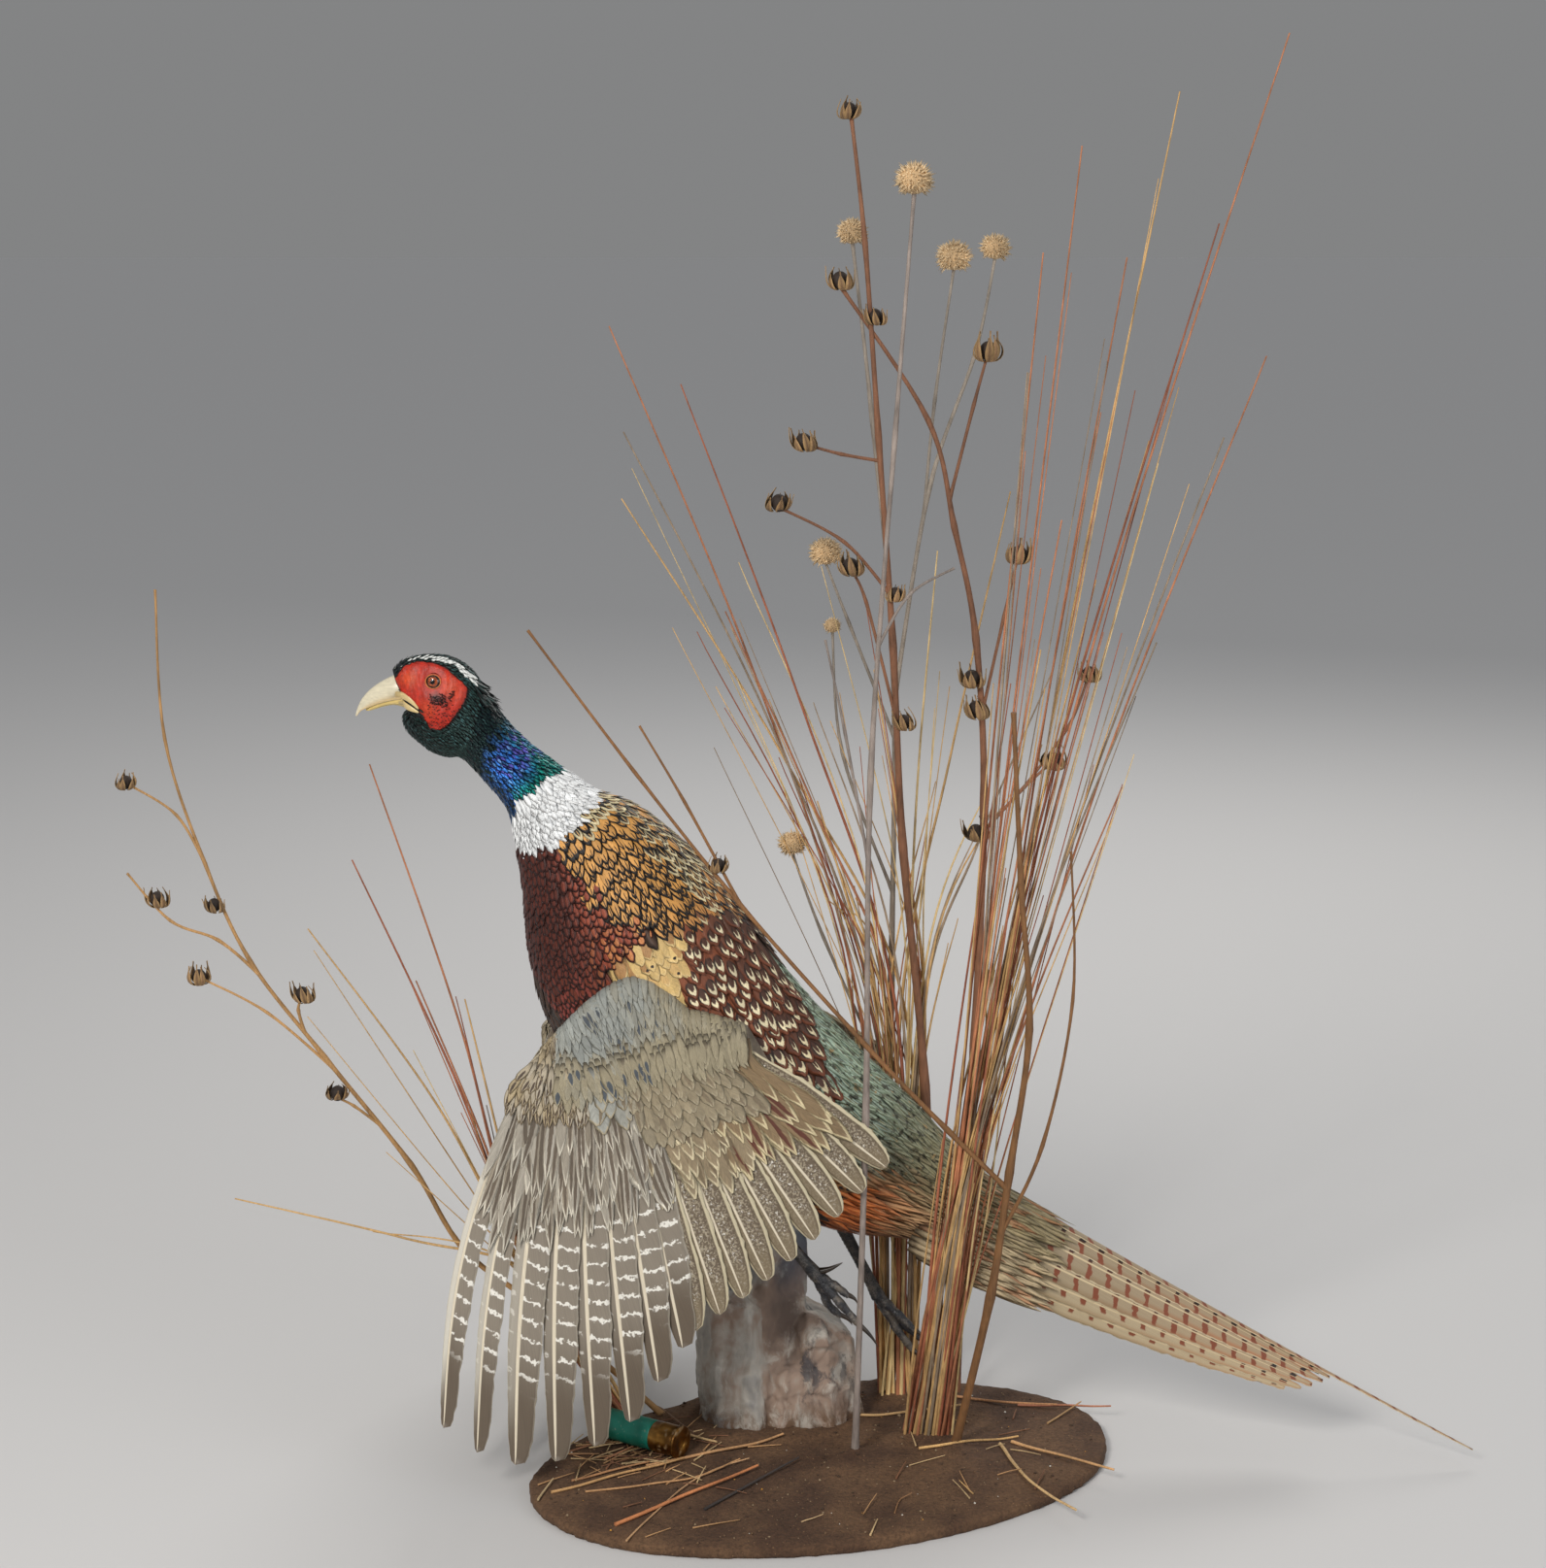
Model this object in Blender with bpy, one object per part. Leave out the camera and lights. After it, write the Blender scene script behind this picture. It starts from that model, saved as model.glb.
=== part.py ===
"""Taxidermy cock pheasant taking off, on its oval base with a rock, a spent shell and dried plants.

Metres, +Z up. The origin is on the base's underside, close to its centre. The bird faces -X, its left
wing is towards -Y, and its middle plane is a gently curved sheet whose Y is given by middle_y(x).
"""
import math
import random

import bmesh
import bpy
from mathutils import Vector

MM = 0.001
WELD = 0.001 * MM

# Driving dimensions in millimetres: the mount
BASE_LENGTH = 398.0
BASE_WIDTH = 248.0
BASE_HEIGHT = 8.0
BASE_TURN = math.radians(18.5)
BASE_CENTRE = (-4.0, 6.0)
SHELL_LENGTH = 70.0
SHELL_BRASS_LENGTH = 21.0
SHELL_RADIUS = 10.2
SHELL_RIM_RADIUS = 11.2

# Driving dimensions in millimetres: the bird
EYE_RADIUS = 6.3
FEATHER_THICKNESS = 1.2
PRIMARY_LENGTHS = (252, 262, 266, 262, 253, 240, 219, 203)
PRIMARY_FAN = (math.radians(-18.6), math.radians(19.0))
SECONDARY_COUNT = 9
ARM_DEPTH = 24.0
WRIST_DEPTH = 11.0
FAR_WING_SWEEP = math.radians(7.0)
TAIL_HALF_WIDTH = 27.0
TAIL_DEPTH = 56.0
TAIL_LENGTHS = (368.0, 264.0, 260.0, 254.0, 248.0, 238.0)
TAIL_ARCH_PER_MM = 1.84
TAIL_LANE = 9.0

# Stations of the body: upper point x, z, lower point x, z, half width
HEAD_STATIONS = (
    (-290.0, 528.0, -277.5, 491.0, 8.5),
    (-281.0, 535.0, -275.5, 482.0, 13.0),
    (-266.0, 538.0, -268.0, 473.0, 16.5),
    (-250.0, 536.5, -258.0, 468.5, 18.0),
    (-236.0, 528.0, -252.0, 467.5, 17.6),
    (-226.0, 512.0, -247.0, 468.0, 16.8),
)
NECK_STATIONS = (
    (-226.0, 512.0, -247.0, 468.0, 16.8),
    (-213.0, 494.0, -240.0, 463.0, 17.0),
    (-199.0, 480.0, -229.0, 450.0, 18.0),
    (-177.0, 463.5, -217.0, 434.0, 21.5),
    (-162.0, 453.5, -212.5, 414.0, 28.0),
    (-152.0, 448.0, -211.0, 401.0, 32.0),
)
TRUNK_STATIONS = (
    (-152.0, 448.0, -211.0, 401.0, 32.0),
    (-131.0, 441.0, -208.0, 378.0, 40.0),
    (-106.0, 424.0, -205.0, 335.0, 51.0),
    (-80.0, 398.0, -193.0, 290.0, 59.0),
    (-52.0, 364.0, -166.0, 248.0, 62.0),
    (-22.0, 320.0, -126.0, 210.0, 62.0),
    (6.0, 289.0, -80.0, 177.0, 58.0),
    (34.0, 260.0, -34.0, 154.0, 51.0),
    (62.0, 232.0, 14.0, 141.0, 42.0),
    (90.0, 202.0, 56.0, 137.0, 33.0),
    (119.0, 178.0, 93.0, 124.0, 24.0),
    (150.0, 158.0, 132.0, 116.0, 15.0),
    (172.0, 143.0, 163.0, 118.0, 6.0),
)
UPPER_BILL_STATIONS = (
    (-289.4, 524.0, -281.5, 500.5, 7.6),
    (-298.0, 518.5, -288.5, 503.5, 6.2),
    (-306.5, 511.0, -299.5, 500.0, 4.2),
    (-312.5, 503.0, -309.0, 496.0, 2.0),
    (-314.5, 497.0, -313.3, 494.0, 0.7),
)
LOWER_BILL_STATIONS = (
    (-281.3, 500.0, -278.9, 492.6, 6.4),
    (-288.4, 502.9, -286.6, 496.0, 5.0),
    (-298.8, 499.5, -298.0, 496.0, 3.0),
    (-303.5, 497.9, -303.2, 495.6, 1.0),
)


def middle_y(x):
    """Y of the bird's middle plane at x: the tail swings towards -Y behind the legs."""
    if x < 60.0:
        return 78.0 - 0.055 * x
    return 74.7 - 0.17 * (x - 60.0)


def material(name, colour, roughness, metallic=0.0):
    made = bpy.data.materials.new(name)
    made.use_nodes = True
    shader = made.node_tree.nodes["Principled BSDF"]
    shader.inputs["Base Color"].default_value = (*colour, 1.0)
    shader.inputs["Roughness"].default_value = roughness
    shader.inputs["Metallic"].default_value = metallic
    made.diffuse_color = (*colour, 1.0)
    return made


def add_object(name, vertices, faces, finish):
    """A named object from vertices in millimetres."""
    mesh = bpy.data.meshes.new(name)
    mesh.from_pydata([Vector(v) * MM for v in vertices], [], faces)
    mesh.materials.append(finish)
    made = bpy.data.objects.new(name, mesh)
    bpy.context.scene.collection.objects.link(made)
    return made


def as_tool(item):
    item.hide_render = True
    item.display_type = "WIRE"
    return item


def outward(item):
    """Turns the faces of a closed mesh outwards."""
    mesh = bmesh.new()
    mesh.from_mesh(item.data)
    bmesh.ops.remove_doubles(mesh, verts=mesh.verts, dist=WELD)
    bmesh.ops.dissolve_degenerate(mesh, edges=mesh.edges, dist=WELD)
    bmesh.ops.recalc_face_normals(mesh, faces=mesh.faces)
    if mesh.calc_volume(signed=True) < 0.0:
        bmesh.ops.reverse_faces(mesh, faces=mesh.faces)
    mesh.to_mesh(item.data)
    mesh.free()
    return item


def combine(target, tools, operation, solver="EXACT"):
    """Joins tools to the target, or cuts them from it, and leaves one plain mesh."""
    for tool in tools:
        as_tool(tool)
        step = target.modifiers.new(operation.title(), "BOOLEAN")
        step.operation = operation
        step.solver = solver
        step.object = tool
    bpy.context.view_layer.update()
    graph = bpy.context.evaluated_depsgraph_get()
    result = bpy.data.meshes.new_from_object(target.evaluated_get(graph))
    target.modifiers.clear()
    target.data = result
    for tool in tools:
        bpy.data.objects.remove(tool)
    return outward(target)


def smooth_points(points, per_span):
    """A Catmull-Rom curve through tuples of numbers."""
    out = []
    last = len(points) - 1
    for i in range(last):
        before = points[max(i - 1, 0)]
        start, end = points[i], points[i + 1]
        after = points[min(i + 2, last)]
        for k in range(per_span):
            t = k / per_span
            out.append(tuple(
                0.5 * (2 * b + (c - a) * t + (2 * a - 5 * b + 4 * c - d) * t * t
                       + (3 * b - a - 3 * c + d) * t ** 3)
                for a, b, c, d in zip(before, start, end, after)))
    out.append(tuple(points[-1]))
    return out


def loft_shape(stations, sides, per_span=2, grow=0.0, trim_start=0.0, trim_end=0.0, square=1.0):
    """Vertices and faces of a closed body whose side outline runs through the stations.

    Each section spans from its upper to its lower point, and bulges to its half width. grow makes it
    larger all round. The trims draw the end sections in along the body, to leave a gap there."""
    rings = [list(s) for s in smooth_points(stations, per_span)]
    for ring, inner, trim in ((rings[0], rings[1], trim_start), (rings[-1], rings[-2], trim_end)):
        step = math.hypot(inner[0] + inner[2] - ring[0] - ring[2],
                          inner[1] + inner[3] - ring[1] - ring[3]) / 2
        share = trim / step
        for k in range(5):
            ring[k] += (inner[k] - ring[k]) * share
    vertices = []
    for upper_x, upper_z, lower_x, lower_z, half_width in rings:
        centre_x, centre_z = (upper_x + lower_x) / 2, (upper_z + lower_z) / 2
        half = math.hypot(upper_x - lower_x, upper_z - lower_z) / 2
        reach = (half + grow) / half
        for k in range(sides):
            angle = 2 * math.pi * k / sides
            up = math.copysign(abs(math.cos(angle)) ** square, math.cos(angle))
            out = math.copysign(abs(math.sin(angle)) ** square, math.sin(angle))
            x = centre_x + (upper_x - centre_x) * reach * up
            z = centre_z + (upper_z - centre_z) * reach * up
            vertices.append((x, middle_y(x) + (half_width + grow) * out, z))
    faces = []
    for row in range(len(rings) - 1):
        for k in range(sides):
            a, b = row * sides + k, row * sides + (k + 1) % sides
            faces.append((a, b, b + sides, a + sides))
    faces.append(tuple(range(sides - 1, -1, -1)))
    faces.append(tuple(range((len(rings) - 1) * sides, len(rings) * sides)))
    return vertices, faces


def loft(name, stations, sides, finish, **options):
    return outward(add_object(name, *loft_shape(stations, sides, **options), finish))


def trunk_cutter(grow=0.3):
    return loft("trunk_cutter", TRUNK_STATIONS, 20, PLUMAGE, per_span=1, grow=grow)


def tube_shape(points, radii, sides, flatten=1.0):
    """Vertices and faces of a closed tube through points, with the radius running between two values."""
    path = [Vector(p) for p in points]
    vertices, faces = [], []
    side_way = None
    for i, point in enumerate(path):
        along = (path[min(i + 1, len(path) - 1)] - path[max(i - 1, 0)]).normalized()
        if side_way is None:
            side_way = along.orthogonal().normalized()
        side_way = (side_way - along * side_way.dot(along)).normalized()
        up_way = along.cross(side_way)
        share = i / (len(path) - 1)
        radius = radii[0] + (radii[1] - radii[0]) * share
        for k in range(sides):
            angle = 2 * math.pi * (k + 0.5) / sides
            vertices.append(point + side_way * math.cos(angle) * radius
                            + up_way * math.sin(angle) * radius * flatten)
    for row in range(len(path) - 1):
        for k in range(sides):
            a, b = row * sides + k, row * sides + (k + 1) % sides
            faces.append((a, b, b + sides, a + sides))
    faces.append(tuple(range(sides - 1, -1, -1)))
    faces.append(tuple(range((len(path) - 1) * sides, len(path) * sides)))
    return vertices, faces


def tube(name, points, radii, sides, finish, flatten=1.0, per_span=1):
    return outward(add_object(name, *tube_shape(smooth_points(points, per_span), radii, sides,
                                                flatten), finish))


def ball(name, centre, radii, finish, detail=1, turn=0.0):
    mesh = bmesh.new()
    bmesh.ops.create_icosphere(mesh, subdivisions=detail, radius=1.0)
    spin = (math.cos(turn), math.sin(turn))
    vertices = []
    for v in mesh.verts:
        x, y, z = v.co.x * radii[0], v.co.y * radii[1], v.co.z * radii[2]
        vertices.append((centre[0] + x * spin[0] - z * spin[1], centre[1] + y,
                         centre[2] + x * spin[1] + z * spin[0]))
    faces = [tuple(v.index for v in f.verts) for f in mesh.faces]
    mesh.free()
    return outward(add_object(name, vertices, faces, finish))


def plate(name, near, thick, faces, finish, way=(0.0, 1.0, 0.0)):
    """A closed plate: near side vertices, a thickness at each one, and the faces of the near side."""
    count = len(near)
    way = Vector(way)
    vertices = [Vector(v) for v in near]
    vertices += [Vector(v) + (t if isinstance(t, Vector) else way * t) for v, t in zip(near, thick)]
    all_faces = [tuple(f) for f in faces]
    all_faces += [tuple(i + count for i in reversed(f)) for f in faces]
    used = {}
    for face in faces:
        for a, b in zip(face, face[1:] + face[:1]):
            used[(a, b)] = True
    for a, b in used:
        if (b, a) not in used:
            all_faces.append((b, a, a + count, b + count))
    return outward(add_object(name, vertices, all_faces, finish))


# ---- the bird's body ----

def make_head():
    head = loft("head", HEAD_STATIONS, 16, RED_SKIN, trim_end=0.15, square=0.92)
    sockets = [eye_ball("socket", side, EYE_RADIUS + 0.3) for side in (-1, 1)]
    return combine(head, sockets, "DIFFERENCE")


def eye_ball(name, side, radius):
    mesh = bmesh.new()
    bmesh.ops.create_uvsphere(mesh, u_segments=12, v_segments=6, radius=radius)
    centre_x, centre_z = -260.5, 521.0
    centre_y = middle_y(centre_x) + side * 10.2
    vertices = [(centre_x + v.co.x, centre_y + v.co.z, centre_z + v.co.y) for v in mesh.verts]
    faces = [tuple(v.index for v in f.verts) for f in mesh.faces]
    mesh.free()
    return outward(add_object(name, vertices, faces, GLASS_EYE))


def make_ear_tuft(name, side):
    y = middle_y(-225.0)
    points = ((-238.0, y + side * 8.0, 514.0), (-228.0, y + side * 11.0, 514.5),
              (-219.5, y + side * 13.5, 516.5))
    tuft = tube(name, points, (5.0, 0.8), 6, GREEN_BLACK, flatten=0.7)
    whole = HEAD_STATIONS[:-1] + NECK_STATIONS
    return combine(tuft, [loft("head_cutter", whole, 16, RED_SKIN, grow=0.3, square=0.92)],
                   "DIFFERENCE")


def make_body():
    loft("neck", NECK_STATIONS, 16, BLUE_GREEN, per_span=1, trim_start=0.15, trim_end=0.15, square=0.95)
    loft("trunk", TRUNK_STATIONS, 20, PLUMAGE, per_span=1, trim_start=0.15)
    loft("bill_upper", UPPER_BILL_STATIONS, 10, BILL_HORN)
    loft("bill_lower", LOWER_BILL_STATIONS, 10, BILL_HORN)
    for side, end in ((-1, "left"), (1, "right")):
        eye_ball("eye_" + end, side, EYE_RADIUS)
        make_ear_tuft("ear_tuft_" + end, side)


# ---- flight feathers ----

def blade_columns(roots, tips, half_widths, split, rows, upper, place, crown, bow=None):
    """Near side vertices and faces of a row of overlapping feathers that part into fingers at split.

    roots and tips are (across, along) pairs of numbers, upper is the covert line above each root, and
    place turns such a pair into a point. Each feather's shaft stands crown above its edges."""
    vertices, faces, shares = [], [], []
    count = len(roots)
    order = Vector(roots[-1]) - Vector(roots[0])
    middle_way = Vector(tips[count // 2]) - Vector(roots[count // 2])
    hand = 1.0 if Vector((middle_way.y, -middle_way.x)).dot(order) > 0.0 else -1.0
    bow = bow or [0.0] * count

    def across_way(i):
        along = Vector(tips[i]) - Vector(roots[i])
        return Vector((along.y, -along.x)).normalized() * hand

    def centre(i, v):
        return tuple(Vector(roots[i]).lerp(Vector(tips[i]),
                                           v) - across_way(i) * bow[i] * math.sin(math.pi * v))

    def add(pair, share, lift):
        vertices.append(place(pair, share, lift))
        shares.append(share)
        return len(vertices) - 1

    def edge_pair(i, v, side):
        return tuple(Vector(centre(i, v)) + across_way(i) * half_widths[i] * side)

    steps = [k / rows for k in range(rows + 1)]
    bounds = []
    for j in range(count + 1):
        if j == 0:
            pairs = [edge_pair(0, s * split[0], -1) for s in steps]
            top = upper[0]
        elif j == count:
            pairs = [edge_pair(count - 1, s * split[-1], 1) for s in steps]
            top = upper[-1]
        else:
            cut = min(split[j - 1], split[j])
            pairs = [tuple((Vector(centre(j - 1, s * cut)) + Vector(centre(j,
                                                                           s * cut))) / 2) for s in steps]
            top = tuple((Vector(upper[j - 1]) + Vector(upper[j])) / 2)
        bounds.append([add(top, -0.5, 0.0)] + [add(p, s, 0.0) for p, s in zip(pairs, steps)])
    for i in range(count):
        left_cut = split[0] if i == 0 else min(split[i - 1], split[i])
        right_cut = split[-1] if i == count - 1 else min(split[i], split[i + 1])
        middle_cut = (left_cut + right_cut) / 2
        shaft = [add(upper[i], -0.5, 0.0)] + [add(centre(i, s * middle_cut), s, crown) for s in steps]
        left, right = bounds[i], bounds[i + 1]
        for k in range(len(shaft) - 1):
            faces.append((left[k], shaft[k], shaft[k + 1], left[k + 1]))
            faces.append((shaft[k], right[k], right[k + 1], shaft[k + 1]))
        old_left, old_shaft, old_right = left[-1], shaft[-1], right[-1]
        for share, narrow in ((0.6, 0.93), (0.92, 0.5)) if split[i] < 0.85 else ((0.75, 0.8),):
            v = middle_cut + (1 - middle_cut) * share
            middle = Vector(centre(i, v))
            out = (Vector(edge_pair(i, v, 1)) - middle) * narrow
            new_left = add(tuple(middle - out), 1.0 + share, 0.0)
            new_shaft = add(tuple(middle), 1.0 + share, crown)
            new_right = add(tuple(middle + out), 1.0 + share, 0.0)
            faces.append((old_left, old_shaft, new_shaft, new_left))
            faces.append((old_shaft, old_right, new_right, new_shaft))
            old_left, old_shaft, old_right = new_left, new_shaft, new_right
        point = add(tips[i], 2.0, 0.0)
        faces.append((old_left, old_shaft, point))
        faces.append((old_shaft, old_right, point))
    return vertices, faces, shares


def wing_y(x, z):
    """Y of the left wing's outer face: it leans away from the body towards its tips."""
    fall = (330.0 - z) / 290.0
    rear = min(max((x + 150.0) / 190.0, 0.0), 1.0)
    rear = rear * rear * (3 - 2 * rear)
    return 13.0 - 54.0 * fall * (1 - 0.45 * rear)


def wing_lines():
    """Roots, tips, upper line, half widths, splits and bows of the wing's feathers, from x, z pairs."""
    roots, tips, upper, widths, split, bow = [], [], [], [], [], []
    count = len(PRIMARY_LENGTHS)
    for i, length in enumerate(PRIMARY_LENGTHS):
        share = i / (count - 1)
        angle = PRIMARY_FAN[0] + (PRIMARY_FAN[1] - PRIMARY_FAN[0]) * share
        wrist = (-172.0 + 9.0 * share, 288.0 + 3.0 * share)
        tip = (wrist[0] + length * math.sin(angle), wrist[1] - length * math.cos(angle))
        spread = (math.sin(angle * 2.2), math.cos(angle * 2.2))
        roots.append((wrist[0] + 45.0 * spread[0], wrist[1] - 30.0 * spread[1]))
        tips.append(tip)
        upper.append((-186.0 + 24.0 * share, 294.0 + 24.0 * share))
        widths.append(10.2)
        split.append(0.66 + 0.10 * share)
        bow.append(13.0 * (1.0 - share) ** 2)
    for i in range(SECONDARY_COUNT):
        share = i / (SECONDARY_COUNT - 1)
        tips.append((-88.0 + 124.0 * share, 110.0 + 103.0 * share - 9.0 * math.sin(math.pi * share)))
        roots.append((-132.0 + 76.0 * share, 268.0 + 16.0 * share))
        rise = math.sin(math.pi * min(share * 1.6, 1.0))
        upper.append((-152.0 + 94.0 * share, 326.0 + 14.0 * rise - 20.0 * share ** 1.5))
        widths.append(10.2)
        split.append(0.86)
        bow.append(0.0)
    return roots, tips, upper, widths, split, bow


def make_wing(name, side):
    """The left wing hangs close to the view plane; the right one is its mirror, swept a little back."""
    roots, tips, upper, widths, split, bow = wing_lines()
    thickness = []

    def place(pair, share, lift):
        x, z = pair
        inner = min(max((x + 190.0) / 70.0, 0.0), 1.0)
        whole = WRIST_DEPTH + (ARM_DEPTH - WRIST_DEPTH) * inner
        arm = max(0.0, 1.0 - max(share, 0.0) * 1.6) if share <= 1.0 else 0.0
        depth = FEATHER_THICKNESS + whole * arm ** 1.5
        y = wing_y(x, z) - lift - min(depth, 6.0) * 0.4
        if share < 0.0:
            depth = whole * 0.8
        thickness.append(depth)
        return x, y, z

    near, faces, _ = blade_columns(roots, tips, widths, split, 2, upper, place, 0.8, bow)
    wing = plate(name, near, thickness, faces, WING_GREY)
    if side > 0:
        sweep_back(wing)
    return combine(wing, [trunk_cutter()], "DIFFERENCE")


def sweep_back(wing):
    """Mirrors the wing about the bird's middle plane and turns it back about the shoulder."""
    turn = FAR_WING_SWEEP
    shoulder = (-95.0, 325.0)
    for v in wing.data.vertices:
        x, y, z = v.co / MM
        dx, dz = x - shoulder[0], z - shoulder[1]
        new_x = shoulder[0] + dx * math.cos(turn) - dz * math.sin(turn)
        new_z = shoulder[1] + dx * math.sin(turn) + dz * math.cos(turn)
        v.co = Vector((new_x, 2 * middle_y(x) - y, new_z)) * MM
    outward(wing)


def tail_line(run):
    """The ridge of the tail in x, z, run millimetres behind its root: nearly straight, drooping a little."""
    x = 96.0 + 0.905 * run
    return x, 189.0 - 0.478 * run - 0.00006 * run * (368.0 - run)


def tail_point(across, run, layer):
    """A point of the folded tail: across millimetres round its arch from the ridge, layer below its top."""
    slim = 1.0 - 0.55 * run / TAIL_LENGTHS[0]
    angle = math.radians(across * TAIL_ARCH_PER_MM)
    x, z = tail_line(run)
    wide = (TAIL_HALF_WIDTH - layer) * slim
    drop = TAIL_DEPTH * slim * (1 - math.cos(angle)) + layer * math.cos(angle)
    return Vector((x - drop * 0.35, middle_y(x) + wide * math.sin(angle), z - drop * 0.93))


def make_tail():
    """A folded tail: an arch of feathers, longest at the ridge, shorter towards the lower edges."""
    half = len(TAIL_LENGTHS) - 1
    roots, tips, widths = [], [], []
    for place in range(-half, half + 1):
        lane = TAIL_LANE * place + math.copysign(3.0, place) * min(abs(place), 1)
        roots.append((lane, 0.0))
        tips.append((lane * 0.8, TAIL_LENGTHS[abs(place)]))
        widths.append(3.4 if place else 5.6)
    thick = []

    def place_point(pair, share, lift):
        across, run = pair
        point = tail_point(across, run, -lift)
        depth = FEATHER_THICKNESS + 3.0 * max(0.0, 1.0 - run / 120.0)
        thick.append(tail_point(across, run, depth) - point)
        return point

    upper = [(root[0], -14.0) for root in roots]
    near, faces, _ = blade_columns(roots, tips, widths, [0.8] * len(roots), 3, upper, place_point, 0.6)
    return combine(plate("tail", near, thick, faces, TAIL_BUFF), [trunk_cutter(0.4)], "DIFFERENCE",
                   "MANIFOLD")


# ---- legs ----

LEGS = {
    "left": {
        "thigh": ((-84.0, 42.0, 226.0), (-66.0, 35.0, 202.0), (-52.0, 31.0, 181.0)),
        "hock": (-51.0, 30.5, 179.5),
        "foot": (-9.0, 33.0, 127.0),
        "toes": (
            ((8.0, 27.0, 108.0), (32.0, 25.0, 79.0)),
            ((0.0, 36.0, 104.0), (15.0, 37.0, 90.0)),
            ((6.0, 29.0, 119.0), (18.0, 28.0, 109.0)),
            ((-4.0, 40.0, 122.0), (1.0, 42.0, 112.0)),
        ),
        "spur": ((-14.0, 33.0, 134.0), (8.0, 29.0, 137.0)),
    },
    "right": {
        "thigh": ((-40.0, 106.0, 186.0), (-14.0, 104.0, 160.0), (7.0, 101.0, 141.0)),
        "hock": (8.0, 100.5, 139.5),
        "foot": (35.0, 98.0, 86.0),
        "toes": (
            ((50.0, 96.0, 60.0), (69.0, 95.0, 34.0)),
            ((56.0, 100.0, 62.0), (85.0, 101.0, 39.0)),
            ((52.0, 92.0, 72.0), (66.0, 88.0, 58.0)),
            ((38.0, 104.0, 76.0), (44.0, 108.0, 66.0)),
        ),
        "spur": ((31.0, 98.0, 93.0), (46.0, 95.0, 74.0)),
    },
}


def thigh_tube(name, places, grow=0.0):
    radii = (25.0 + grow, 8.0 + grow)
    return tube(name, places["thigh"], radii, 10, PLUMAGE, flatten=0.8, per_span=2)


def make_leg(end, places):
    combine(thigh_tube("thigh_" + end, places), [trunk_cutter()], "DIFFERENCE")
    ankle = Vector(places["foot"])
    along = (ankle - Vector(places["hock"])).normalized()
    thigh_way = (Vector(places["thigh"][-1]) - Vector(places["thigh"][-2])).normalized()
    start = Vector(places["thigh"][-1]) + along * (0.5 + 8.0 * thigh_way.cross(along).length)
    tube("tarsus_" + end, (start, start.lerp(ankle, 0.5), ankle - along * 5.6), (4.6, 3.8), 8, LEG_GREY)
    foot = ball("foot_" + end, ankle, (5.0, 5.0, 5.0), LEG_GREY)
    parts = []
    for k, (bend, tip) in enumerate(places["toes"]):
        parts.append(tube("toe", (tuple(ankle), bend, tip), (3.1, 1.3), 5, LEG_GREY, per_span=2))
    root, tip = places["spur"]
    knob = ankle.lerp(Vector(root), 0.3)
    parts.append(tube("spur", (tuple(knob), tip), (2.4, 0.6), 5, LEG_GREY))
    return combine(foot, parts, "UNION")


# ---- the mount ----

def oval_point(radius, angle):
    x, y = radius * BASE_LENGTH / 2 * math.cos(angle), radius * BASE_WIDTH / 2 * math.sin(angle)
    return (BASE_CENTRE[0] + x * math.cos(BASE_TURN) - y * math.sin(BASE_TURN),
            BASE_CENTRE[1] + x * math.sin(BASE_TURN) + y * math.cos(BASE_TURN))


def make_base():
    sides = 36
    profile = ((0.990, 0.0), (1.0, 1.2), (1.0, BASE_HEIGHT - 1.6), (0.990, BASE_HEIGHT))
    vertices, faces = [], []
    for radius, z in profile:
        for k in range(sides):
            vertices.append((*oval_point(radius, 2 * math.pi * k / sides), z))
    for row in range(len(profile) - 1):
        for k in range(sides):
            a, b = row * sides + k, row * sides + (k + 1) % sides
            faces.append((a, b, b + sides, a + sides))
    faces.append(tuple(range(sides - 1, -1, -1)))
    faces.append(tuple(range((len(profile) - 1) * sides, len(profile) * sides)))
    return outward(add_object("base", vertices, faces, SOIL))


ROCK_BLOCKS = (
    # left x, right x, front y, back y, top z at left, top z at right, lean of the top in x and in y
    (-92.0, -28.0, 47.0, 104.0, 100.0, 112.0, -5.0, 4.0),
    (-66.0, -14.0, 60.0, 116.0, 160.0, 148.0, 3.0, 2.0),
    (-32.0, 22.0, 50.0, 110.0, 94.0, 70.0, -4.0, 6.0),
    (-50.0, 2.0, 45.0, 84.0, 46.0, 58.0, 0.0, 6.0),
)


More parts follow.
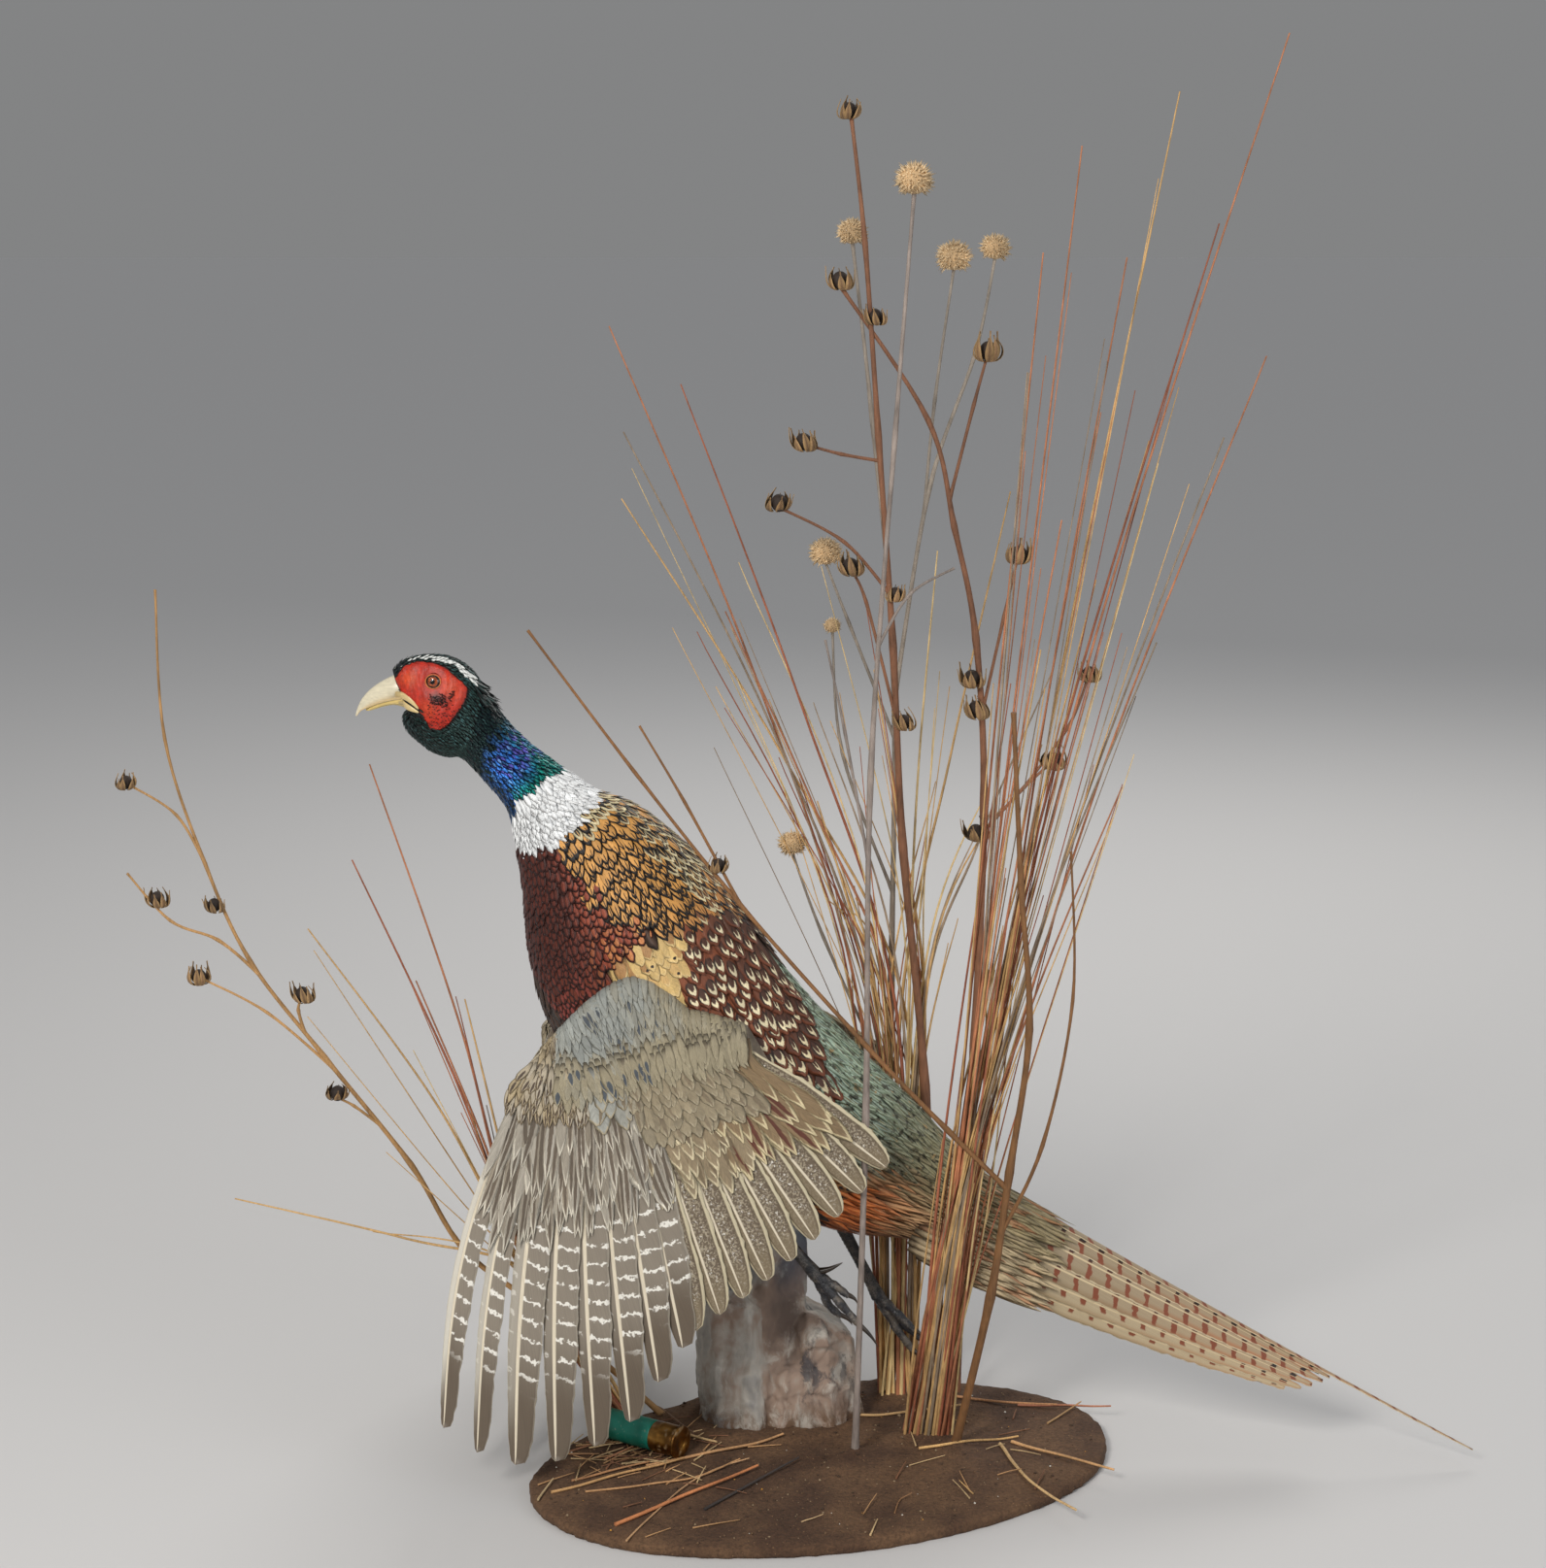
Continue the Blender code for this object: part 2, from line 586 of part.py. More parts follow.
def rock_block(name, block, seed):
    """A broken block: an uneven plan, flat faces that jog in at each bed, and a sloping top."""
    left, right, front, back, top_left, top_right, lean_x, lean_y = block
    rough = random.Random(seed)
    sides = 8
    levels = (0.0, 0.42, 0.46, 0.86, 1.0)
    shrink = (1.02, 1.0, 0.95, 0.90, 0.66)
    centre_x, centre_y = (left + right) / 2, (front + back) / 2
    corner = [rough.uniform(0.90, 1.12) for _ in range(sides)]
    offset = [rough.uniform(-0.16, 0.16) for _ in range(sides)]
    vertices, faces = [], []
    for level, size in zip(levels, shrink):
        for k in range(sides):
            angle = 2 * math.pi * (k + 0.5 + offset[k]) / sides
            reach = corner[k] * size * 1.04 * (1.0 + (rough.uniform(-0.05, 0.05) if level else 0.0))
            x = centre_x + (right - left) / 2 * reach * math.cos(angle)
            y = centre_y + (back - front) / 2 * reach * math.sin(angle)
            share = min(max((x - left) / (right - left), 0.0), 1.0)
            top = top_left + (top_right - top_left) * share
            low = BASE_HEIGHT + 0.3
            jog = level + (0.05 * math.sin(2.3 * k + seed) if 0.0 < level < 0.9 else 0.0)
            vertices.append((x + lean_x * level, y + lean_y * level, low + (top - low) * jog))
    for row in range(len(levels) - 1):
        for k in range(sides):
            a, b = row * sides + k, row * sides + (k + 1) % sides
            faces.append((a, b, b + sides, a + sides))
    faces.append(tuple(range(sides - 1, -1, -1)))
    faces.append(tuple(range((len(levels) - 1) * sides, len(levels) * sides)))
    return outward(add_object(name, vertices, faces, STONE))


def make_rock():
    rock = rock_block("rock", ROCK_BLOCKS[0], 4)
    others = [rock_block("rock_block", block, 11 + k) for k, block in enumerate(ROCK_BLOCKS[1:])]
    combine(rock, others, "UNION")
    return combine(rock, [trunk_cutter(0.5), thigh_tube("thigh_cutter", LEGS["right"], 0.6)],
                   "DIFFERENCE")


def turned(name, profile, start, way, sides, finish):
    """A body turned about an axis from start along way; profile pairs are (distance, radius)."""
    along = Vector(way).normalized()
    side_way = Vector((0.0, 0.0, 1.0))
    other = along.cross(side_way).normalized()
    vertices, faces = [], []
    for distance, radius in profile:
        for k in range(sides):
            angle = 2 * math.pi * k / sides
            vertices.append(Vector(start) + along * distance
                            + (side_way * math.cos(angle) + other * math.sin(angle)) * radius)
    for row in range(len(profile) - 1):
        for k in range(sides):
            a, b = row * sides + k, row * sides + (k + 1) % sides
            faces.append((a, b, b + sides, a + sides))
    faces.append(tuple(range(sides - 1, -1, -1)))
    faces.append(tuple(range((len(profile) - 1) * sides, len(profile) * sides)))
    return outward(add_object(name, vertices, faces, finish))


def make_shell():
    """A spent shotgun shell lying on the soil, its brass end nearer the middle of the base."""
    head_end = (-99.0, 5.0, BASE_HEIGHT + 0.3 + SHELL_RIM_RADIUS)
    way = (-0.842, 0.54, 0.0)
    rim = 1.6
    turned("shell_brass", (
        (0.0, SHELL_RIM_RADIUS - 0.6), (0.4, SHELL_RIM_RADIUS), (rim, SHELL_RIM_RADIUS),
        (rim + 0.5, SHELL_RADIUS + 0.1), (SHELL_BRASS_LENGTH, SHELL_RADIUS + 0.1),
    ), head_end, way, 16, BRASS)
    turned("shell_case", (
        (SHELL_BRASS_LENGTH + 0.3, SHELL_RADIUS), (SHELL_LENGTH - 2.5, SHELL_RADIUS),
        (SHELL_LENGTH, SHELL_RADIUS - 2.2), (SHELL_LENGTH - 1.5, SHELL_RADIUS - 5.0),
    ), head_end, way, 16, SHELL_GREEN)


# ---- dried plants ----

SOIL_TOP = BASE_HEIGHT + 0.3
PLUG_HEIGHT = 5.0

# Each plant: plug centre x, y and radius, then its stems: points (x, y, z), foot radius, tip radius
PLANTS = {
    "stalk_front": {
        "plug": (17.0, 15.0, 6.0),
        "stems": (
            (((17, 15, 12), (22, 9, 245), (26, 4, 473), (38, -1, 689), (48, -4, 839)), 2.2, 1.1),
            (((25, 5, 430), (8, 8, 500), (-5, 12, 560)), 1.1, 0.7),
            (((29, 3, 550), (50, 6, 590), (76, 10, 606)), 1.1, 0.7),
        ),
        "heads": ((48, -4, 846, 13.5),),
        "pods": (),
    },
    "stalk_rear": {
        "plug": (40.0, 130.0, 7.0),
        "stems": (
            (((40, 130, 12), (44, 148, 300), (44, 144, 520), (27, 140, 690), (14, 138, 804)), 2.2, 1.1),
            (((44, 144, 505), (66, 142, 640), (96, 139, 730), (108, 138, 794)), 1.6, 0.9),
            (((64, 142, 628), (70, 141, 700), (81, 139, 787)), 1.2, 0.9),
            (((43, 147, 350), (8, 143, 460), (2, 140, 545)), 1.2, 0.8),
            (((42, 150, 240), (-4, 146, 330), (-25, 142, 392)), 1.2, 0.8),
            (((44, 145, 480), (14, 142, 550), (-3, 140, 592)), 1.2, 0.8),
        ),
        "heads": ((14, 138, 813, 11.5), (81, 139, 796, 13.5), (108, 138, 803, 11.5),
                  (-3, 140, 601, 12.5), (2, 140, 552, 7.0), (-25, 142, 400, 11.0)),
        "pods": (),
    },
    "pod_plant": {
        "plug": (84.0, 111.0, 13.0),
        "stems": (
            (((79, 108, 12), (66, 122, 230), (50, 116, 400), (40, 108, 540), (28, 104, 680),
              (22, 103, 804),
              (12, 103, 884)), 3.0, 1.2),
            (((90, 112, 12), (99, 122, 260), (104, 112, 430), (97, 108, 545), (80, 106, 620),
              (62, 104, 690),
              (6, 103, 776)), 2.8, 1.2),
            (((30, 104, 660), (8, 104, 668), (-16, 104, 674)), 1.2, 0.9),
            (((38, 106, 570), (10, 104, 610), (-32, 104, 632)), 1.2, 0.9),
            (((44, 110, 490), (24, 104, 570), (13, 104, 592)), 1.2, 0.9),
            (((76, 105, 640), (92, 103, 700), (101, 104, 731)), 1.2, 0.9),
            (((100, 110, 500), (114, 106, 560), (123, 104, 599)), 1.2, 0.9),
            (((104, 112, 420), (130, 106, 444), (147, 104, 461)), 1.2, 0.9),
            (((130, 106, 444), (158, 104, 486), (171, 104, 519)), 1.0, 0.9),
        ),
        "heads": (),
        "pods": ((10, 104, 892, 8), (5, 104, 785, 9), (30, 104, 756, 8), (102, 104, 736, 10),
                 (-18, 104, 677, 9),
                 (-34, 104, 637, 9), (13, 104, 595, 9), (124, 104, 603, 9), (87, 106, 518, 9),
                 (94, 108, 498, 9), (57, 112, 489, 8), (149, 104, 464, 9), (86, 114, 414, 9), (49,
                                                                                               108, 577, 7),
                 (172, 104, 523, 8)),
    },
    "stem_brown": {
        "plug": (85.0, 29.0, 6.0),
        "stems": (
            (((85, 29, 12), (106, 14, 119), (117, 2, 209), (126, -10, 310), (120, -18, 409),
              (112, -24, 520)), 3.0, 1.4),
            (((115, 3, 200), (76, -4, 240), (20, -4, 298), (-60, 16, 386), (-128, 34, 470),
              (-196, 50, 560)), 1.8, 0.8),
            (((-60, 16, 386), (-96, 26, 452), (-124, 36, 500)), 1.2, 0.7),
            (((112, 8, 160), (136, -2, 230), (154, -12, 330), (150, -20, 430)), 1.4, 0.7),
        ),
        "heads": (),
        "pods": ((-73, 20, 412, 7),),
    },
    "stem_left": {
        "plug": (-112.0, 74.0, 6.0),
        "stems": (
            (((-112, 74, 12), (-190, 64, 84), (-246, 60, 133), (-283, 60, 195), (-340, 60, 270),
              (-383, 60, 337), (-412, 60, 403), (-435, 60, 487), (-437, 60, 585)), 2.2, 0.7),
            (((-376, 60, 326), (-404, 56, 352), (-436, 54, 366), (-462, 54, 398)), 1.2, 0.7),
            (((-412, 60, 403), (-430, 58, 436), (-458, 58, 456)), 1.0, 0.7),
            (((-330, 60, 256), (-374, 64, 300), (-416, 66, 322)), 1.1, 0.7),
            (((-300, 60, 218), (-318, 54, 238), (-327, 52, 244)), 1.1, 0.7),
            (((-352, 60, 288), (-353, 54, 304), (-350, 50, 313)), 1.2, 0.8),
        ),
        "heads": (),
        "pods": ((-462, 58, 460, 7), (-440, 56, 384, 8), (-416, 56, 374, 7), (-421, 66, 326, 8),
                 (-349, 52, 317, 8), (-328, 52, 249, 8)),
    },
}

# Grass clumps: foot x, y, spread of the feet, then blades (tip x, y, z, sideways bow, foot radius)
GRASSES = {
    "grass_front": {
        "foot": (68.0, 43.0, 17.0, 5.0),
        "waist": (86.0, 12.0, 200.0, 16.0, 5.0),
        "tips": ((270, -22, 932), (206, -18, 898), (149, -8, 866), (262, -26, 741), (201, -16, 563),
                 (127, -4, 802),
                 (118, -12, 730), (240, -10, 690), (176, -24, 800), (164, 0, 600), (140, -20, 640),
                 (182, -12, 470), (128, -26, 560), (232, -18, 820)),
    },
    "grass_rear": {
        "foot": (50.0, 111.0, 13.0, 5.0),
        "waist": (52.0, 134.0, 280.0, 30.0, 3.0),
        "tips": ((-146, 136, 749), (-99, 134, 711), (-137, 130, 680), (-139, 136, 635), (-70, 130, 560),
                 (-8, 130, 430), (150, 130, 520), (120, 134, 640), (30, 132, 520), (72, 136, 600)),
    },
    "grass_left": {
        "foot": (-134.0, 60.0, 5.0, 3.0),
        "waist": (-196.0, 42.0, 120.0, 8.0, 3.0),
        "tips": ((-299, 40, 474), (-313, 46, 409), (-343, 44, 363), (-398, 46, 176), (-272, 36, 330),
                 (-240, 34, 318)),
    },
}


def nearest_on(paths, point):
    """The point nearest to the given one on any of the polylines."""
    point = Vector(point)
    best = None
    for path in paths:
        for start, end in zip(path, path[1:]):
            start, way = Vector(start), Vector(end) - Vector(start)
            share = min(max((point - start).dot(way) / way.length_squared, 0.0), 1.0)
            found = start + way * share
            if best is None or (found - point).length < (best - point).length:
                best = found
    return best


def held_on(paths, point, reach):
    """The point itself, drawn in to lie within reach of the stems."""
    held = nearest_on(paths, point)
    away = Vector(point) - held
    return held + away * min(1.0, reach / max(away.length, 0.001))


def grow_plant(name, plan):
    """Stems of one plant, rising from a small plug of soil, with its round heads and curled pods.

    The first stem rises from the plug, and each later one starts on the stems before it."""
    x, y, radius = plan["plug"]
    profile = ((0.0, radius), (PLUG_HEIGHT, radius * 0.8))
    plant = turned_up(name, profile, (x, y, SOIL_TOP))
    parts, paths = [], []
    for points, foot, tip in plan["stems"]:
        points = list(points)
        if points[0][2] > SOIL_TOP + PLUG_HEIGHT:
            points[0] = tuple(nearest_on(paths, points[0]))
        paths.append(points)
        parts.append(tube("stem", points, (foot, tip), 4 if foot > 2.0 else 3, DRY_STEM))
    for x, y, z, size in plan["heads"]:
        centre = held_on(paths, (x, y, z), 0.5 * size)
        parts.append(ball("flower_head", centre, (size, size, size * 0.72), DRY_HEAD))
    for k, (x, y, z, size) in enumerate(plan["pods"]):
        centre = held_on(paths, (x, y, z), 0.6 * size)
        parts.append(ball("pod", centre, (size, size * 0.8, size * 0.9), DRY_HEAD, turn=k * 1.1))
    return combine(plant, parts, "UNION", "MANIFOLD")


def turned_up(name, profile, centre):
    sides = 8
    vertices, faces = [], []
    for z, radius in profile:
        for k in range(sides):
            angle = 2 * math.pi * k / sides
            vertices.append((centre[0] + radius * math.cos(angle),
                             centre[1] + radius * math.sin(angle), centre[2] + z))
    for row in range(len(profile) - 1):
        for k in range(sides):
            a, b = row * sides + k, row * sides + (k + 1) % sides
            faces.append((a, b, b + sides, a + sides))
    faces.append(tuple(range(sides - 1, -1, -1)))
    faces.append(tuple(range((len(profile) - 1) * sides, len(profile) * sides)))
    return outward(add_object(name, vertices, faces, SOIL))


def grow_grass(name, plan):
    """Blades fanning from a tight foot through a waist to their tips."""
    foot_x, foot_y, wide, deep = plan["foot"]
    waist_x, waist_y, waist_z, waist_wide, waist_deep = plan["waist"]
    clump = turned_up(name, ((0.0, wide + 5.0), (PLUG_HEIGHT, wide + 2.0)), (foot_x, foot_y, SOIL_TOP))
    if wide > 2.5 * deep:
        for v in clump.data.vertices:
            v.co.y = (foot_y + (v.co.y / MM - foot_y) * 0.55) * MM
    blades = []
    count = len(plan["tips"])
    for k, (x, y, z) in enumerate(plan["tips"]):
        share = 2.0 * ((k * 0.618) % 1.0) - 1.0
        across = (x - waist_x) / 200.0
        foot = (foot_x + wide * share, foot_y + deep * math.cos(2.4 * k), SOIL_TOP + 2.0)
        waist = (waist_x + waist_wide * (0.6 * share + 0.4 * across),
                 waist_y + waist_deep * math.cos(2.4 * k), waist_z)
        high = tuple(a + (b - a) * 0.5 for a, b in zip(waist, (x, y, z)))
        high = (high[0] - (x - waist_x) * 0.06, high[1], high[2])
        blades.append(tube("blade", (foot, waist, high, (x, y, z)), (1.5, 0.6), 3, DRY_GRASS))
    return combine(clump, blades, "UNION", "MANIFOLD")


def clear_scene():
    for item in list(bpy.data.objects):
        bpy.data.objects.remove(item)


clear_scene()
RED_SKIN = material("red_skin", (0.55, 0.03, 0.015), 0.5)
GREEN_BLACK = material("green_black_plumage", (0.005, 0.02, 0.015), 0.35)
BLUE_GREEN = material("blue_green_plumage", (0.01, 0.05, 0.14), 0.3)
PLUMAGE = material("copper_plumage", (0.22, 0.07, 0.02), 0.5)
WING_GREY = material("wing_plumage", (0.26, 0.22, 0.16), 0.6)
TAIL_BUFF = material("tail_plumage", (0.30, 0.20, 0.10), 0.6)
BILL_HORN = material("bill_horn", (0.72, 0.62, 0.40), 0.4)
GLASS_EYE = material("glass_eye", (0.16, 0.04, 0.01), 0.05)
LEG_GREY = material("leg_scales", (0.05, 0.055, 0.06), 0.5)
STONE = material("stone", (0.38, 0.36, 0.34), 0.85)
SOIL = material("soil", (0.12, 0.07, 0.035), 0.95)
SHELL_GREEN = material("shell_plastic", (0.0, 0.12, 0.09), 0.4)
BRASS = material("brass", (0.55, 0.38, 0.12), 0.35, 1.0)
DRY_STEM = material("dry_stem", (0.25, 0.17, 0.11), 0.8)
DRY_HEAD = material("dry_head", (0.36, 0.25, 0.14), 0.9)
DRY_GRASS = material("dry_grass", (0.42, 0.25, 0.12), 0.7)

make_head()
make_body()
make_wing("wing_left", -1)
make_wing("wing_right", 1)
make_tail()
for leg_end, leg_places in LEGS.items():
    make_leg(leg_end, leg_places)
make_base()
make_rock()
make_shell()
for plant_name, plant_plan in PLANTS.items():
    grow_plant(plant_name, plant_plan)
for grass_name, grass_plan in GRASSES.items():
    grow_grass(grass_name, grass_plan)
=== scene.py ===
import math

import bmesh
import bpy
import numpy as np
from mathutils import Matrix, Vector, noise


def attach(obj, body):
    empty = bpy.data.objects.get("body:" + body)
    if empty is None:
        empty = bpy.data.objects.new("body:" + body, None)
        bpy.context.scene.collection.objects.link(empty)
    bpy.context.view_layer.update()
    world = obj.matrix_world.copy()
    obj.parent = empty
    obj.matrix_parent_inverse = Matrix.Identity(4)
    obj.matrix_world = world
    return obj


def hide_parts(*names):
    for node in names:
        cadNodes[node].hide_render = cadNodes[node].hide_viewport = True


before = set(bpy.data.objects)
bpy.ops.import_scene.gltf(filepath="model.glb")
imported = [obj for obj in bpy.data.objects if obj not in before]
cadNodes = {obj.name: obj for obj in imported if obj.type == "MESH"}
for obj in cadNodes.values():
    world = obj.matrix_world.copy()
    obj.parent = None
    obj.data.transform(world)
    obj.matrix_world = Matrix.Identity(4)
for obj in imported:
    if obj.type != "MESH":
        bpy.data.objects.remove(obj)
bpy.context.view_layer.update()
mm = 0.001


def placed(name, data):
    made = bpy.data.objects.new(name, data)
    bpy.context.scene.collection.objects.link(made)
    return made


def fastMesh(name, verts, quads, extras=()):
    # verts in millimetres; quads is an (n, 4) array, each of extras an array of other faces
    groups = [np.asarray(g) for g in (quads, *extras) if len(g)]
    corners = np.concatenate([g.ravel() for g in groups])
    sizes = np.concatenate([np.full(len(g), g.shape[1]) for g in groups])
    starts = np.concatenate([[0], np.cumsum(sizes)[:-1]])
    mesh = bpy.data.meshes.new(name)
    mesh.vertices.add(len(verts))
    mesh.vertices.foreach_set("co", (np.asarray(verts) * mm).astype(np.float32).ravel())
    mesh.loops.add(len(corners))
    mesh.loops.foreach_set("vertex_index", corners.astype(np.int32))
    mesh.polygons.add(len(sizes))
    mesh.polygons.foreach_set("loop_start", starts.astype(np.int32))
    mesh.polygons.foreach_set("loop_total", sizes.astype(np.int32))
    mesh.update(calc_edges=True)
    mesh.validate()
    mesh.shade_smooth()
    return placed(name, mesh)


def giveUv(item, name, uv):
    # uv holds one pair for each vertex
    layer = item.data.uv_layers.new(name=name)
    corner = np.zeros(len(item.data.loops), np.int32)
    item.data.loops.foreach_get("vertex_index", corner)
    layer.data.foreach_set("uv", np.asarray(uv, np.float32)[corner].ravel())


def giveColour(item, name, values):
    values = np.asarray(values, np.float32)
    if values.shape[1] == 3:
        values = np.pad(values, ((0, 0), (0, 1)), constant_values=1.0)
    layer = item.data.attributes.new(name, "FLOAT_COLOR", "POINT")
    layer.data.foreach_set("color", values.ravel())


def giveValue(item, name, values):
    layer = item.data.attributes.new(name, "FLOAT", "POINT")
    layer.data.foreach_set("value", np.asarray(values, np.float32).ravel())


def pointsOf(item):
    # the mesh's points in millimetres
    flat = np.zeros(len(item.data.vertices) * 3, np.float32)
    item.data.vertices.foreach_get("co", flat)
    return flat.reshape(-1, 3) / mm


def faceOut(item, merge=0.0):
    work = bmesh.new()
    work.from_mesh(item.data)
    if merge:
        bmesh.ops.remove_doubles(work, verts=work.verts, dist=merge)
    bmesh.ops.recalc_face_normals(work, faces=work.faces)
    if work.calc_volume(signed=True) < 0.0:
        bmesh.ops.reverse_faces(work, faces=work.faces)
    work.to_mesh(item.data)
    work.free()
    return item


def closedForm(name, verts, quads, extras, material, paint=None, unwrap=None, merge=0.0):
    # a closed form, its faces turned out, with its material, paint and unwrap
    item = fastMesh(name, verts, quads, extras)
    item.data.materials.append(material)
    if paint is not None:
        giveColour(item, "paint", paint)
    if unwrap is not None:
        giveUv(item, "unwrap", unwrap)
    return faceOut(item, merge)


def joined(name, items):
    # one object from several, which keep their materials
    if len(items) > 1:
        with bpy.context.temp_override(active_object=items[0], object=items[0], selected_objects=items,
                                       selected_editable_objects=items):
            bpy.ops.object.join()
    items[0].name = name
    items[0].data.name = name
    return items[0]


def settle(item, slot, *nodes):
    # the piece rides on the one body and stands for the nodes named
    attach(item, "root")
    if nodes:
        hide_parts(*nodes)
    return item


def unit(vectors):
    return vectors / np.maximum(np.linalg.norm(vectors, axis=-1, keepdims=True), 1e-9)


def runAlong(points):
    # the distance along a line of points, 0 at its first
    return np.concatenate([[0.0], np.cumsum(np.linalg.norm(np.diff(points, axis=0), axis=1))])


def roundTurn(count):
    # angles evenly round a ring
    return np.arange(count) / count * 2 * math.pi


def smoothStep(low, high, value):
    share = np.clip((np.asarray(value, float) - low) / (high - low), 0.0, 1.0)
    return share * share * (3.0 - 2.0 * share)


def curveTable(points, perSpan):
    # a Catmull-Rom curve through rows of numbers
    points = np.asarray(points, float)
    last = len(points) - 1
    out = []
    for i in range(last):
        a, b, c, d = points[max(i - 1, 0)], points[i], points[i + 1], points[min(i + 2, last)]
        for k in range(perSpan):
            t = k / perSpan
            out.append(0.5 * (2 * b + (c - a) * t + (2 * a - 5 * b + 4 * c - d) * t * t
                              + (3 * b - a - 3 * c + d) * t ** 3))
    out.append(points[-1])
    return np.array(out)


def gridFaces(rows, columns, wrap):
    r, c = np.meshgrid(np.arange(rows - 1), np.arange(columns if wrap else columns - 1), indexing="ij")
    r, c = r.ravel(), c.ravel()
    after = (c + 1) % columns
    row, rowAfter = r * columns, (r + 1) * columns
    return np.stack([row + c, row + after, rowAfter + after, rowAfter + c], 1)


def flatCaps(rows, columns):
    # a flat face over each end of a tube of rows by columns points
    return np.array([np.arange(columns), np.arange(rows * columns - 1, (rows - 1) * columns - 1, -1)])


def fanCaps(rows, columns):
    # triangles to a middle point at each end of a tube: the points follow its own, the first one first
    ring = np.arange(columns)
    after = (ring + 1) % columns
    end = (rows - 1) * columns
    first = np.full(columns, rows * columns)
    return np.concatenate([np.stack([first, after, ring], 1),
                           np.stack([first + 1, ring + end, after + end], 1)])


def sheetFaces(rows, wide):
    # the closed faces of a sheet: an upper grid of rows by wide points, then the same grid below
    n = rows * wide
    top = gridFaces(rows, wide, False)
    edge = np.concatenate([np.arange(wide), np.arange(1, rows) * wide + wide - 1,
                           (rows - 1) * wide + np.arange(wide - 2, -1, -1),
                           np.arange(rows - 2, 0, -1) * wide])
    after = np.roll(edge, -1)
    return np.concatenate([top, top[:, ::-1] + n, np.stack([edge, edge + n, after + n, after], 1)])


class Tree:
    # wires nodes by call: each call returns a socket, and numbers or sockets go in
    def __init__(self, tree):
        self.tree = tree

    def add(self, kind, values=(), out=0, **options):
        made = self.tree.nodes.new(kind)
        for key, value in options.items():
            setattr(made, key, value)
        for key, value in dict(values).items():
            socket = made.inputs[key]
            if isinstance(value, bpy.types.NodeSocket):
                self.tree.links.new(value, socket)
            elif value is not None:
                socket.default_value = value
        return made.outputs[out]

    def math(self, how, a, b=None, c=None, clamp=False):
        return self.add("ShaderNodeMath", {0: a, 1: b, 2: c}, operation=how, use_clamp=clamp)

    def times(self, a, b):
        return self.math("MULTIPLY", a, b)

    def plus(self, a, b, clamp=False):
        return self.math("ADD", a, b, clamp=clamp)

    def minus(self, a, b):
        return self.math("SUBTRACT", a, b)

    def scaleAdd(self, a, b, c, clamp=False):
        # a times b plus c
        return self.math("MULTIPLY_ADD", a, b, c, clamp)

    def step(self, value, low, high):
        # 0 below low, 1 above high, smooth between
        return self.add("ShaderNodeMapRange", {"Value": value, "From Min": low, "From Max": high,
                                               "To Min": 0.0, "To Max": 1.0}, interpolation_type="SMOOTHSTEP")

    def fall(self, value, low, high):
        # 1 below low, 0 above high
        return self.minus(1.0, self.step(value, low, high))

    def mix(self, share, a, b, how="MIX"):
        made = self.tree.nodes.new("ShaderNodeMix")
        made.data_type = "RGBA"
        made.blend_type = how
        for key, value in ((0, share), (6, a), (7, b)):
            if isinstance(value, bpy.types.NodeSocket):
                self.tree.links.new(value, made.inputs[key])
            elif isinstance(value, (int, float)):
                made.inputs[key].default_value = value
            else:
                made.inputs[key].default_value = (*value[:3], 1.0)
        return made.outputs[2]

    def grey(self, colour, shade):
        # the colour darkened or lightened by a shade near 1
        grey = self.add("ShaderNodeCombineColor", {0: shade, 1: shade, 2: shade})
        return self.mix(1.0, colour, grey, "MULTIPLY")

    def mottled(self, colour, value, low, high):
        # the colour shaded from low to high where the value runs from 0.3 to 0.7
        shade = self.add("ShaderNodeMapRange", {"Value": value, "From Min": 0.3, "From Max": 0.7,
                                                "To Min": low, "To Max": high})
        return self.grey(colour, shade)

    def noise(self, vector, scale, detail=2.0, rough=0.5, out=0, dims="3D"):
        return self.add("ShaderNodeTexNoise", {"Vector": vector, "Scale": scale, "Detail": detail,
                                               "Roughness": rough}, out=out, noise_dimensions=dims)

    def spot(self, vector, scale, out=0, **options):
        return self.add("ShaderNodeTexVoronoi", {"Vector": vector, "Scale": scale}, out=out, **options)

    def attribute(self, name, out=0):
        return self.add("ShaderNodeAttribute", out=out, attribute_name=name)

    def objectPlace(self):
        return self.add("ShaderNodeTexCoord", out=3)

    def scaled(self, vector, size):
        return self.add("ShaderNodeVectorMath", {0: vector, 1: size}, operation="MULTIPLY")

    def ramp(self, value, stops):
        made = self.tree.nodes.new("ShaderNodeValToRGB")
        bar = made.color_ramp
        while len(bar.elements) < len(stops):
            bar.elements.new(0.5)
        for element, (place, colour) in zip(bar.elements, stops):
            element.position = place
            element.color = (*colour, 1.0)
        self.tree.links.new(value, made.inputs[0])
        return made.outputs[0]

    def group(self, tree, values, out=0):
        made = self.tree.nodes.new("ShaderNodeGroup")
        made.node_tree = tree
        for key, value in values.items():
            if isinstance(value, bpy.types.NodeSocket):
                self.tree.links.new(value, made.inputs[key])
            else:
                made.inputs[key].default_value = value
        return made.outputs[out] if isinstance(out, (int, str)) else [made.outputs[o] for o in out]


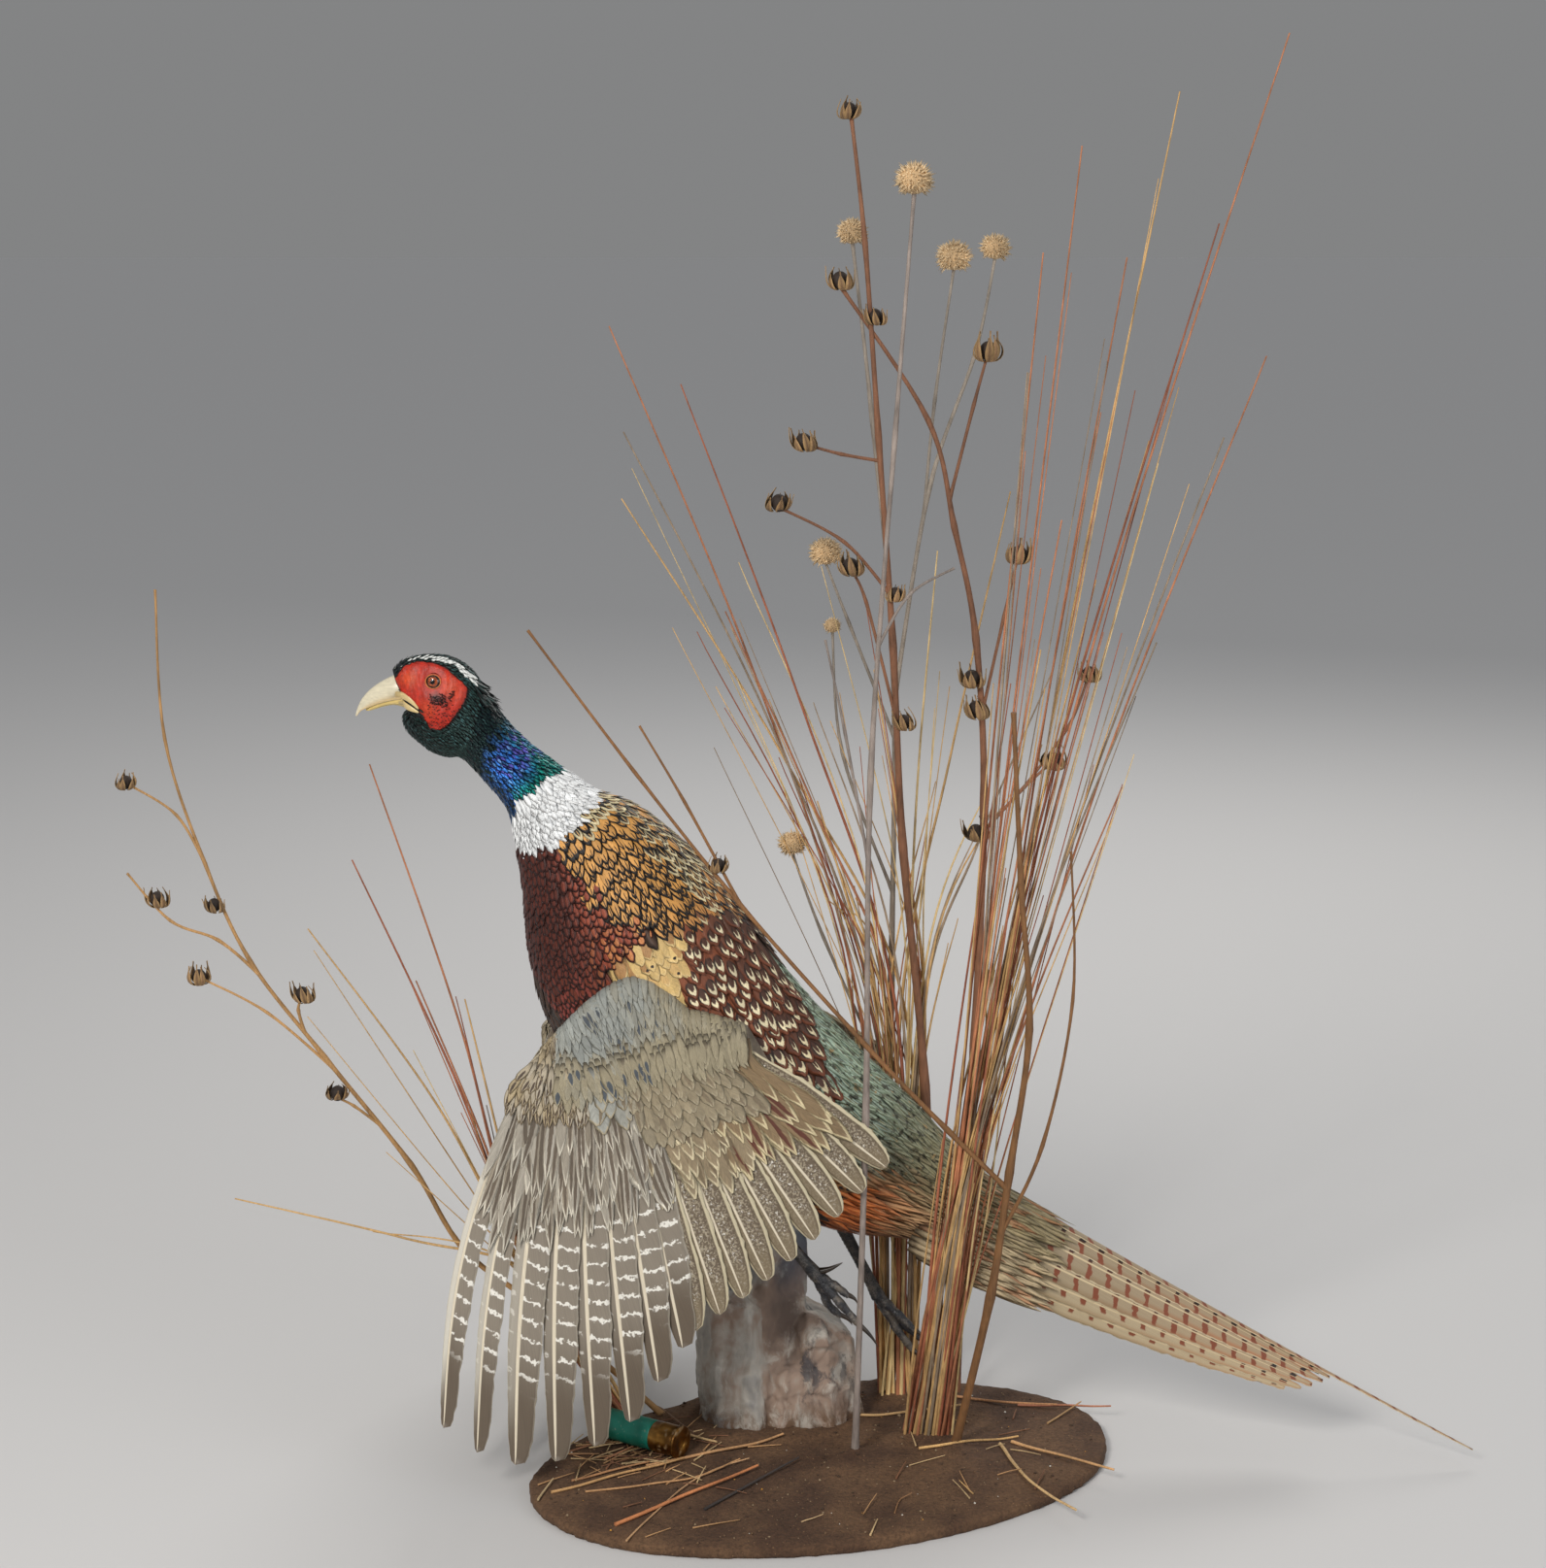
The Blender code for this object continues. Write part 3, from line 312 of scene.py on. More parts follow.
class Finish(Tree):
    # a material with its tree: a plain colour first, then whatever finish wires
    def __init__(self, name, colour, roughness, metallic=0.0):
        self.material = bpy.data.materials.new(name)
        self.material.use_nodes = True
        self.material.diffuse_color = (*colour, 1.0)
        super().__init__(self.material.node_tree)
        self.inputs = self.tree.nodes["Principled BSDF"].inputs
        self.inputs["Base Color"].default_value = (*colour, 1.0)
        self.inputs["Roughness"].default_value = roughness
        self.inputs["Metallic"].default_value = metallic

    def finish(self, colour, bump=None, **sockets):
        # bump is a height with its strength and distance
        if bump:
            sockets["Normal"] = self.add("ShaderNodeBump",
                                         dict(zip(("Height", "Strength", "Distance"), bump)))
        for key, socket in {"Base Color": colour, **sockets}.items():
            self.tree.links.new(socket, self.inputs[key])
        return self.material


def shaderGroup(name, inputs, outputs):
    made = bpy.data.node_groups.new(name, "ShaderNodeTree")
    for label, kind, value in inputs:
        socket = made.interface.new_socket(label, in_out="INPUT", socket_type=kind)
        if value is not None:
            socket.default_value = value
    for label, kind in outputs:
        made.interface.new_socket(label, in_out="OUTPUT", socket_type=kind)
    start, end = made.nodes.new("NodeGroupInput"), made.nodes.new("NodeGroupOutput")
    return made, Tree(made), start, end

# camera, floor and light, in metres
view = {"target": (-0.038, -0.050, 0.480), "pitch": 12.0, "distance": 1.900, "lens": 70.59,
        "sensor": 36.0, "nearest": 0.05, "floor": 20.0}


def placeCamera():
    pitch = math.radians(view["pitch"])
    data = bpy.data.cameras.new("camera")
    data.lens = view["lens"]
    data.sensor_width = view["sensor"]
    data.clip_start = view["nearest"]
    camera = placed("camera", data)
    target = Vector(view["target"])
    camera.location = target + Vector((0.0, -math.cos(pitch), math.sin(pitch))) * view["distance"]
    camera.rotation_euler = (math.radians(90.0) - pitch, 0.0, 0.0)
    bpy.context.scene.camera = camera


def placeFloor():
    half = view["floor"]
    mesh = bpy.data.meshes.new("floor")
    corners = [(-half, -half, 0), (half, -half, 0), (half, half, 0), (-half, half, 0)]
    mesh.from_pydata(corners, [], [(0, 1, 2, 3)])
    floor = placed("floor", mesh)
    floor.data.materials.append(Finish("pale_floor", (0.62, 0.61, 0.60), 0.8).material)


def placeLight(name, place, aim, size, power, colour):
    data = bpy.data.lights.new(name, "AREA")
    data.size = size
    data.energy = power
    data.color = colour
    light = placed(name, data)
    light.location = place
    light.rotation_euler = (Vector(aim) - Vector(place)).to_track_quat("-Z", "Y").to_euler()


def placeLights():
    aim = (-0.04, 0.03, 0.38)
    placeLight("key_light", (-1.1, -1.9, 1.75), aim, 0.7, 46.0, (1.0, 0.97, 0.93))
    placeLight("fill_light", (1.9, -1.5, 0.9), aim, 1.4, 14.0, (0.95, 0.97, 1.0))
    placeLight("back_light", (0.6, 2.0, 1.9), aim, 1.2, 22.0, (1.0, 0.98, 0.95))
    world = bpy.data.worlds.new("studio")
    world.use_nodes = True
    sky = Tree(world.node_tree)
    high = sky.add("ShaderNodeSeparateXYZ", {0: sky.add("ShaderNodeTexCoord")}, out=2)
    colour = sky.mix(sky.step(high, 0.02, 0.30), (0.540, 0.545, 0.549), (0.84, 0.86, 0.89))
    world.node_tree.links.new(colour, world.node_tree.nodes["Background"].inputs["Color"])
    world.node_tree.nodes["Background"].inputs["Strength"].default_value = 0.42
    bpy.context.scene.world = world
    bpy.context.scene.view_settings.view_transform = "Standard"


placeCamera()
placeFloor()
placeLights()
print("camera, floor and light are in place")

# upper x, z, lower x, z, half width, from the bill's base to the tail's root, in millimetres
body = {
    "stations": (
        (-290, 528, -277.5, 491, 8.5), (-281, 535, -275.5, 482, 13), (-266, 538, -268, 473, 16.5),
        (-250, 536.5, -258, 468.5, 18), (-236, 528, -252, 467.5, 17.6), (-226, 512, -247, 468, 16.8),
        (-213, 494, -240, 463, 17), (-199, 480, -229, 450, 18), (-177, 463.5, -217, 434, 21.5),
        (-162, 453.5, -212.5, 414, 28), (-152, 448, -211, 401, 32), (-131, 441, -208, 378, 40),
        (-106, 424, -205, 335, 51), (-80, 398, -193, 290, 59), (-52, 364, -166, 248, 62),
        (-22, 320, -126, 210, 62), (6, 289, -80, 177, 58), (34, 260, -34, 154, 51),
        (62, 232, 14, 141, 42), (90, 202, 56, 137, 33), (119, 178, 93, 124, 24),
        (150, 158, 132, 116, 15), (172, 143, 163, 118, 6)),
    "coatDepth": ((0, 1.2), (50, 1.2), (60, 1.5), (100, 2.2), (135, 3.2), (180, 4.0), (420, 4.0),
                  (560, 3.0), (611, 2.0)),
    "shoulder": {"s": 258.0, "angle": 74.0, "reach": 46.0, "spread": 26.0, "height": 13.0},
}


def middleY(x):
    return np.where(x < 60.0, 78.0 - 0.055 * x, 74.7 - 0.17 * (x - 60.0))


bodyRows = curveTable(body["stations"], 40)
bodyMiddle = (bodyRows[:, 0:2] + bodyRows[:, 2:4]) / 2
bodyRun = runAlong(bodyMiddle)
bodyLength = float(bodyRun[-1])


# the bare red patch of the face and the eye, along the body and in degrees from the back
face = {"patch": ((0, 50), (5, 33), (12, 27), (21, 31), (32, 40), (42, 45), (43, 60), (41, 80), (35, 104),
                  (27, 117), (19, 117), (15, 106), (13, 95), (6, 88), (1, 78)),
        "eye": (23.0, 61.0), "degree": 0.31}


def patchInside(s, phi):
    # millimetres inside the edge of the bare patch, negative outside it
    corner = np.array(face["patch"], float) * (1.0, face["degree"])
    x, y = np.asarray(s, float), np.asarray(phi, float) * face["degree"]
    near = np.full(x.shape, 1e9)
    inside = np.zeros(x.shape, bool)
    for (ax, ay), (bx, by) in zip(corner, np.roll(corner, -1, axis=0)):
        share = ((x - ax) * (bx - ax) + (y - ay) * (by - ay)) / ((bx - ax) ** 2 + (by - ay) ** 2)
        share = np.clip(share, 0.0, 1.0)
        near = np.minimum(near, np.hypot(x - ax - share * (bx - ax), y - ay - share * (by - ay)))
        crossing = ((ay > y) != (by > y)) & (x < (bx - ax) * (y - ay) / (by - ay + 1e-12) + ax)
        inside ^= crossing
    return np.where(inside, near, -near)


def eyeAway(s, phi):
    return np.hypot(s - face["eye"][0], (phi - face["eye"][1]) * face["degree"])


def faceRelief(s, phi):
    # the wattle stands proud of the feathers, hangs at the jowl, puffs over the brow and sinks round the eye
    inside = patchInside(s, phi)
    lift = 1.1 * smoothStep(-0.6, 1.8, inside)
    lift = lift + 1.5 * np.exp(-((s - 27) / 8.0) ** 2 - ((phi - 101) / 17.0) ** 2) * smoothStep(-1, 1, inside)
    lift = lift + 0.6 * np.exp(-((s - 14) / 7.0) ** 2 - ((phi - 42) / 14.0) ** 2) * smoothStep(-1, 1, inside)
    away = eyeAway(s, phi)
    lift = lift - 1.5 * np.exp(-(away / 4.6) ** 2) + 0.35 * np.exp(-((away - 7.4) / 1.2) ** 2)
    folds = np.sin(0.95 * s + 0.11 * phi) * 0.16 + np.sin(2.3 * s - 0.23 * phi) * 0.08
    return lift + folds * smoothStep(0, 3, inside) * smoothStep(5.0, 7.0, away)


def bodyAt(s, angle):
    # angle runs from the back (0) to the belly (pi), negative on the left side
    row = [np.interp(s, bodyRun, bodyRows[:, k]) for k in range(5)]
    x0, z0 = (row[0] + row[2]) / 2, (row[1] + row[3]) / 2
    x = x0 + (row[0] - x0) * np.cos(angle)
    z = z0 + (row[1] - z0) * np.cos(angle)
    depth = np.interp(s, *np.array(body["coatDepth"]).T)
    bulge = body["shoulder"]
    ds = (s - bulge["s"]) / bulge["reach"]
    da = (np.abs(np.degrees(angle)) - bulge["angle"]) / bulge["spread"]
    push = bulge["height"] * np.exp(-ds * ds - da * da) * np.sign(angle)
    y = middleY(x) + row[4] * np.sin(angle) + push
    if np.any(s < 60.0):
        s, angle = np.broadcast_arrays(s, angle)
        phi = np.abs(np.degrees(np.remainder(angle + math.pi, 2 * math.pi) - math.pi))
        depth = np.where(s < 60.0, depth - faceRelief(np.minimum(s, 60.0), phi), depth)
    return np.stack([x, y, z], -1), depth


def bodySurface(s, angle):
    # point under the coat and the way out of the skin
    s = np.clip(s, 0.0, bodyLength)
    place, depth = bodyAt(s, angle)
    alongS = bodyAt(np.minimum(s + 1.0, bodyLength), angle)[0] - bodyAt(np.maximum(s - 1.0, 0.0), angle)[0]
    alongA = bodyAt(s, angle + 0.02)[0] - bodyAt(s, angle - 0.02)[0]
    out = unit(np.cross(alongS, alongA))
    return place - out * depth[..., None], out

outlines = {  # share of the half width along the vane, from its root to its tip
    "round": ((0, 0.35), (0.2, 0.72), (0.45, 0.98), (0.65, 1.0), (0.8, 0.9), (0.92, 0.58), (1, 0.16)),
    "lance": ((0, 0.35), (0.25, 0.85), (0.5, 1.0), (0.7, 0.86), (0.86, 0.52), (1, 0.06)),
    "broad": ((0, 0.55), (0.2, 0.9), (0.5, 1.0), (0.75, 0.98), (0.9, 0.74), (1, 0.3)),
    "hair": ((0, 0.5), (0.3, 1.0), (0.6, 0.8), (0.85, 0.45), (1, 0.05)),
}


bakePatch = 0.003  # side of the patch that each tuft has on the unwrap


def bakeSpot(p, length, q):
    # a root's place on the unwrap of a surface that is length long and goes round from -pi to pi
    return np.stack([0.02 + 0.96 * p / length, 0.5 + 0.48 * q / math.pi], -1)


def bodyBake(roots):
    return bakeSpot(roots[:, 0], bodyLength, roots[:, 1])


def vaneLooks(rng, ground, edge, heart, marks=(0.1, 0.3, 0.6, 0.3), gloss=0.0, speckle=0.0, ring=0.0):
    # what the plumage finish reads: marks holds the rim, then the heart's width, place and length
    n = len(ground)
    ring = np.broadcast_to(ring, n)[:, None]
    return {"ground": ground, "edge": edge, "heart": np.concatenate([heart, ring], 1),
            "marks": np.broadcast_to(marks, (n, 4)), "gloss": np.broadcast_to(gloss, n),
            "speckle": np.broadcast_to(speckle, n), "seed": rng.random(n) * 50.0}


def growCoat(name, surface, roots, plan, looks, bakeAt=bodyBake, grid=(2, 3), outline="round"):
    # roots is (n, 2) on the surface; plan holds length, width, turn, low, rise, camber, roll and curve
    n = len(roots)
    plan = {"camber": 0.3, "roll": 0.0, "curve": 0.0, **plan}
    across, rows = grid
    v, u = np.meshgrid(np.linspace(0, 1, rows + 1), np.linspace(-1, 1, across + 1), indexing="ij")
    v, u = v.ravel()[None, :], u.ravel()[None, :]
    get = {key: np.broadcast_to(value, n)[:, None] for key, value in plan.items()}
    p, q = roots[:, 0:1], roots[:, 1:2]
    here = surface(p, q)[0]
    perP = np.linalg.norm(surface(p + 1e-2, q)[0] - here, axis=-1) / 1e-2
    perQ = np.linalg.norm(surface(p, q + 1e-3)[0] - here, axis=-1) / 1e-3
    side = np.interp(v, *np.array(outlines[outline]).T) * get["width"] * 0.5
    along, over = v * get["length"], u * side
    over = over + get["curve"] * v * v * get["length"]
    turn = get["turn"]
    pp = p + (along * np.cos(turn) - over * np.sin(turn)) / np.maximum(perP, 1e-6)
    qq = q + (along * np.sin(turn) + over * np.cos(turn)) / np.maximum(perQ, 1e-6)
    place, out = surface(pp, qq)
    height = (get["low"] + get["rise"] * v ** 1.2 - get["camber"] * u * u * side * 0.35
              + get["roll"] * u * side * 0.12)
    verts = (place + out * height[..., None]).reshape(-1, 3)
    wide = across + 1
    top = gridFaces(rows + 1, wide, False)
    under = np.array([(r * wide, (r + 1) * wide, (r + 1) * wide + across, r * wide + across)
                      for r in range(rows)])
    ends = np.array([tuple(range(wide)), tuple(range(rows * wide + across, rows * wide - 1, -1))])
    size = wide * (rows + 1)
    shift = (np.arange(n) * size)[:, None, None]
    first = verts[:size]
    face = first[top[across // 2]]
    normal = np.cross(face[1] - face[0], face[2] - face[0])
    if np.dot(normal, out[0, top[across // 2][0]]) < 0:
        top, under, ends = top[:, ::-1], under[:, ::-1], ends[:, ::-1]
    quads = np.concatenate([(top[None] + shift).reshape(-1, 4), (under[None] + shift).reshape(-1, 4)])
    item = fastMesh(name, verts, quads, [(ends[None] + shift).reshape(-1, wide)])
    item.data.materials.append(plumage)
    vane = np.stack([np.broadcast_to(u * 0.5 + 0.5, (n, size)), np.broadcast_to(v, (n, size))], -1)
    giveUv(item, "vane", vane.reshape(-1, 2))
    patch = bakeAt(roots)[:, None, :] + (vane - 0.5) * bakePatch
    giveUv(item, "OFBake", patch.reshape(-1, 2))
    for key, value in looks.items():
        give = giveColour if value.ndim == 2 else giveValue
        give(item, key, np.repeat(value, size, 0))
    return item


def rowsOver(surface, low, high, along, across, qRange, seed):
    # staggered rows of roots over a strip of the surface: along and across are spacings in millimetres
    rng = np.random.default_rng(seed)
    out = []
    s, k = low, 0
    while s < high:
        q = np.linspace(qRange[0], qRange[1], 400)
        line = surface(np.full(400, s), q)[0]
        run = runAlong(line)
        step = across(s) if callable(across) else across
        count = max(int(run[-1] / step), 3)
        marks = (np.arange(count) + (0.25 if k % 2 else 0.75)) / count * run[-1]
        marks = marks + rng.normal(0, 0.10 * step, count)
        gap = along(s) if callable(along) else along
        rowS = s + rng.normal(0, 0.10 * gap, count)
        out.append(np.stack([rowS, np.interp(marks, run, q)], -1))
        s += gap
        k += 1
    return np.concatenate(out)


def tone(red, green, blue):
    # a colour given in display values, as a linear one
    shares = (red / 255, green / 255, blue / 255)
    return np.array([share / 12.92 if share <= 10 / 255 else ((share + 0.055) / 1.055) ** 2.4
                     for share in shares])


def plain(count, red, green, blue):
    # one colour for a number of vanes or points
    return np.tile(tone(red, green, blue), (count, 1))


def fade(share, colour, base):
    # the base turned to a display colour by a share for each row
    share = np.asarray(share)[:, None]
    return base * (1 - share) + tone(*colour) * share


def hues(count, spec):
    return {key: plain(count, *spec[key]) for key in ("ground", "edge", "heart")}


def tint(colours, share, **targets):
    # turns some of a coat's colours to others by a share for each vane
    for key, colour in targets.items():
        colours[key] = fade(share, colour, colours[key])


def makeBarbs():
    # the fine comb of barbs on a vane: a streak value that runs slantwise from the shaft
    group, tree, start, end = shaderGroup(
        "featherBarbs",
        [("Across", "NodeSocketFloat", 0.0), ("Along", "NodeSocketFloat", 0.0),
         ("Seed", "NodeSocketFloat", 0.0), ("Count", "NodeSocketFloat", 30.0)],
        [("Streak", "NodeSocketFloat"), ("Height", "NodeSocketFloat")])
    across, along, seed, count = (start.outputs[k] for k in range(4))
    side = tree.math("ABSOLUTE", across)
    slant = tree.scaleAdd(side, -0.28, along)
    line = tree.times(slant, count)
    spread = tree.times(across, 1.6)
    place = tree.add("ShaderNodeCombineXYZ", {0: line, 1: spread, 2: seed})
    streak = tree.noise(place, 1.0, 3.0, 0.6)
    tree.tree.links.new(streak, end.inputs[0])
    shaft = tree.fall(side, 0.02, 0.12)
    tree.tree.links.new(tree.scaleAdd(shaft, 0.8, streak), end.inputs[1])
    return group


barbGroup = makeBarbs()


def barbs(tree, across, along, seed, count):
    # the comb's streak and height on a vane
    return tree.group(barbGroup, {"Across": across, "Along": along, "Seed": seed, "Count": count}, (0, 1))


def vaneUv(tree):
    uv = tree.add("ShaderNodeUVMap", uv_map="vane")
    split = tree.tree.nodes.new("ShaderNodeSeparateXYZ")
    tree.tree.links.new(uv, split.inputs[0])
    across = tree.scaleAdd(split.outputs[0], 2.0, -1.0)
    return across, split.outputs[1]


def makePlumage():
    # each vane carries its colours: ground, edge, heart (with a dark ring) and its plan of marks
    tree = Finish("plumage", tone(120, 80, 50), 0.55)
    across, along = vaneUv(tree)
    seed = tree.attribute("seed", 2)
    streak, height = barbs(tree, across, along, seed, 30.0)
    ground, edge, heart = (tree.attribute(k) for k in ("ground", "edge", "heart"))
    ring = tree.attribute("heart", 3)
    plan = tree.tree.nodes.new("ShaderNodeSeparateColor")
    tree.tree.links.new(tree.attribute("marks"), plan.inputs[0])
    rim, heartWide, heartPlace = plan.outputs[0], plan.outputs[1], plan.outputs[2]
    heartLong = tree.attribute("marks", 3)
    side = tree.math("ABSOLUTE", across)
    rough = tree.minus(streak, 0.5)
    tip = tree.scaleAdd(along, 2.1, -1.1, clamp=True)
    reach = tree.math("SQRT", tree.plus(tree.times(side, side), tree.times(tip, tip)))
    reach = tree.scaleAdd(rough, 0.30, reach)
    rimMask = tree.step(tree.plus(reach, rim), 0.94, 1.06)
    a = tree.math("DIVIDE", side, tree.math("MAXIMUM", heartWide, 0.001))
    b = tree.math("DIVIDE", tree.minus(along, heartPlace), tree.math("MAXIMUM", heartLong, 0.001))
    away = tree.math("SQRT", tree.plus(tree.times(a, a), tree.times(b, b)))
    away = tree.scaleAdd(rough, 0.7, away)
    heartMask = tree.fall(away, 0.88, 1.12)
    # where a ring is asked for, a dark middle leaves the heart as a crescent towards the tip
    c = tree.plus(b, 0.62)
    inner = tree.math("SQRT", tree.plus(tree.times(tree.times(a, a), 1.45),
                                        tree.times(c, c)))
    innerMask = tree.times(tree.fall(tree.scaleAdd(rough, 0.7, inner), 0.72, 0.98), ring)
    ringMask = tree.times(tree.fall(away, 1.35, 1.75), ring)
    colour = tree.mix(ringMask, ground, tone(40, 24, 16))
    colour = tree.mix(rimMask, colour, edge)
    colour = tree.mix(heartMask, colour, heart)
    colour = tree.mix(innerMask, colour, tone(78, 50, 38))
    # flecks for the soft rump feathers
    speck = tree.attribute("speckle", 2)
    place = tree.objectPlace()
    fleck = tree.times(tree.step(tree.noise(place, 260.0, 2.0), 0.52, 0.66), speck)
    colour = tree.mix(fleck, colour, tone(58, 56, 42))
    pale = tree.times(tree.step(tree.noise(place, 190.0, 2.0, out=1), 0.60, 0.68), speck)
    colour = tree.mix(pale, colour, tone(176, 150, 104))
    root = tree.step(along, -0.1, 0.35)
    colour = tree.mottled(colour, streak, 0.72, 1.22)
    dark = tree.mix(root, tree.mix(0.68, colour, tone(44, 39, 36)), colour)
    gloss = tree.attribute("gloss", 2)
    return tree.finish(dark, bump=(height, 0.35, 0.0004), Metallic=tree.times(gloss, 0.75),
                       Roughness=tree.scaleAdd(gloss, -0.28, 0.60))


plumage = makePlumage()


def bySide(value, table):
    return np.interp(value, *np.array(table, float).T)


def region(s, phi):
    # names the feather tract at each root: s along the body, phi in degrees from the back
    out = np.full(len(s), "belly", object)
    collarTop = bySide(phi, ((0, 107), (20, 107), (47, 104), (92, 104), (129, 103), (140, 110), (180, 114)))
    collarLow = bySide(phi, ((0, 126), (36, 132), (74, 136), (101, 135), (130, 132), (159, 125), (180, 122)))
    mantleEnd = bySide(phi, ((0, 262), (24, 252), (43, 239), (58, 223), (74, 205), (90, 190)))
    mantleSide = bySide(s, ((133, 99), (138, 97), (154, 92), (173, 89), (189, 86), (205, 76), (230, 60)))
    scapularLow = bySide(s, ((222, 56), (240, 62), (250, 64), (268, 75), (312, 72), (339, 64),
                             (365, 50), (385, 46)))
    scapularHigh = bySide(s, ((222, 56), (240, 38), (262, 12), (301, 4), (328, 14), (352, 34), (390, 44)))
    breastLow = bySide(s, ((139, 181), (190, 160), (225, 140), (255, 118), (290, 100)))
    out[(phi > 88) & (s > 235)] = "side"
    out[phi > 128] = "belly"
    out[(phi <= breastLow) & (s < 285) & (phi > 70)] = "breast"
    out[(s < 190)] = "breast"
    out[(phi < 62) & (s >= 262)] = "back"
    out[(s > bySide(phi, ((0, 296), (16, 308), (30, 330), (46, 352), (75, 400)))) & (phi < 90)] = "rump"
    out[(s > 505) & (phi < 180)] = "rumpEnd"
    out[(s > 430) & (phi >= 78)] = "vent"
    out[(s > 530) & (phi >= 60)] = "rumpEnd"
    out[(s >= 218) & (s <= 264) & (phi >= 56) & (phi <= 101)] = "flank"
    out[(phi > scapularHigh) & (phi < scapularLow) & (s >= 222) & (s < 372)] = "scapular"
    out[(s < mantleEnd) & (phi < mantleSide)] = "mantle"
    out[s < collarLow] = "collar"
    out[s < collarTop] = "neck"
    return out


# one row for each tract: millimetres, colours, marks (rim, heart width, place, length, ring)
tractKeys = ("along", "across", "length", "width", "rise", "gloss", "speckle", "ground", "edge",
             "heart", "marks")
tracts = {
    "neck": (2.2, 2.2, 8.5, 4.0, 1.1, 0.8, 0.0,
             (22, 70, 140), (8, 22, 40), (54, 120, 210), (0.1, 0.6, 0.8, 0.3, 0.0)),
    "collar": (2.5, 2.4, 12.0, 4.6, 1.7, 0.0, 0.0,
               (238, 240, 240), (248, 249, 249), (226, 229, 226), (0.1, 0.0, 0.5, 0.1, 0.0)),
    "mantle": (5.6, 4.0, 22.0, 7.6, 2.0, 0.04, 0.0,
               (206, 150, 78), (22, 15, 11), (28, 18, 12), (0.27, 0.12, 0.82, 0.24, 0.0)),
    "breast": (3.7, 3.6, 14.0, 6.8, 1.7, 0.34, 0.0,
               (96, 40, 24), (58, 24, 18), (140, 62, 36), (0.13, 0.4, 0.7, 0.22, 0.0)),
    "flank": (6.4, 5.4, 23.0, 10.5, 2.0, 0.0, 0.0,
              (208, 176, 114), (216, 188, 132), (30, 22, 18), (0.1, 0.0, 0.86, 0.12, 0.0)),
    "scapular": (9.6, 7.6, 34.0, 15.0, 3.4, 0.06, 0.0,
                 (134, 74, 46), (110, 60, 38), (236, 222, 184), (0.12, 0.46, 0.8, 0.14, 1.0)),
    "back": (7.4, 6.0, 24.0, 9.5, 2.2, 0.05, 0.0,
             (84, 56, 40), (52, 36, 28), (214, 200, 170), (0.14, 0.36, 0.84, 0.1, 1.0)),
    "rump": (6.0, 4.6, 28.0, 6.6, 2.6, 0.1, 0.9,
             (170, 190, 170), (146, 164, 138), (118, 112, 80), (0.12, 0.2, 0.7, 0.2, 0.0)),
    "rumpEnd": (6.4, 4.6, 34.0, 6.2, 2.4, 0.05, 0.25,
                (150, 134, 98), (128, 112, 80), (150, 96, 52), (0.1, 0.3, 0.6, 0.3, 0.0)),
    "vent": (6.4, 5.0, 30.0, 6.0, 3.2, 0.0, 0.0,
             (230, 120, 52), (206, 112, 58), (240, 146, 78), (0.1, 0.3, 0.6, 0.3, 0.0)),
    "side": (6.6, 5.6, 22.0, 9.5, 2.0, 0.05, 0.0,
             (166, 112, 62), (120, 74, 44), (44, 30, 26), (0.08, 0.34, 0.86, 0.08, 0.0)),
    "belly": (7.0, 6.0, 23.0, 8.4, 2.4, 0.0, 0.0,
              (58, 40, 30), (42, 30, 24), (70, 48, 34), (0.1, 0.3, 0.6, 0.3, 0.0)),
}
tracts = {name: dict(zip(tractKeys, row)) for name, row in tracts.items()}
tractOutline = {"mantle": "lance", "rump": "hair", "rumpEnd": "hair", "vent": "hair", "neck": "lance"}


def neckHues(colours, s, phi, rng):
    # violet blue above, teal low down and on the back, dark at the throat
    n = len(s)
    chance = rng.random(n)
    teal = np.clip(smoothStep(84, 104, s) * 1.1 * (phi < 120) + smoothStep(70, 30, phi) * 0.75, 0, 1)
    dark = np.clip(smoothStep(76, 58, s) + smoothStep(105, 140, phi) * 0.75 + (chance < 0.16) * 0.6, 0, 1)
    violet = smoothStep(64, 74, s) * smoothStep(96, 84, s) * (chance > 0.55) * (phi < 110)
    tint(colours, teal, ground=(6, 84, 82), heart=(10, 128, 118))
    tint(colours, violet, ground=(40, 40, 110), heart=(84, 84, 176))
    tint(colours, dark, ground=(10, 18, 20), heart=(14, 40, 40))
    # a few paler blue hearts are painted glints
    tint(colours, (rng.random(n) < 0.12) * (1 - dark) * 0.7, heart=(96, 150, 200))


def mantleHues(colours, marks, s, phi, rng):
    # dark feathers with pale edges high up, golden ones with black edges below
    upper = np.clip(smoothStep(44, 24, phi) + smoothStep(150, 136, s) * smoothStep(80, 50, phi), 0, 1)
    swap = rng.random(len(s)) < upper * smoothStep(280, 200, s) * 0.8
    tint(colours, swap, ground=(30, 24, 20), edge=(206, 192, 152), heart=(190, 150, 92))
    marks[swap] = (0.20, 0.12, 0.62, 0.22)
    tint(colours, smoothStep(205, 245, s) * 0.5, ground=(176, 112, 72))
    marks[s < 146, 0] = 0.5


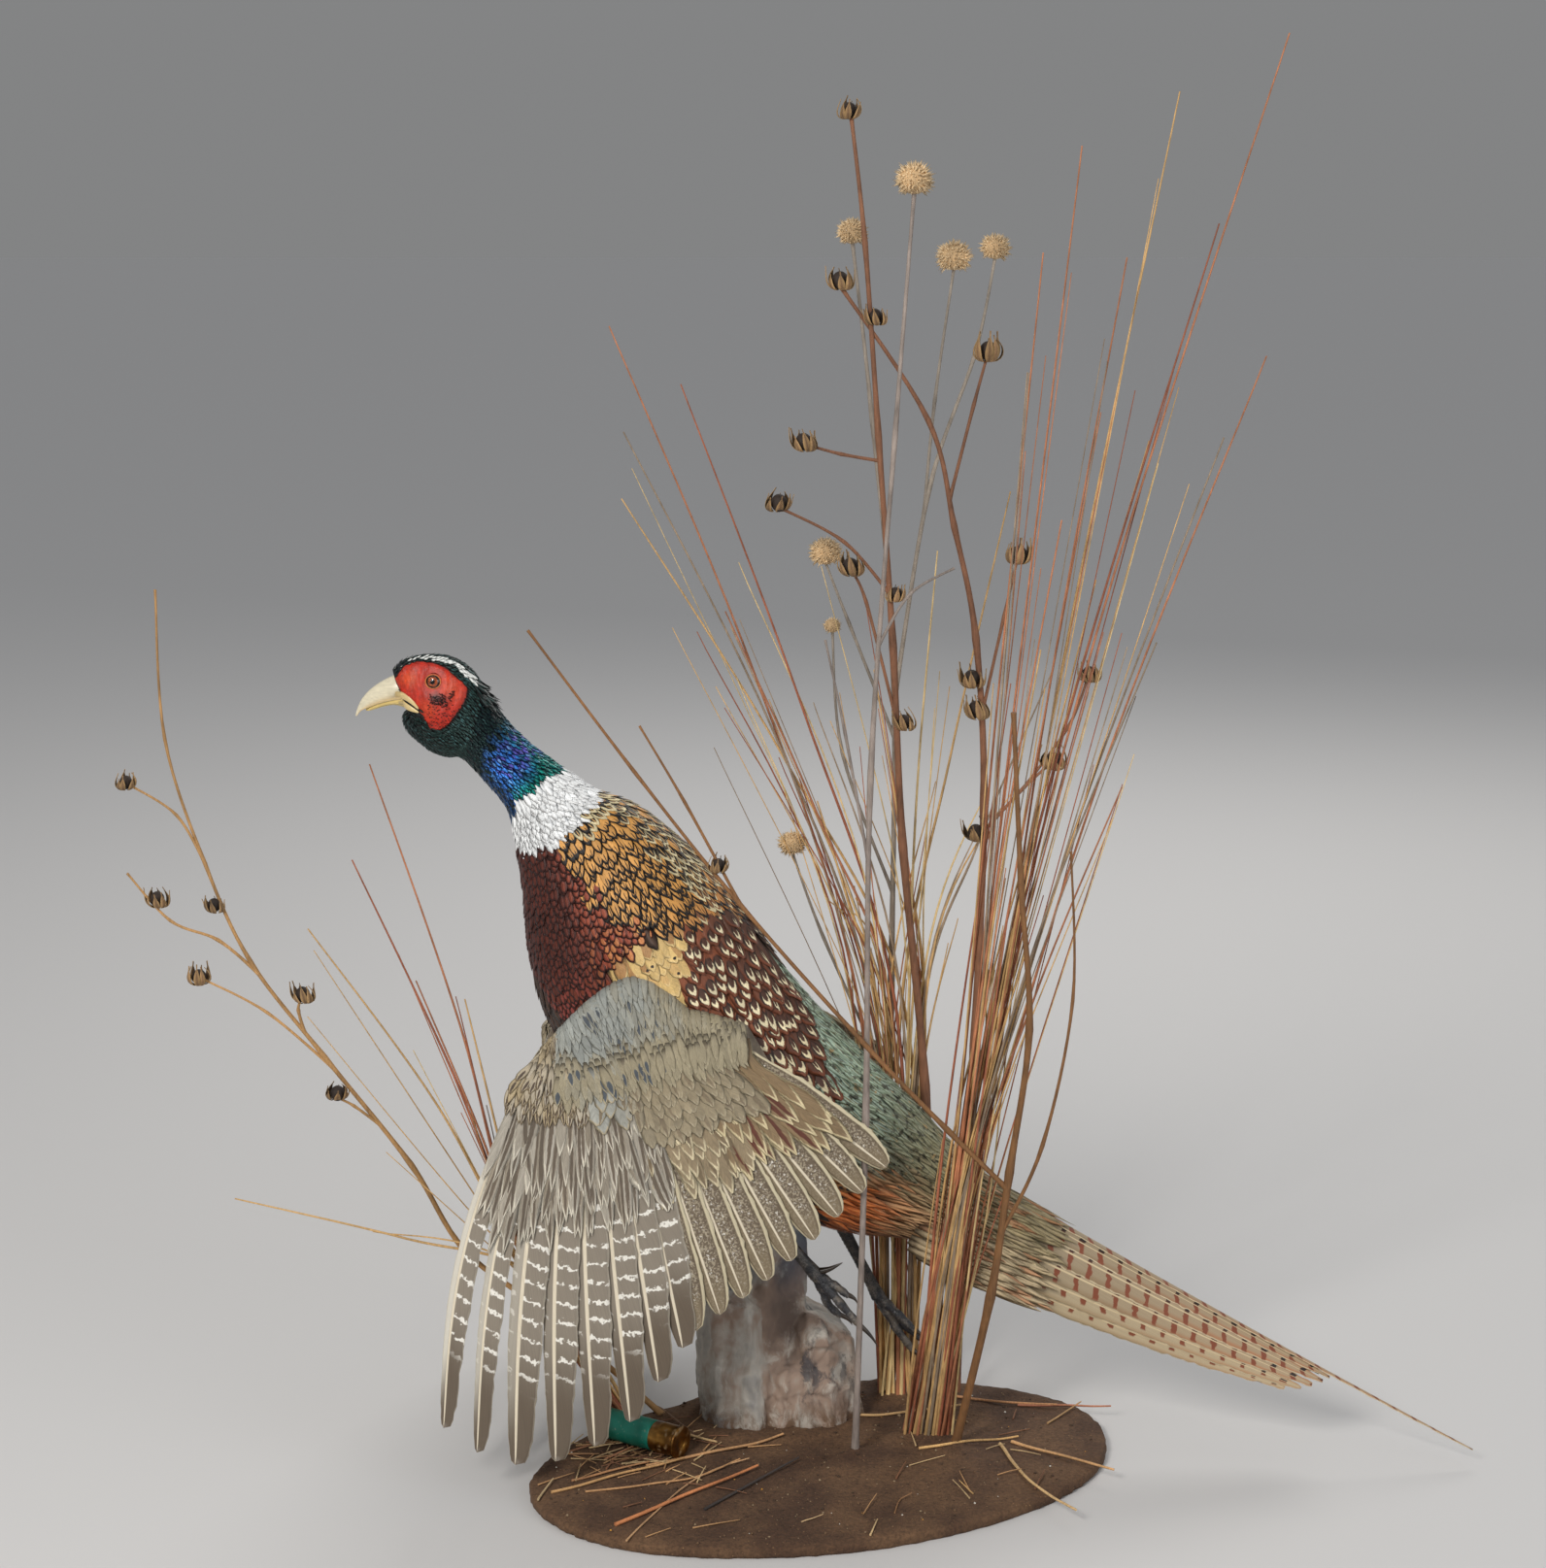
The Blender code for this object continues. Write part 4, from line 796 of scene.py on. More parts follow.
def breastHues(colours, marks, s, phi, rng):
    # dark copper in front, rosy hearts low down as a painted pink sheen, golden glints high up as painted
    # highlights; gives the added gloss
    n = len(s)
    front = smoothStep(92, 112, phi) * smoothStep(245, 190, s)
    tint(colours, front * 0.82, ground=(40, 18, 16))
    tint(colours, front * 0.75, heart=(66, 26, 20))
    # rosy hearts: a painted pink sheen on the lower breast
    rosySheen = smoothStep(195, 240, s) * smoothStep(100, 122, phi) * (rng.random(n) < 0.6)
    tint(colours, rosySheen * 0.8, heart=(168, 82, 78))
    # golden hearts: painted highlights high on the breast
    goldGlint = (rng.random(n) < 0.55) * smoothStep(185, 215, s) * smoothStep(112, 92, phi)
    tint(colours, goldGlint * 0.8, heart=(190, 124, 70))
    marks[:, 1] = np.where(goldGlint > 0.3, 0.55, marks[:, 1])
    return 0.2 * rosySheen


def scapularHues(colours, marks, s, phi, rng):
    # darker with smaller hearts towards the ridge and the tail
    far, high = smoothStep(300, 350, s), smoothStep(46, 26, phi)
    tint(colours, far * 0.8, ground=(74, 46, 34))
    marks[:, 1] -= 0.10 * far
    tint(colours, high * 0.85, ground=(72, 48, 36))
    marks[:, 1] -= 0.10 * high
    tint(colours, far * 0.5, heart=(206, 190, 150))
    marks[rng.random(len(s)) < 0.12, 1] *= 0.5


def rumpHues(colours, s, phi, rng):
    # grey green, buff towards the tail and at the sides, with a few bluer ones
    n = len(s)
    warm = smoothStep(395, 475, s)
    tint(colours, warm * 0.8, ground=(146, 134, 98), edge=(124, 112, 78))
    sides = smoothStep(56, 80, phi + rng.normal(0, 5.0, n)) * smoothStep(400, 440, s)
    tint(colours, sides * 0.7, ground=(168, 128, 88))
    tint(colours, (rng.random(n) < 0.3) * 0.5 * (1 - warm), ground=(150, 172, 164))


def ventHues(colours, s, phi, rng):
    # rust, duller towards the tail, olive where it meets the rump, dark between the legs
    tint(colours, smoothStep(440, 478, s) * 0.85, ground=(176, 150, 112), edge=(156, 130, 96),
         heart=(190, 160, 118))
    olive = smoothStep(108, 80, phi + rng.normal(0, 5.0, len(s)))
    tint(colours, olive * 0.75, ground=(140, 130, 98), edge=(140, 130, 98), heart=(140, 130, 98))
    tint(colours, smoothStep(128, 156, phi) * 0.8, ground=(86, 50, 34), heart=(70, 44, 32))


def tractLooks(name, s, phi, rng):
    spec = tracts[name]
    n = len(s)
    colours = hues(n, spec)
    marks = np.tile(spec["marks"][:4], (n, 1)).astype(float)
    gloss = spec["gloss"]
    if name == "neck":
        neckHues(colours, s, phi, rng)
    elif name == "mantle":
        mantleHues(colours, marks, s, phi, rng)
    elif name == "breast":
        gloss = gloss + breastHues(colours, marks, s, phi, rng)
    elif name == "flank":
        spot = rng.random(n) < 0.16
        marks[spot, 1] = 0.30
        marks[spot, 3] = 0.045
        tint(colours, (rng.random(n) < 0.3) * smoothStep(250, 225, s) * 0.7, ground=(150, 96, 56))
    elif name == "scapular":
        scapularHues(colours, marks, s, phi, rng)
    elif name == "rump":
        rumpHues(colours, s, phi, rng)
    elif name == "rumpEnd":
        tint(colours, smoothStep(60, 100, phi) * smoothStep(600, 520, s) * 0.7, ground=(176, 96, 52))
    elif name == "vent":
        ventHues(colours, s, phi, rng)
    lively = rng.normal(1.0, 0.10, (n, 1)).clip(0.7, 1.3)
    return vaneLooks(rng, *(value * lively for value in colours.values()), marks, np.clip(gloss, 0, 1),
                     spec["speckle"], spec["marks"][4])


def coverBody():
    pieces = []
    for index, name in enumerate(tracts):
        spec = tracts[name]
        rng = np.random.default_rng(40 + index)
        low, high = (50, 118) if name == "neck" else (98, 140) if name == "collar" else (118, bodyLength - 4)
        roots = rowsOver(bodySurface, low, high, spec["along"], spec["across"],
                         (-math.pi, math.pi), 7 + index)
        phi = np.abs(np.degrees(roots[:, 1]))
        blur = 2.2 if name in ("neck", "collar") else 3.0
        found = region(roots[:, 0] + rng.normal(0, blur * 0.7, len(phi)),
                       (phi + rng.normal(0, blur, len(phi))).clip(0, 180))
        roots, phi = roots[found == name], phi[found == name]
        n = len(roots)
        s = roots[:, 0]
        side = np.sign(roots[:, 1])
        lean = {"scapular": 0.30, "mantle": 0.10, "flank": 0.15, "rump": 0.10}.get(name, 0.0)
        length = spec["length"] * rng.normal(1.0, 0.09, n).clip(0.8, 1.25)
        width = np.full(n, spec["width"]) * rng.normal(1.0, 0.07, n)
        if name == "mantle":
            length *= bySide(s, ((128, 0.55), (150, 0.75), (190, 1.0)))
            width *= bySide(s, ((128, 0.7), (150, 0.85), (190, 1.0)))
        if name == "scapular":
            length *= bySide(s, ((220, 0.62), (260, 0.85), (310, 1.1)))
            width *= bySide(s, ((220, 0.75), (270, 0.95), (320, 1.1)))
        if name in ("rumpEnd", "vent"):
            length *= bySide(s, ((500, 1.0), (590, 0.75)))
        low = np.where(s > 590, 0.1, 0.25) + rng.normal(0, 0.12, n)
        soft = name in ("rump", "rumpEnd", "vent", "belly")
        plan = {"length": length, "width": width,
                "turn": side * lean + rng.normal(0, 0.14 if soft else 0.05, n), "low": low,
                "rise": spec["rise"] * 0.8 + rng.normal(0, 0.22, n), "camber": 0.32, "roll": 0.3 * side,
                "curve": rng.normal(0, 0.05 if soft else 0.02, n)}
        piece = growCoat("coat_" + name, bodySurface, roots, plan, tractLooks(name, s, phi, rng),
                         grid=(2, 4) if soft or name in ("neck", "collar") else (4, 6),
                         outline=tractOutline.get(name, "round"))
        pieces.append(piece)
    for piece in pieces:
        sheen = "blue_green" if piece.name in ("coat_neck", "coat_collar") else "copper"
        settle(piece, sheen + "_plumage")
    print("body feathers:", sum(len(p.data.polygons) for p in pieces), "faces")


def skinMaterial():
    tree = Finish("bare_skin", tone(176, 34, 20), 0.45)
    place = tree.objectPlace()
    paint = tree.attribute("paint")
    mottle = tree.noise(place, 420.0, 3.0)
    colour = tree.mottled(paint, mottle, 0.75, 1.2)
    return tree.finish(colour, bump=(tree.noise(place, 1500.0, 3.0), 0.5, 0.0004))


def tubeUnwrap(p, q, length):
    # a tube laid flat, with the middle points of its two ends last
    return np.stack([np.append(p.ravel() / length, [0.0, 1.0]),
                     np.append(q.ravel() / 6.3 + 0.5, [0.5, 0.5])], 1)


def facePaint(s, phi):
    # bare red face, dark under the head feathers, dull flesh under the coat
    colour = plain(len(s), 46, 34, 26)
    colour[s < 104] = tone(12, 18, 22)
    colour[(s >= 104) & (s < 128)] = tone(150, 148, 142)
    inside = patchInside(s, phi)
    bare = smoothStep(-0.3, 0.5, inside)[:, None]
    rng = np.random.default_rng(3)
    red = tone(176, 36, 14) * (1 + 0.12 * np.sin(s * 0.8 + phi * 0.05))[:, None]
    # orange patches: the one beside the bill is a painted highlight, the two behind and below the eye are the
    # skin's own orange
    orange = (np.exp(-((s - 8) / 5.0) ** 2 - ((phi - 58) / 12.0) ** 2) * 0.6
              + np.exp(-((s - 33) / 7.0) ** 2 - ((phi - 62) / 14.0) ** 2) * 0.4
              + np.exp(-((s - 20) / 6.0) ** 2 - ((phi - 92) / 10.0) ** 2) * 0.35)[:, None]
    red = red * (1 - orange) + tone(214, 86, 34) * orange
    red = red * (1 + rng.normal(0, 0.05, (len(s), 1)))
    colour = colour * (1 - bare) + red * bare
    below = np.exp(-((s - 25.5) / 5.5) ** 2 - ((phi - 78) / 6.0) ** 2)[:, None]
    colour = colour * (1 - below.clip(0, 1) * 0.85) + tone(34, 26, 24) * below.clip(0, 1) * 0.85
    return colour


def makeSkin():
    # one skin from the bill to the tail
    sRows = np.concatenate([np.linspace(0.0, 60.0, 90, endpoint=False), np.linspace(60.0, bodyLength, 180)])
    columns = 144
    angles = np.linspace(-math.pi, math.pi, columns, endpoint=False)
    s, a = np.meshgrid(sRows, angles, indexing="ij")
    verts = bodySurface(s, a)[0].reshape(-1, 3)
    rows = len(sRows)
    verts = np.concatenate([verts, [verts[:columns].mean(0), verts[-columns:].mean(0)]])
    paint = facePaint(np.append(s.ravel(), [0.0, bodyLength]),
                      np.append(np.abs(np.degrees(a.ravel())), [90.0, 90.0]))
    return closedForm("skin", verts, gridFaces(rows, columns, True), [fanCaps(rows, columns)],
                      skinFinish, paint, tubeUnwrap(s, a, bodyLength))


skinFinish = skinMaterial()
skin = makeSkin()
coverBody()

wing = {"primaries": (252, 262, 266, 262, 253, 240, 219, 203), "fan": (-18.6, 19.0), "secondaries": 9,
        "halfWidth": 10.6, "sweep": 7.0, "shoulder": (-95.0, 325.0), "wrist": (-168.0, 289.0),
        "armThick": (8.8, 10.4),
        "webs": {"outer": (0.36, 1.06), "primary": (0.62, 1.52), "secondary": (0.72, 1.30)}}


def wingY(x, z):
    # the left wing's outer face: it leans away from the body towards its tips
    fall = (330.0 - z) / 290.0
    rear = smoothStep(-150.0, 40.0, x)
    return 13.0 - 54.0 * fall * (1 - 0.45 * rear)


def wingPlan():
    # root, tip, line of the coverts, bow and kind of every flight feather, in x and z
    rows = []
    count = len(wing["primaries"])
    for i, length in enumerate(wing["primaries"]):
        share = i / (count - 1)
        angle = math.radians(wing["fan"][0] + (wing["fan"][1] - wing["fan"][0]) * share)
        wrist = (-172.0 + 9.0 * share, 288.0 + 3.0 * share)
        root = (wrist[0] + 45.0 * math.sin(angle * 2.2), wrist[1] - 30.0 * math.cos(angle * 2.2))
        tip = (wrist[0] + length * math.sin(angle), wrist[1] - length * math.cos(angle))
        rows.append((root, tip, (-186.0 + 24.0 * share, 294.0 + 24.0 * share), 13.0 * (1.0 - share) ** 2,
                     "primary", share))
    for i in range(wing["secondaries"]):
        share = i / (wing["secondaries"] - 1)
        tip = (-88.0 + 124.0 * share, 110.0 + 103.0 * share - 9.0 * math.sin(math.pi * share))
        root = (-132.0 + 76.0 * share, 268.0 + 16.0 * share)
        rise = math.sin(math.pi * min(share * 1.6, 1.0))
        rows.append((root, tip, (-152.0 + 94.0 * share, 326.0 + 14.0 * rise - 20.0 * share ** 1.5), 0.0,
                     "secondary", share))
    return rows


wingRows = wingPlan()


def mirrored(points):
    # the far wing: across the bird's middle plane, then turned back about the shoulder
    x, y, z = points[..., 0], points[..., 1], points[..., 2]
    turn = math.radians(wing["sweep"])
    ax, az = wing["shoulder"]
    newX = ax + (x - ax) * math.cos(turn) - (z - az) * math.sin(turn)
    newZ = az + (x - ax) * math.sin(turn) + (z - az) * math.cos(turn)
    return np.stack([newX, 2 * middleY(x) - y, newZ], -1)


def wingCurve(i, v, sideways):
    # a point of feather i: v along it from 0 at the root to 1 at the tip, sideways in millimetres
    root, tip, _, bow, _, _ = wingRows[i]
    way = np.array(tip) - np.array(root)
    way = way / np.hypot(*way)
    over = np.array((-way[1], way[0]))
    middle = np.array(root)[None] * (1 - v[:, None]) + np.array(tip)[None] * v[:, None]
    middle = middle - over[None] * (bow * np.sin(math.pi * v))[:, None]
    return middle + over[None] * sideways[:, None]


def flightVane(i, seed):
    # one flight feather: a curved shaft with a narrow leading web and a wide trailing web
    rng = np.random.default_rng(seed)
    kind, share = wingRows[i][4:6]
    primary = kind == "primary"
    rows = 46
    v = np.linspace(-0.10, 1.0, rows + 1)
    u = np.concatenate([np.linspace(-1, -0.08, 4), [0.0], np.linspace(0.10, 1, 6)])
    webs = wing["webs"]["outer" if primary and share < 0.2 else kind]
    lead, trail = (wing["halfWidth"] * web for web in webs)
    start, span, power = (0.80, 0.20, 2.3) if primary else (0.70, 0.30, 1.7)
    taper = 1.0 - np.clip((v - start) / span, 0, 1) ** power
    shape = np.sqrt(np.clip(taper, 0, 1)) * (0.55 + 0.45 * smoothStep(-0.1, 0.35, v))
    if primary:
        shape = shape * (1.0 - 0.20 * smoothStep(0.62, 0.84, v))
    vv, uu = np.meshgrid(v, u, indexing="ij")
    wide = np.where(uu < 0, lead, trail) * uu * shape[:, None]
    # barbs slant towards the tip, and the trailing edge is a little ragged
    slant = np.abs(uu) ** 1.2 * 0.035 * shape[:, None]
    nick = rng.normal(0, 0.35, (rows + 1, 1)) * (np.abs(uu) > 0.99)
    wide = wide + np.sign(uu) * nick * (0.4 + 0.6 * (uu > 0))
    at = np.clip(vv + slant, -0.1, 1.012)
    pts = wingCurve(i, at.ravel(), wide.ravel())
    x, z = pts[:, 0], pts[:, 1]
    # inner feathers lie over outer ones: each tilts with its leading web inside
    order = (len(wingRows) - i) / len(wingRows)
    tilt = 0.13 * wide.ravel()
    cup = 0.010 * wide.ravel() ** 2 * 0.25
    y = wingY(x, z) - tilt + cup + 0.9 - 0.3 * order
    return np.stack([x, y, z], -1), vv, uu


def makeFlightMaterial(name, primary):
    tree = Finish(name, tone(120, 106, 88), 0.5)
    across, along = vaneUv(tree)
    seed = tree.attribute("seed", 2)
    streak, height = barbs(tree, across, along, seed, 260.0)
    side = tree.math("ABSOLUTE", across)
    place = tree.objectPlace()
    rough = tree.minus(tree.noise(place, 330.0, 3.0), 0.5)
    run = tree.attribute("run", 2)
    if primary:
        ground = tree.mix(tree.step(along, 0.60, 0.85), tone(136, 126, 112), tone(98, 85, 70))
        # rows of broken pale bars, level from feather to feather, on the trailing web and the leading edge
        wander = tree.scaleAdd(rough, 9.0, tree.scaleAdd(across, -2.6, run))
        wander = tree.scaleAdd(tree.math("SINE", tree.times(seed, 3.1)), 1.3, wander)
        bars = tree.step(tree.math("SINE", tree.times(wander, 0.5236)), 0.76, 0.95)
        web = tree.plus(tree.step(across, 0.0, 0.06), tree.times(tree.fall(across, -0.62, -0.42), 0.6))
        bars = tree.times(bars, tree.times(web, tree.fall(along, 0.72, 0.80)))
        bars = tree.times(bars, tree.step(run, 84.0, 104.0))
        bars = tree.times(bars, tree.step(tree.noise(place, 170.0, 2.0), 0.37, 0.44))
        colour = tree.mix(bars, ground, tone(234, 230, 220))
        lead = tree.times(tree.attribute("pale", 2), tree.fall(across, -0.2, -0.05))
        lead = tree.times(lead, tree.fall(along, 0.75, 0.95))
        colour = tree.mix(lead, colour, tone(208, 202, 188))
        margin = tree.times(tree.step(side, 0.90, 0.97), 0.45)
        colour = tree.mix(margin, colour, tone(196, 186, 166))
    else:
        fleck = tree.step(tree.noise(place, 760.0, 2.0, 0.5), 0.48, 0.60)
        ground = tree.mix(fleck, tone(104, 90, 73), tone(160, 148, 126))
        white = tree.times(tree.step(tree.noise(place, 560.0, 3.0, 0.6, out=1), 0.56, 0.62),
                          tree.times(tree.step(across, 0.12, 0.22), tree.fall(across, 0.52, 0.70)))
        ground = tree.mix(white, ground, tone(226, 222, 212))
        plain = tree.plus(tree.fall(across, -0.12, 0.0), tree.step(along, 0.80, 0.92), clamp=True)
        ground = tree.mix(tree.times(plain, 0.75), ground, tone(128, 113, 88))
        colour = tree.mix(tree.times(tree.step(side, 0.70, 0.76), 0.6), ground, tone(92, 78, 60))
        colour = tree.mix(tree.step(side, 0.82, 0.88), colour, tone(204, 192, 160))
    shaft = tree.fall(side, 0.08, 0.13) if primary else tree.fall(side, 0.05, 0.10)
    colour = tree.mix(shaft, colour, tone(222, 210, 186))
    colour = tree.mottled(colour, streak, 0.80, 1.14)
    return tree.finish(colour, bump=(height, 0.3, 0.0003))


featherThick = 0.55


def vaneSheets(name, feathers, material):
    # one mesh from feathers: each has two sheets of points, v and u of one sheet, a bake spot and its values
    verts, v, u, spots, values = zip(*feathers)
    starts = np.cumsum([0] + [len(part) for part in verts[:-1]])
    faces = [sheetFaces(*one.shape) + at for one, at in zip(v, starts)]
    item = fastMesh(name, np.concatenate(verts), np.concatenate(faces))
    item.data.materials.append(material)
    pairs = [np.tile(np.stack([b.ravel() * 0.5 + 0.5, a.ravel()], -1), (2, 1)) for a, b in zip(v, u)]
    giveUv(item, "vane", np.concatenate(pairs))
    patches = [spot + (pair - 0.5) * bakePatch for spot, pair in zip(spots, pairs)]
    giveUv(item, "OFBake", np.concatenate(patches))
    for key in values[0]:
        spread = [np.broadcast_to(one[key], len(part)) for one, part in zip(values, verts)]
        giveValue(item, key, np.concatenate(spread))
    return faceOut(item)


def makeFlight(far):
    sets = {"primary": [], "secondary": []}
    for i, (_, _, _, _, kind, share) in enumerate(wingRows):
        verts, v, u = flightVane(i, 300 + i)
        full = np.concatenate([verts, verts + (0.0, featherThick, 0.0)])
        away = np.hypot(full[:, 0] - wing["wrist"][0], full[:, 2] - wing["wrist"][1])
        pale = max(0.0, 1.0 - 2.2 * share) if kind == "primary" else 0.0
        sets[kind].append((mirrored(full) if far else full, v, u, (0.05 + 0.05 * i, 0.9 if far else 0.1),
                           {"seed": i * 1.7, "run": away, "pale": pale}))
    ending = "_far" if far else "_near"
    made = [vaneSheets("wing_" + kind + ending, sets[kind], flightMaterials[kind]) for kind in sets]
    return joined("flight_feathers" + ending, made)


flightMaterials = {"primary": makeFlightMaterial("primary_vane", True),
                   "secondary": makeFlightMaterial("secondary_vane", False)}
for far in (False, True):
    settle(makeFlight(far), "wing_plumage", "wing_right" if far else "wing_left")
print("flight feathers are in place")

wingTable = np.array([(*row[0], *row[1], *row[2]) for row in wingRows])


def wingLine(q, k):
    # column k of the feather table at a fractional feather number, straight beyond both ends
    q = np.asarray(q, float)
    base = np.interp(q, np.arange(len(wingTable)), wingTable[:, k])
    before = (wingTable[1, k] - wingTable[0, k]) * np.minimum(q, 0.0)
    after = (wingTable[-1, k] - wingTable[-2, k]) * np.maximum(q - (len(wingTable) - 1), 0.0)
    return base + before + after


def armThick(upperX):
    # thickness of the arm, and 0 at the wrist to 1 where it is thickest
    inner = np.clip((upperX + 190.0) / 70.0, 0.0, 1.0)
    thin, more = wing["armThick"]
    return thin + more * inner, inner


def wingFace(p, q, far):
    # p runs down the feathers from their roots (0), up the arm (negative), over the leading edge and
    # down the inner face; q is the feather number
    p, q = np.broadcast_arrays(np.asarray(p, float), np.asarray(q, float))
    root = np.stack([wingLine(q, 0), wingLine(q, 1)], -1)
    tip = np.stack([wingLine(q, 2), wingLine(q, 3)], -1)
    upper = np.stack([wingLine(q, 4), wingLine(q, 5)], -1)
    depth, inner = armThick(upper[..., 0])
    r = depth / 2
    rise = upper - root
    reach = np.linalg.norm(rise, axis=-1, keepdims=True)
    rise = rise / reach
    reach = reach[..., 0] - r * 0.8
    down = unit(tip - root)
    turnAt = -reach - math.pi * r
    angle = np.clip((-reach - p) / r, 0.0, math.pi)
    flat = np.where(p >= -reach, p, np.where(p <= turnAt, -reach + (turnAt - p), -reach))
    soft = 7.0
    blend = smoothStep(-soft, soft, flat)[..., None]
    place = root + np.where(flat[..., None] < 0, -rise * flat[..., None], down * flat[..., None])
    mixed = root + (-rise * np.minimum(flat, 0)[..., None]) + down * np.maximum(flat, 0)[..., None]
    place = place * blend + mixed * (1 - blend)
    place = place + rise * (r * 0.8 * np.sin(angle))[..., None]
    swell = (1.2 + 2.6 * inner) * smoothStep(34.0, -14.0, flat)
    thick = 1.0 + (depth - 1.0) * smoothStep(58.0, -16.0, flat)
    share = (1 - np.cos(angle)) / 2
    y = wingY(place[..., 0], place[..., 1]) + 1.2 - swell + thick * share
    out = np.stack([place[..., 0], y, place[..., 1]], -1)
    return mirrored(out) if far else out


def wingSurface(far):
    def surface(p, q):
        p, q = np.broadcast_arrays(np.asarray(p, float), np.asarray(q, float))
        place = wingFace(p, q, far)
        alongP = wingFace(p + 1.5, q, far) - wingFace(p - 1.5, q, far)
        alongQ = wingFace(p, q + 0.08, far) - wingFace(p, q - 0.08, far)
        out = unit(np.cross(alongQ, alongP))
        return place, (out if far else -out)
    return surface


def makeArm(far):
    # the flesh of the wing: a closed form from the outer face over the leading edge to the inner face
    q = np.linspace(-0.3, 16.3, 70)
    share = np.concatenate([np.linspace(0, 1, 30), np.linspace(1, 2, 14)[1:], np.linspace(2, 3, 30)[1:]])
    rows = []
    for one in q:
        upper = np.array([wingLine(one, 4), wingLine(one, 5)])
        root = np.array([wingLine(one, 0), wingLine(one, 1)])
        r = armThick(upper[0])[0] / 2
        reach = np.linalg.norm(upper - root) - r * 0.8
        p = np.interp(share, (0, 1, 2, 3),
                      (40.0, -reach, -reach - math.pi * r, -reach - math.pi * r - reach - 40.0))
        rows.append(wingFace(p, np.full(len(p), one), far))
    verts = np.array(rows).reshape(-1, 3)
    count = len(share)
    return closedForm("arm", verts, gridFaces(len(q), count, True), [flatCaps(len(q), count)],
                      skinFinish, plain(len(verts), 120, 108, 92))


# each row of coverts: where along p, feather numbers, spacing and size in millimetres, colours
covertKeys = ("p", "q", "along", "across", "length", "width", "low", "rise", "ground", "edge",
              "heart", "marks")
coverts = {
    "greaterPrimary": ((-12, 46), (-0.3, 9.0), 12.0, 4.0, 44, 6.2, 2.4, 0.6,
                       (142, 131, 114), (214, 206, 188), (98, 86, 72), (0.12, 0.34, 0.45, 0.75, 0.0)),
    "greaterSecondary": ((0, 34), (7.6, 13.0), 11.0, 4.8, 44, 8.6, 2.0, 0.8,
                         (142, 125, 98), (206, 192, 158), (112, 96, 72), (0.1, 0.4, 0.5, 0.6, 0.0)),
    "tertialCovert": ((-14, 36), (12.0, 16.4), 12.5, 6.0, 58, 10.5, 1.6, 1.6,
                      (132, 110, 80), (206, 190, 150), (92, 48, 32), (0.14, 0.3, 0.62, 0.34, 0.0)),
    "median": ((-20, 14), (4.6, 14.8), 8.0, 5.4, 30, 9.6, 2.6, 1.4,
               (144, 131, 106), (164, 152, 126), (122, 108, 86), (0.06, 0.3, 0.6, 0.5, 0.0)),
    "lesser": ((-84, -12), (2.4, 16.0), 4.6, 4.2, 20, 6.2, 0.9, 1.5,
               (144, 147, 141), (158, 159, 150), (70, 76, 82), (0.05, 0.5, 0.74, 0.22, 0.0)),
    "marginal": ((-52, 2), (-0.8, 4.4), 4.4, 3.2, 17, 4.2, 0.6, 1.2,
                 (172, 154, 120), (132, 114, 86), (78, 64, 50), (0.1, 0.34, 0.74, 0.3, 0.0)),
}
coverts = {name: dict(zip(covertKeys, row)) for name, row in coverts.items()}


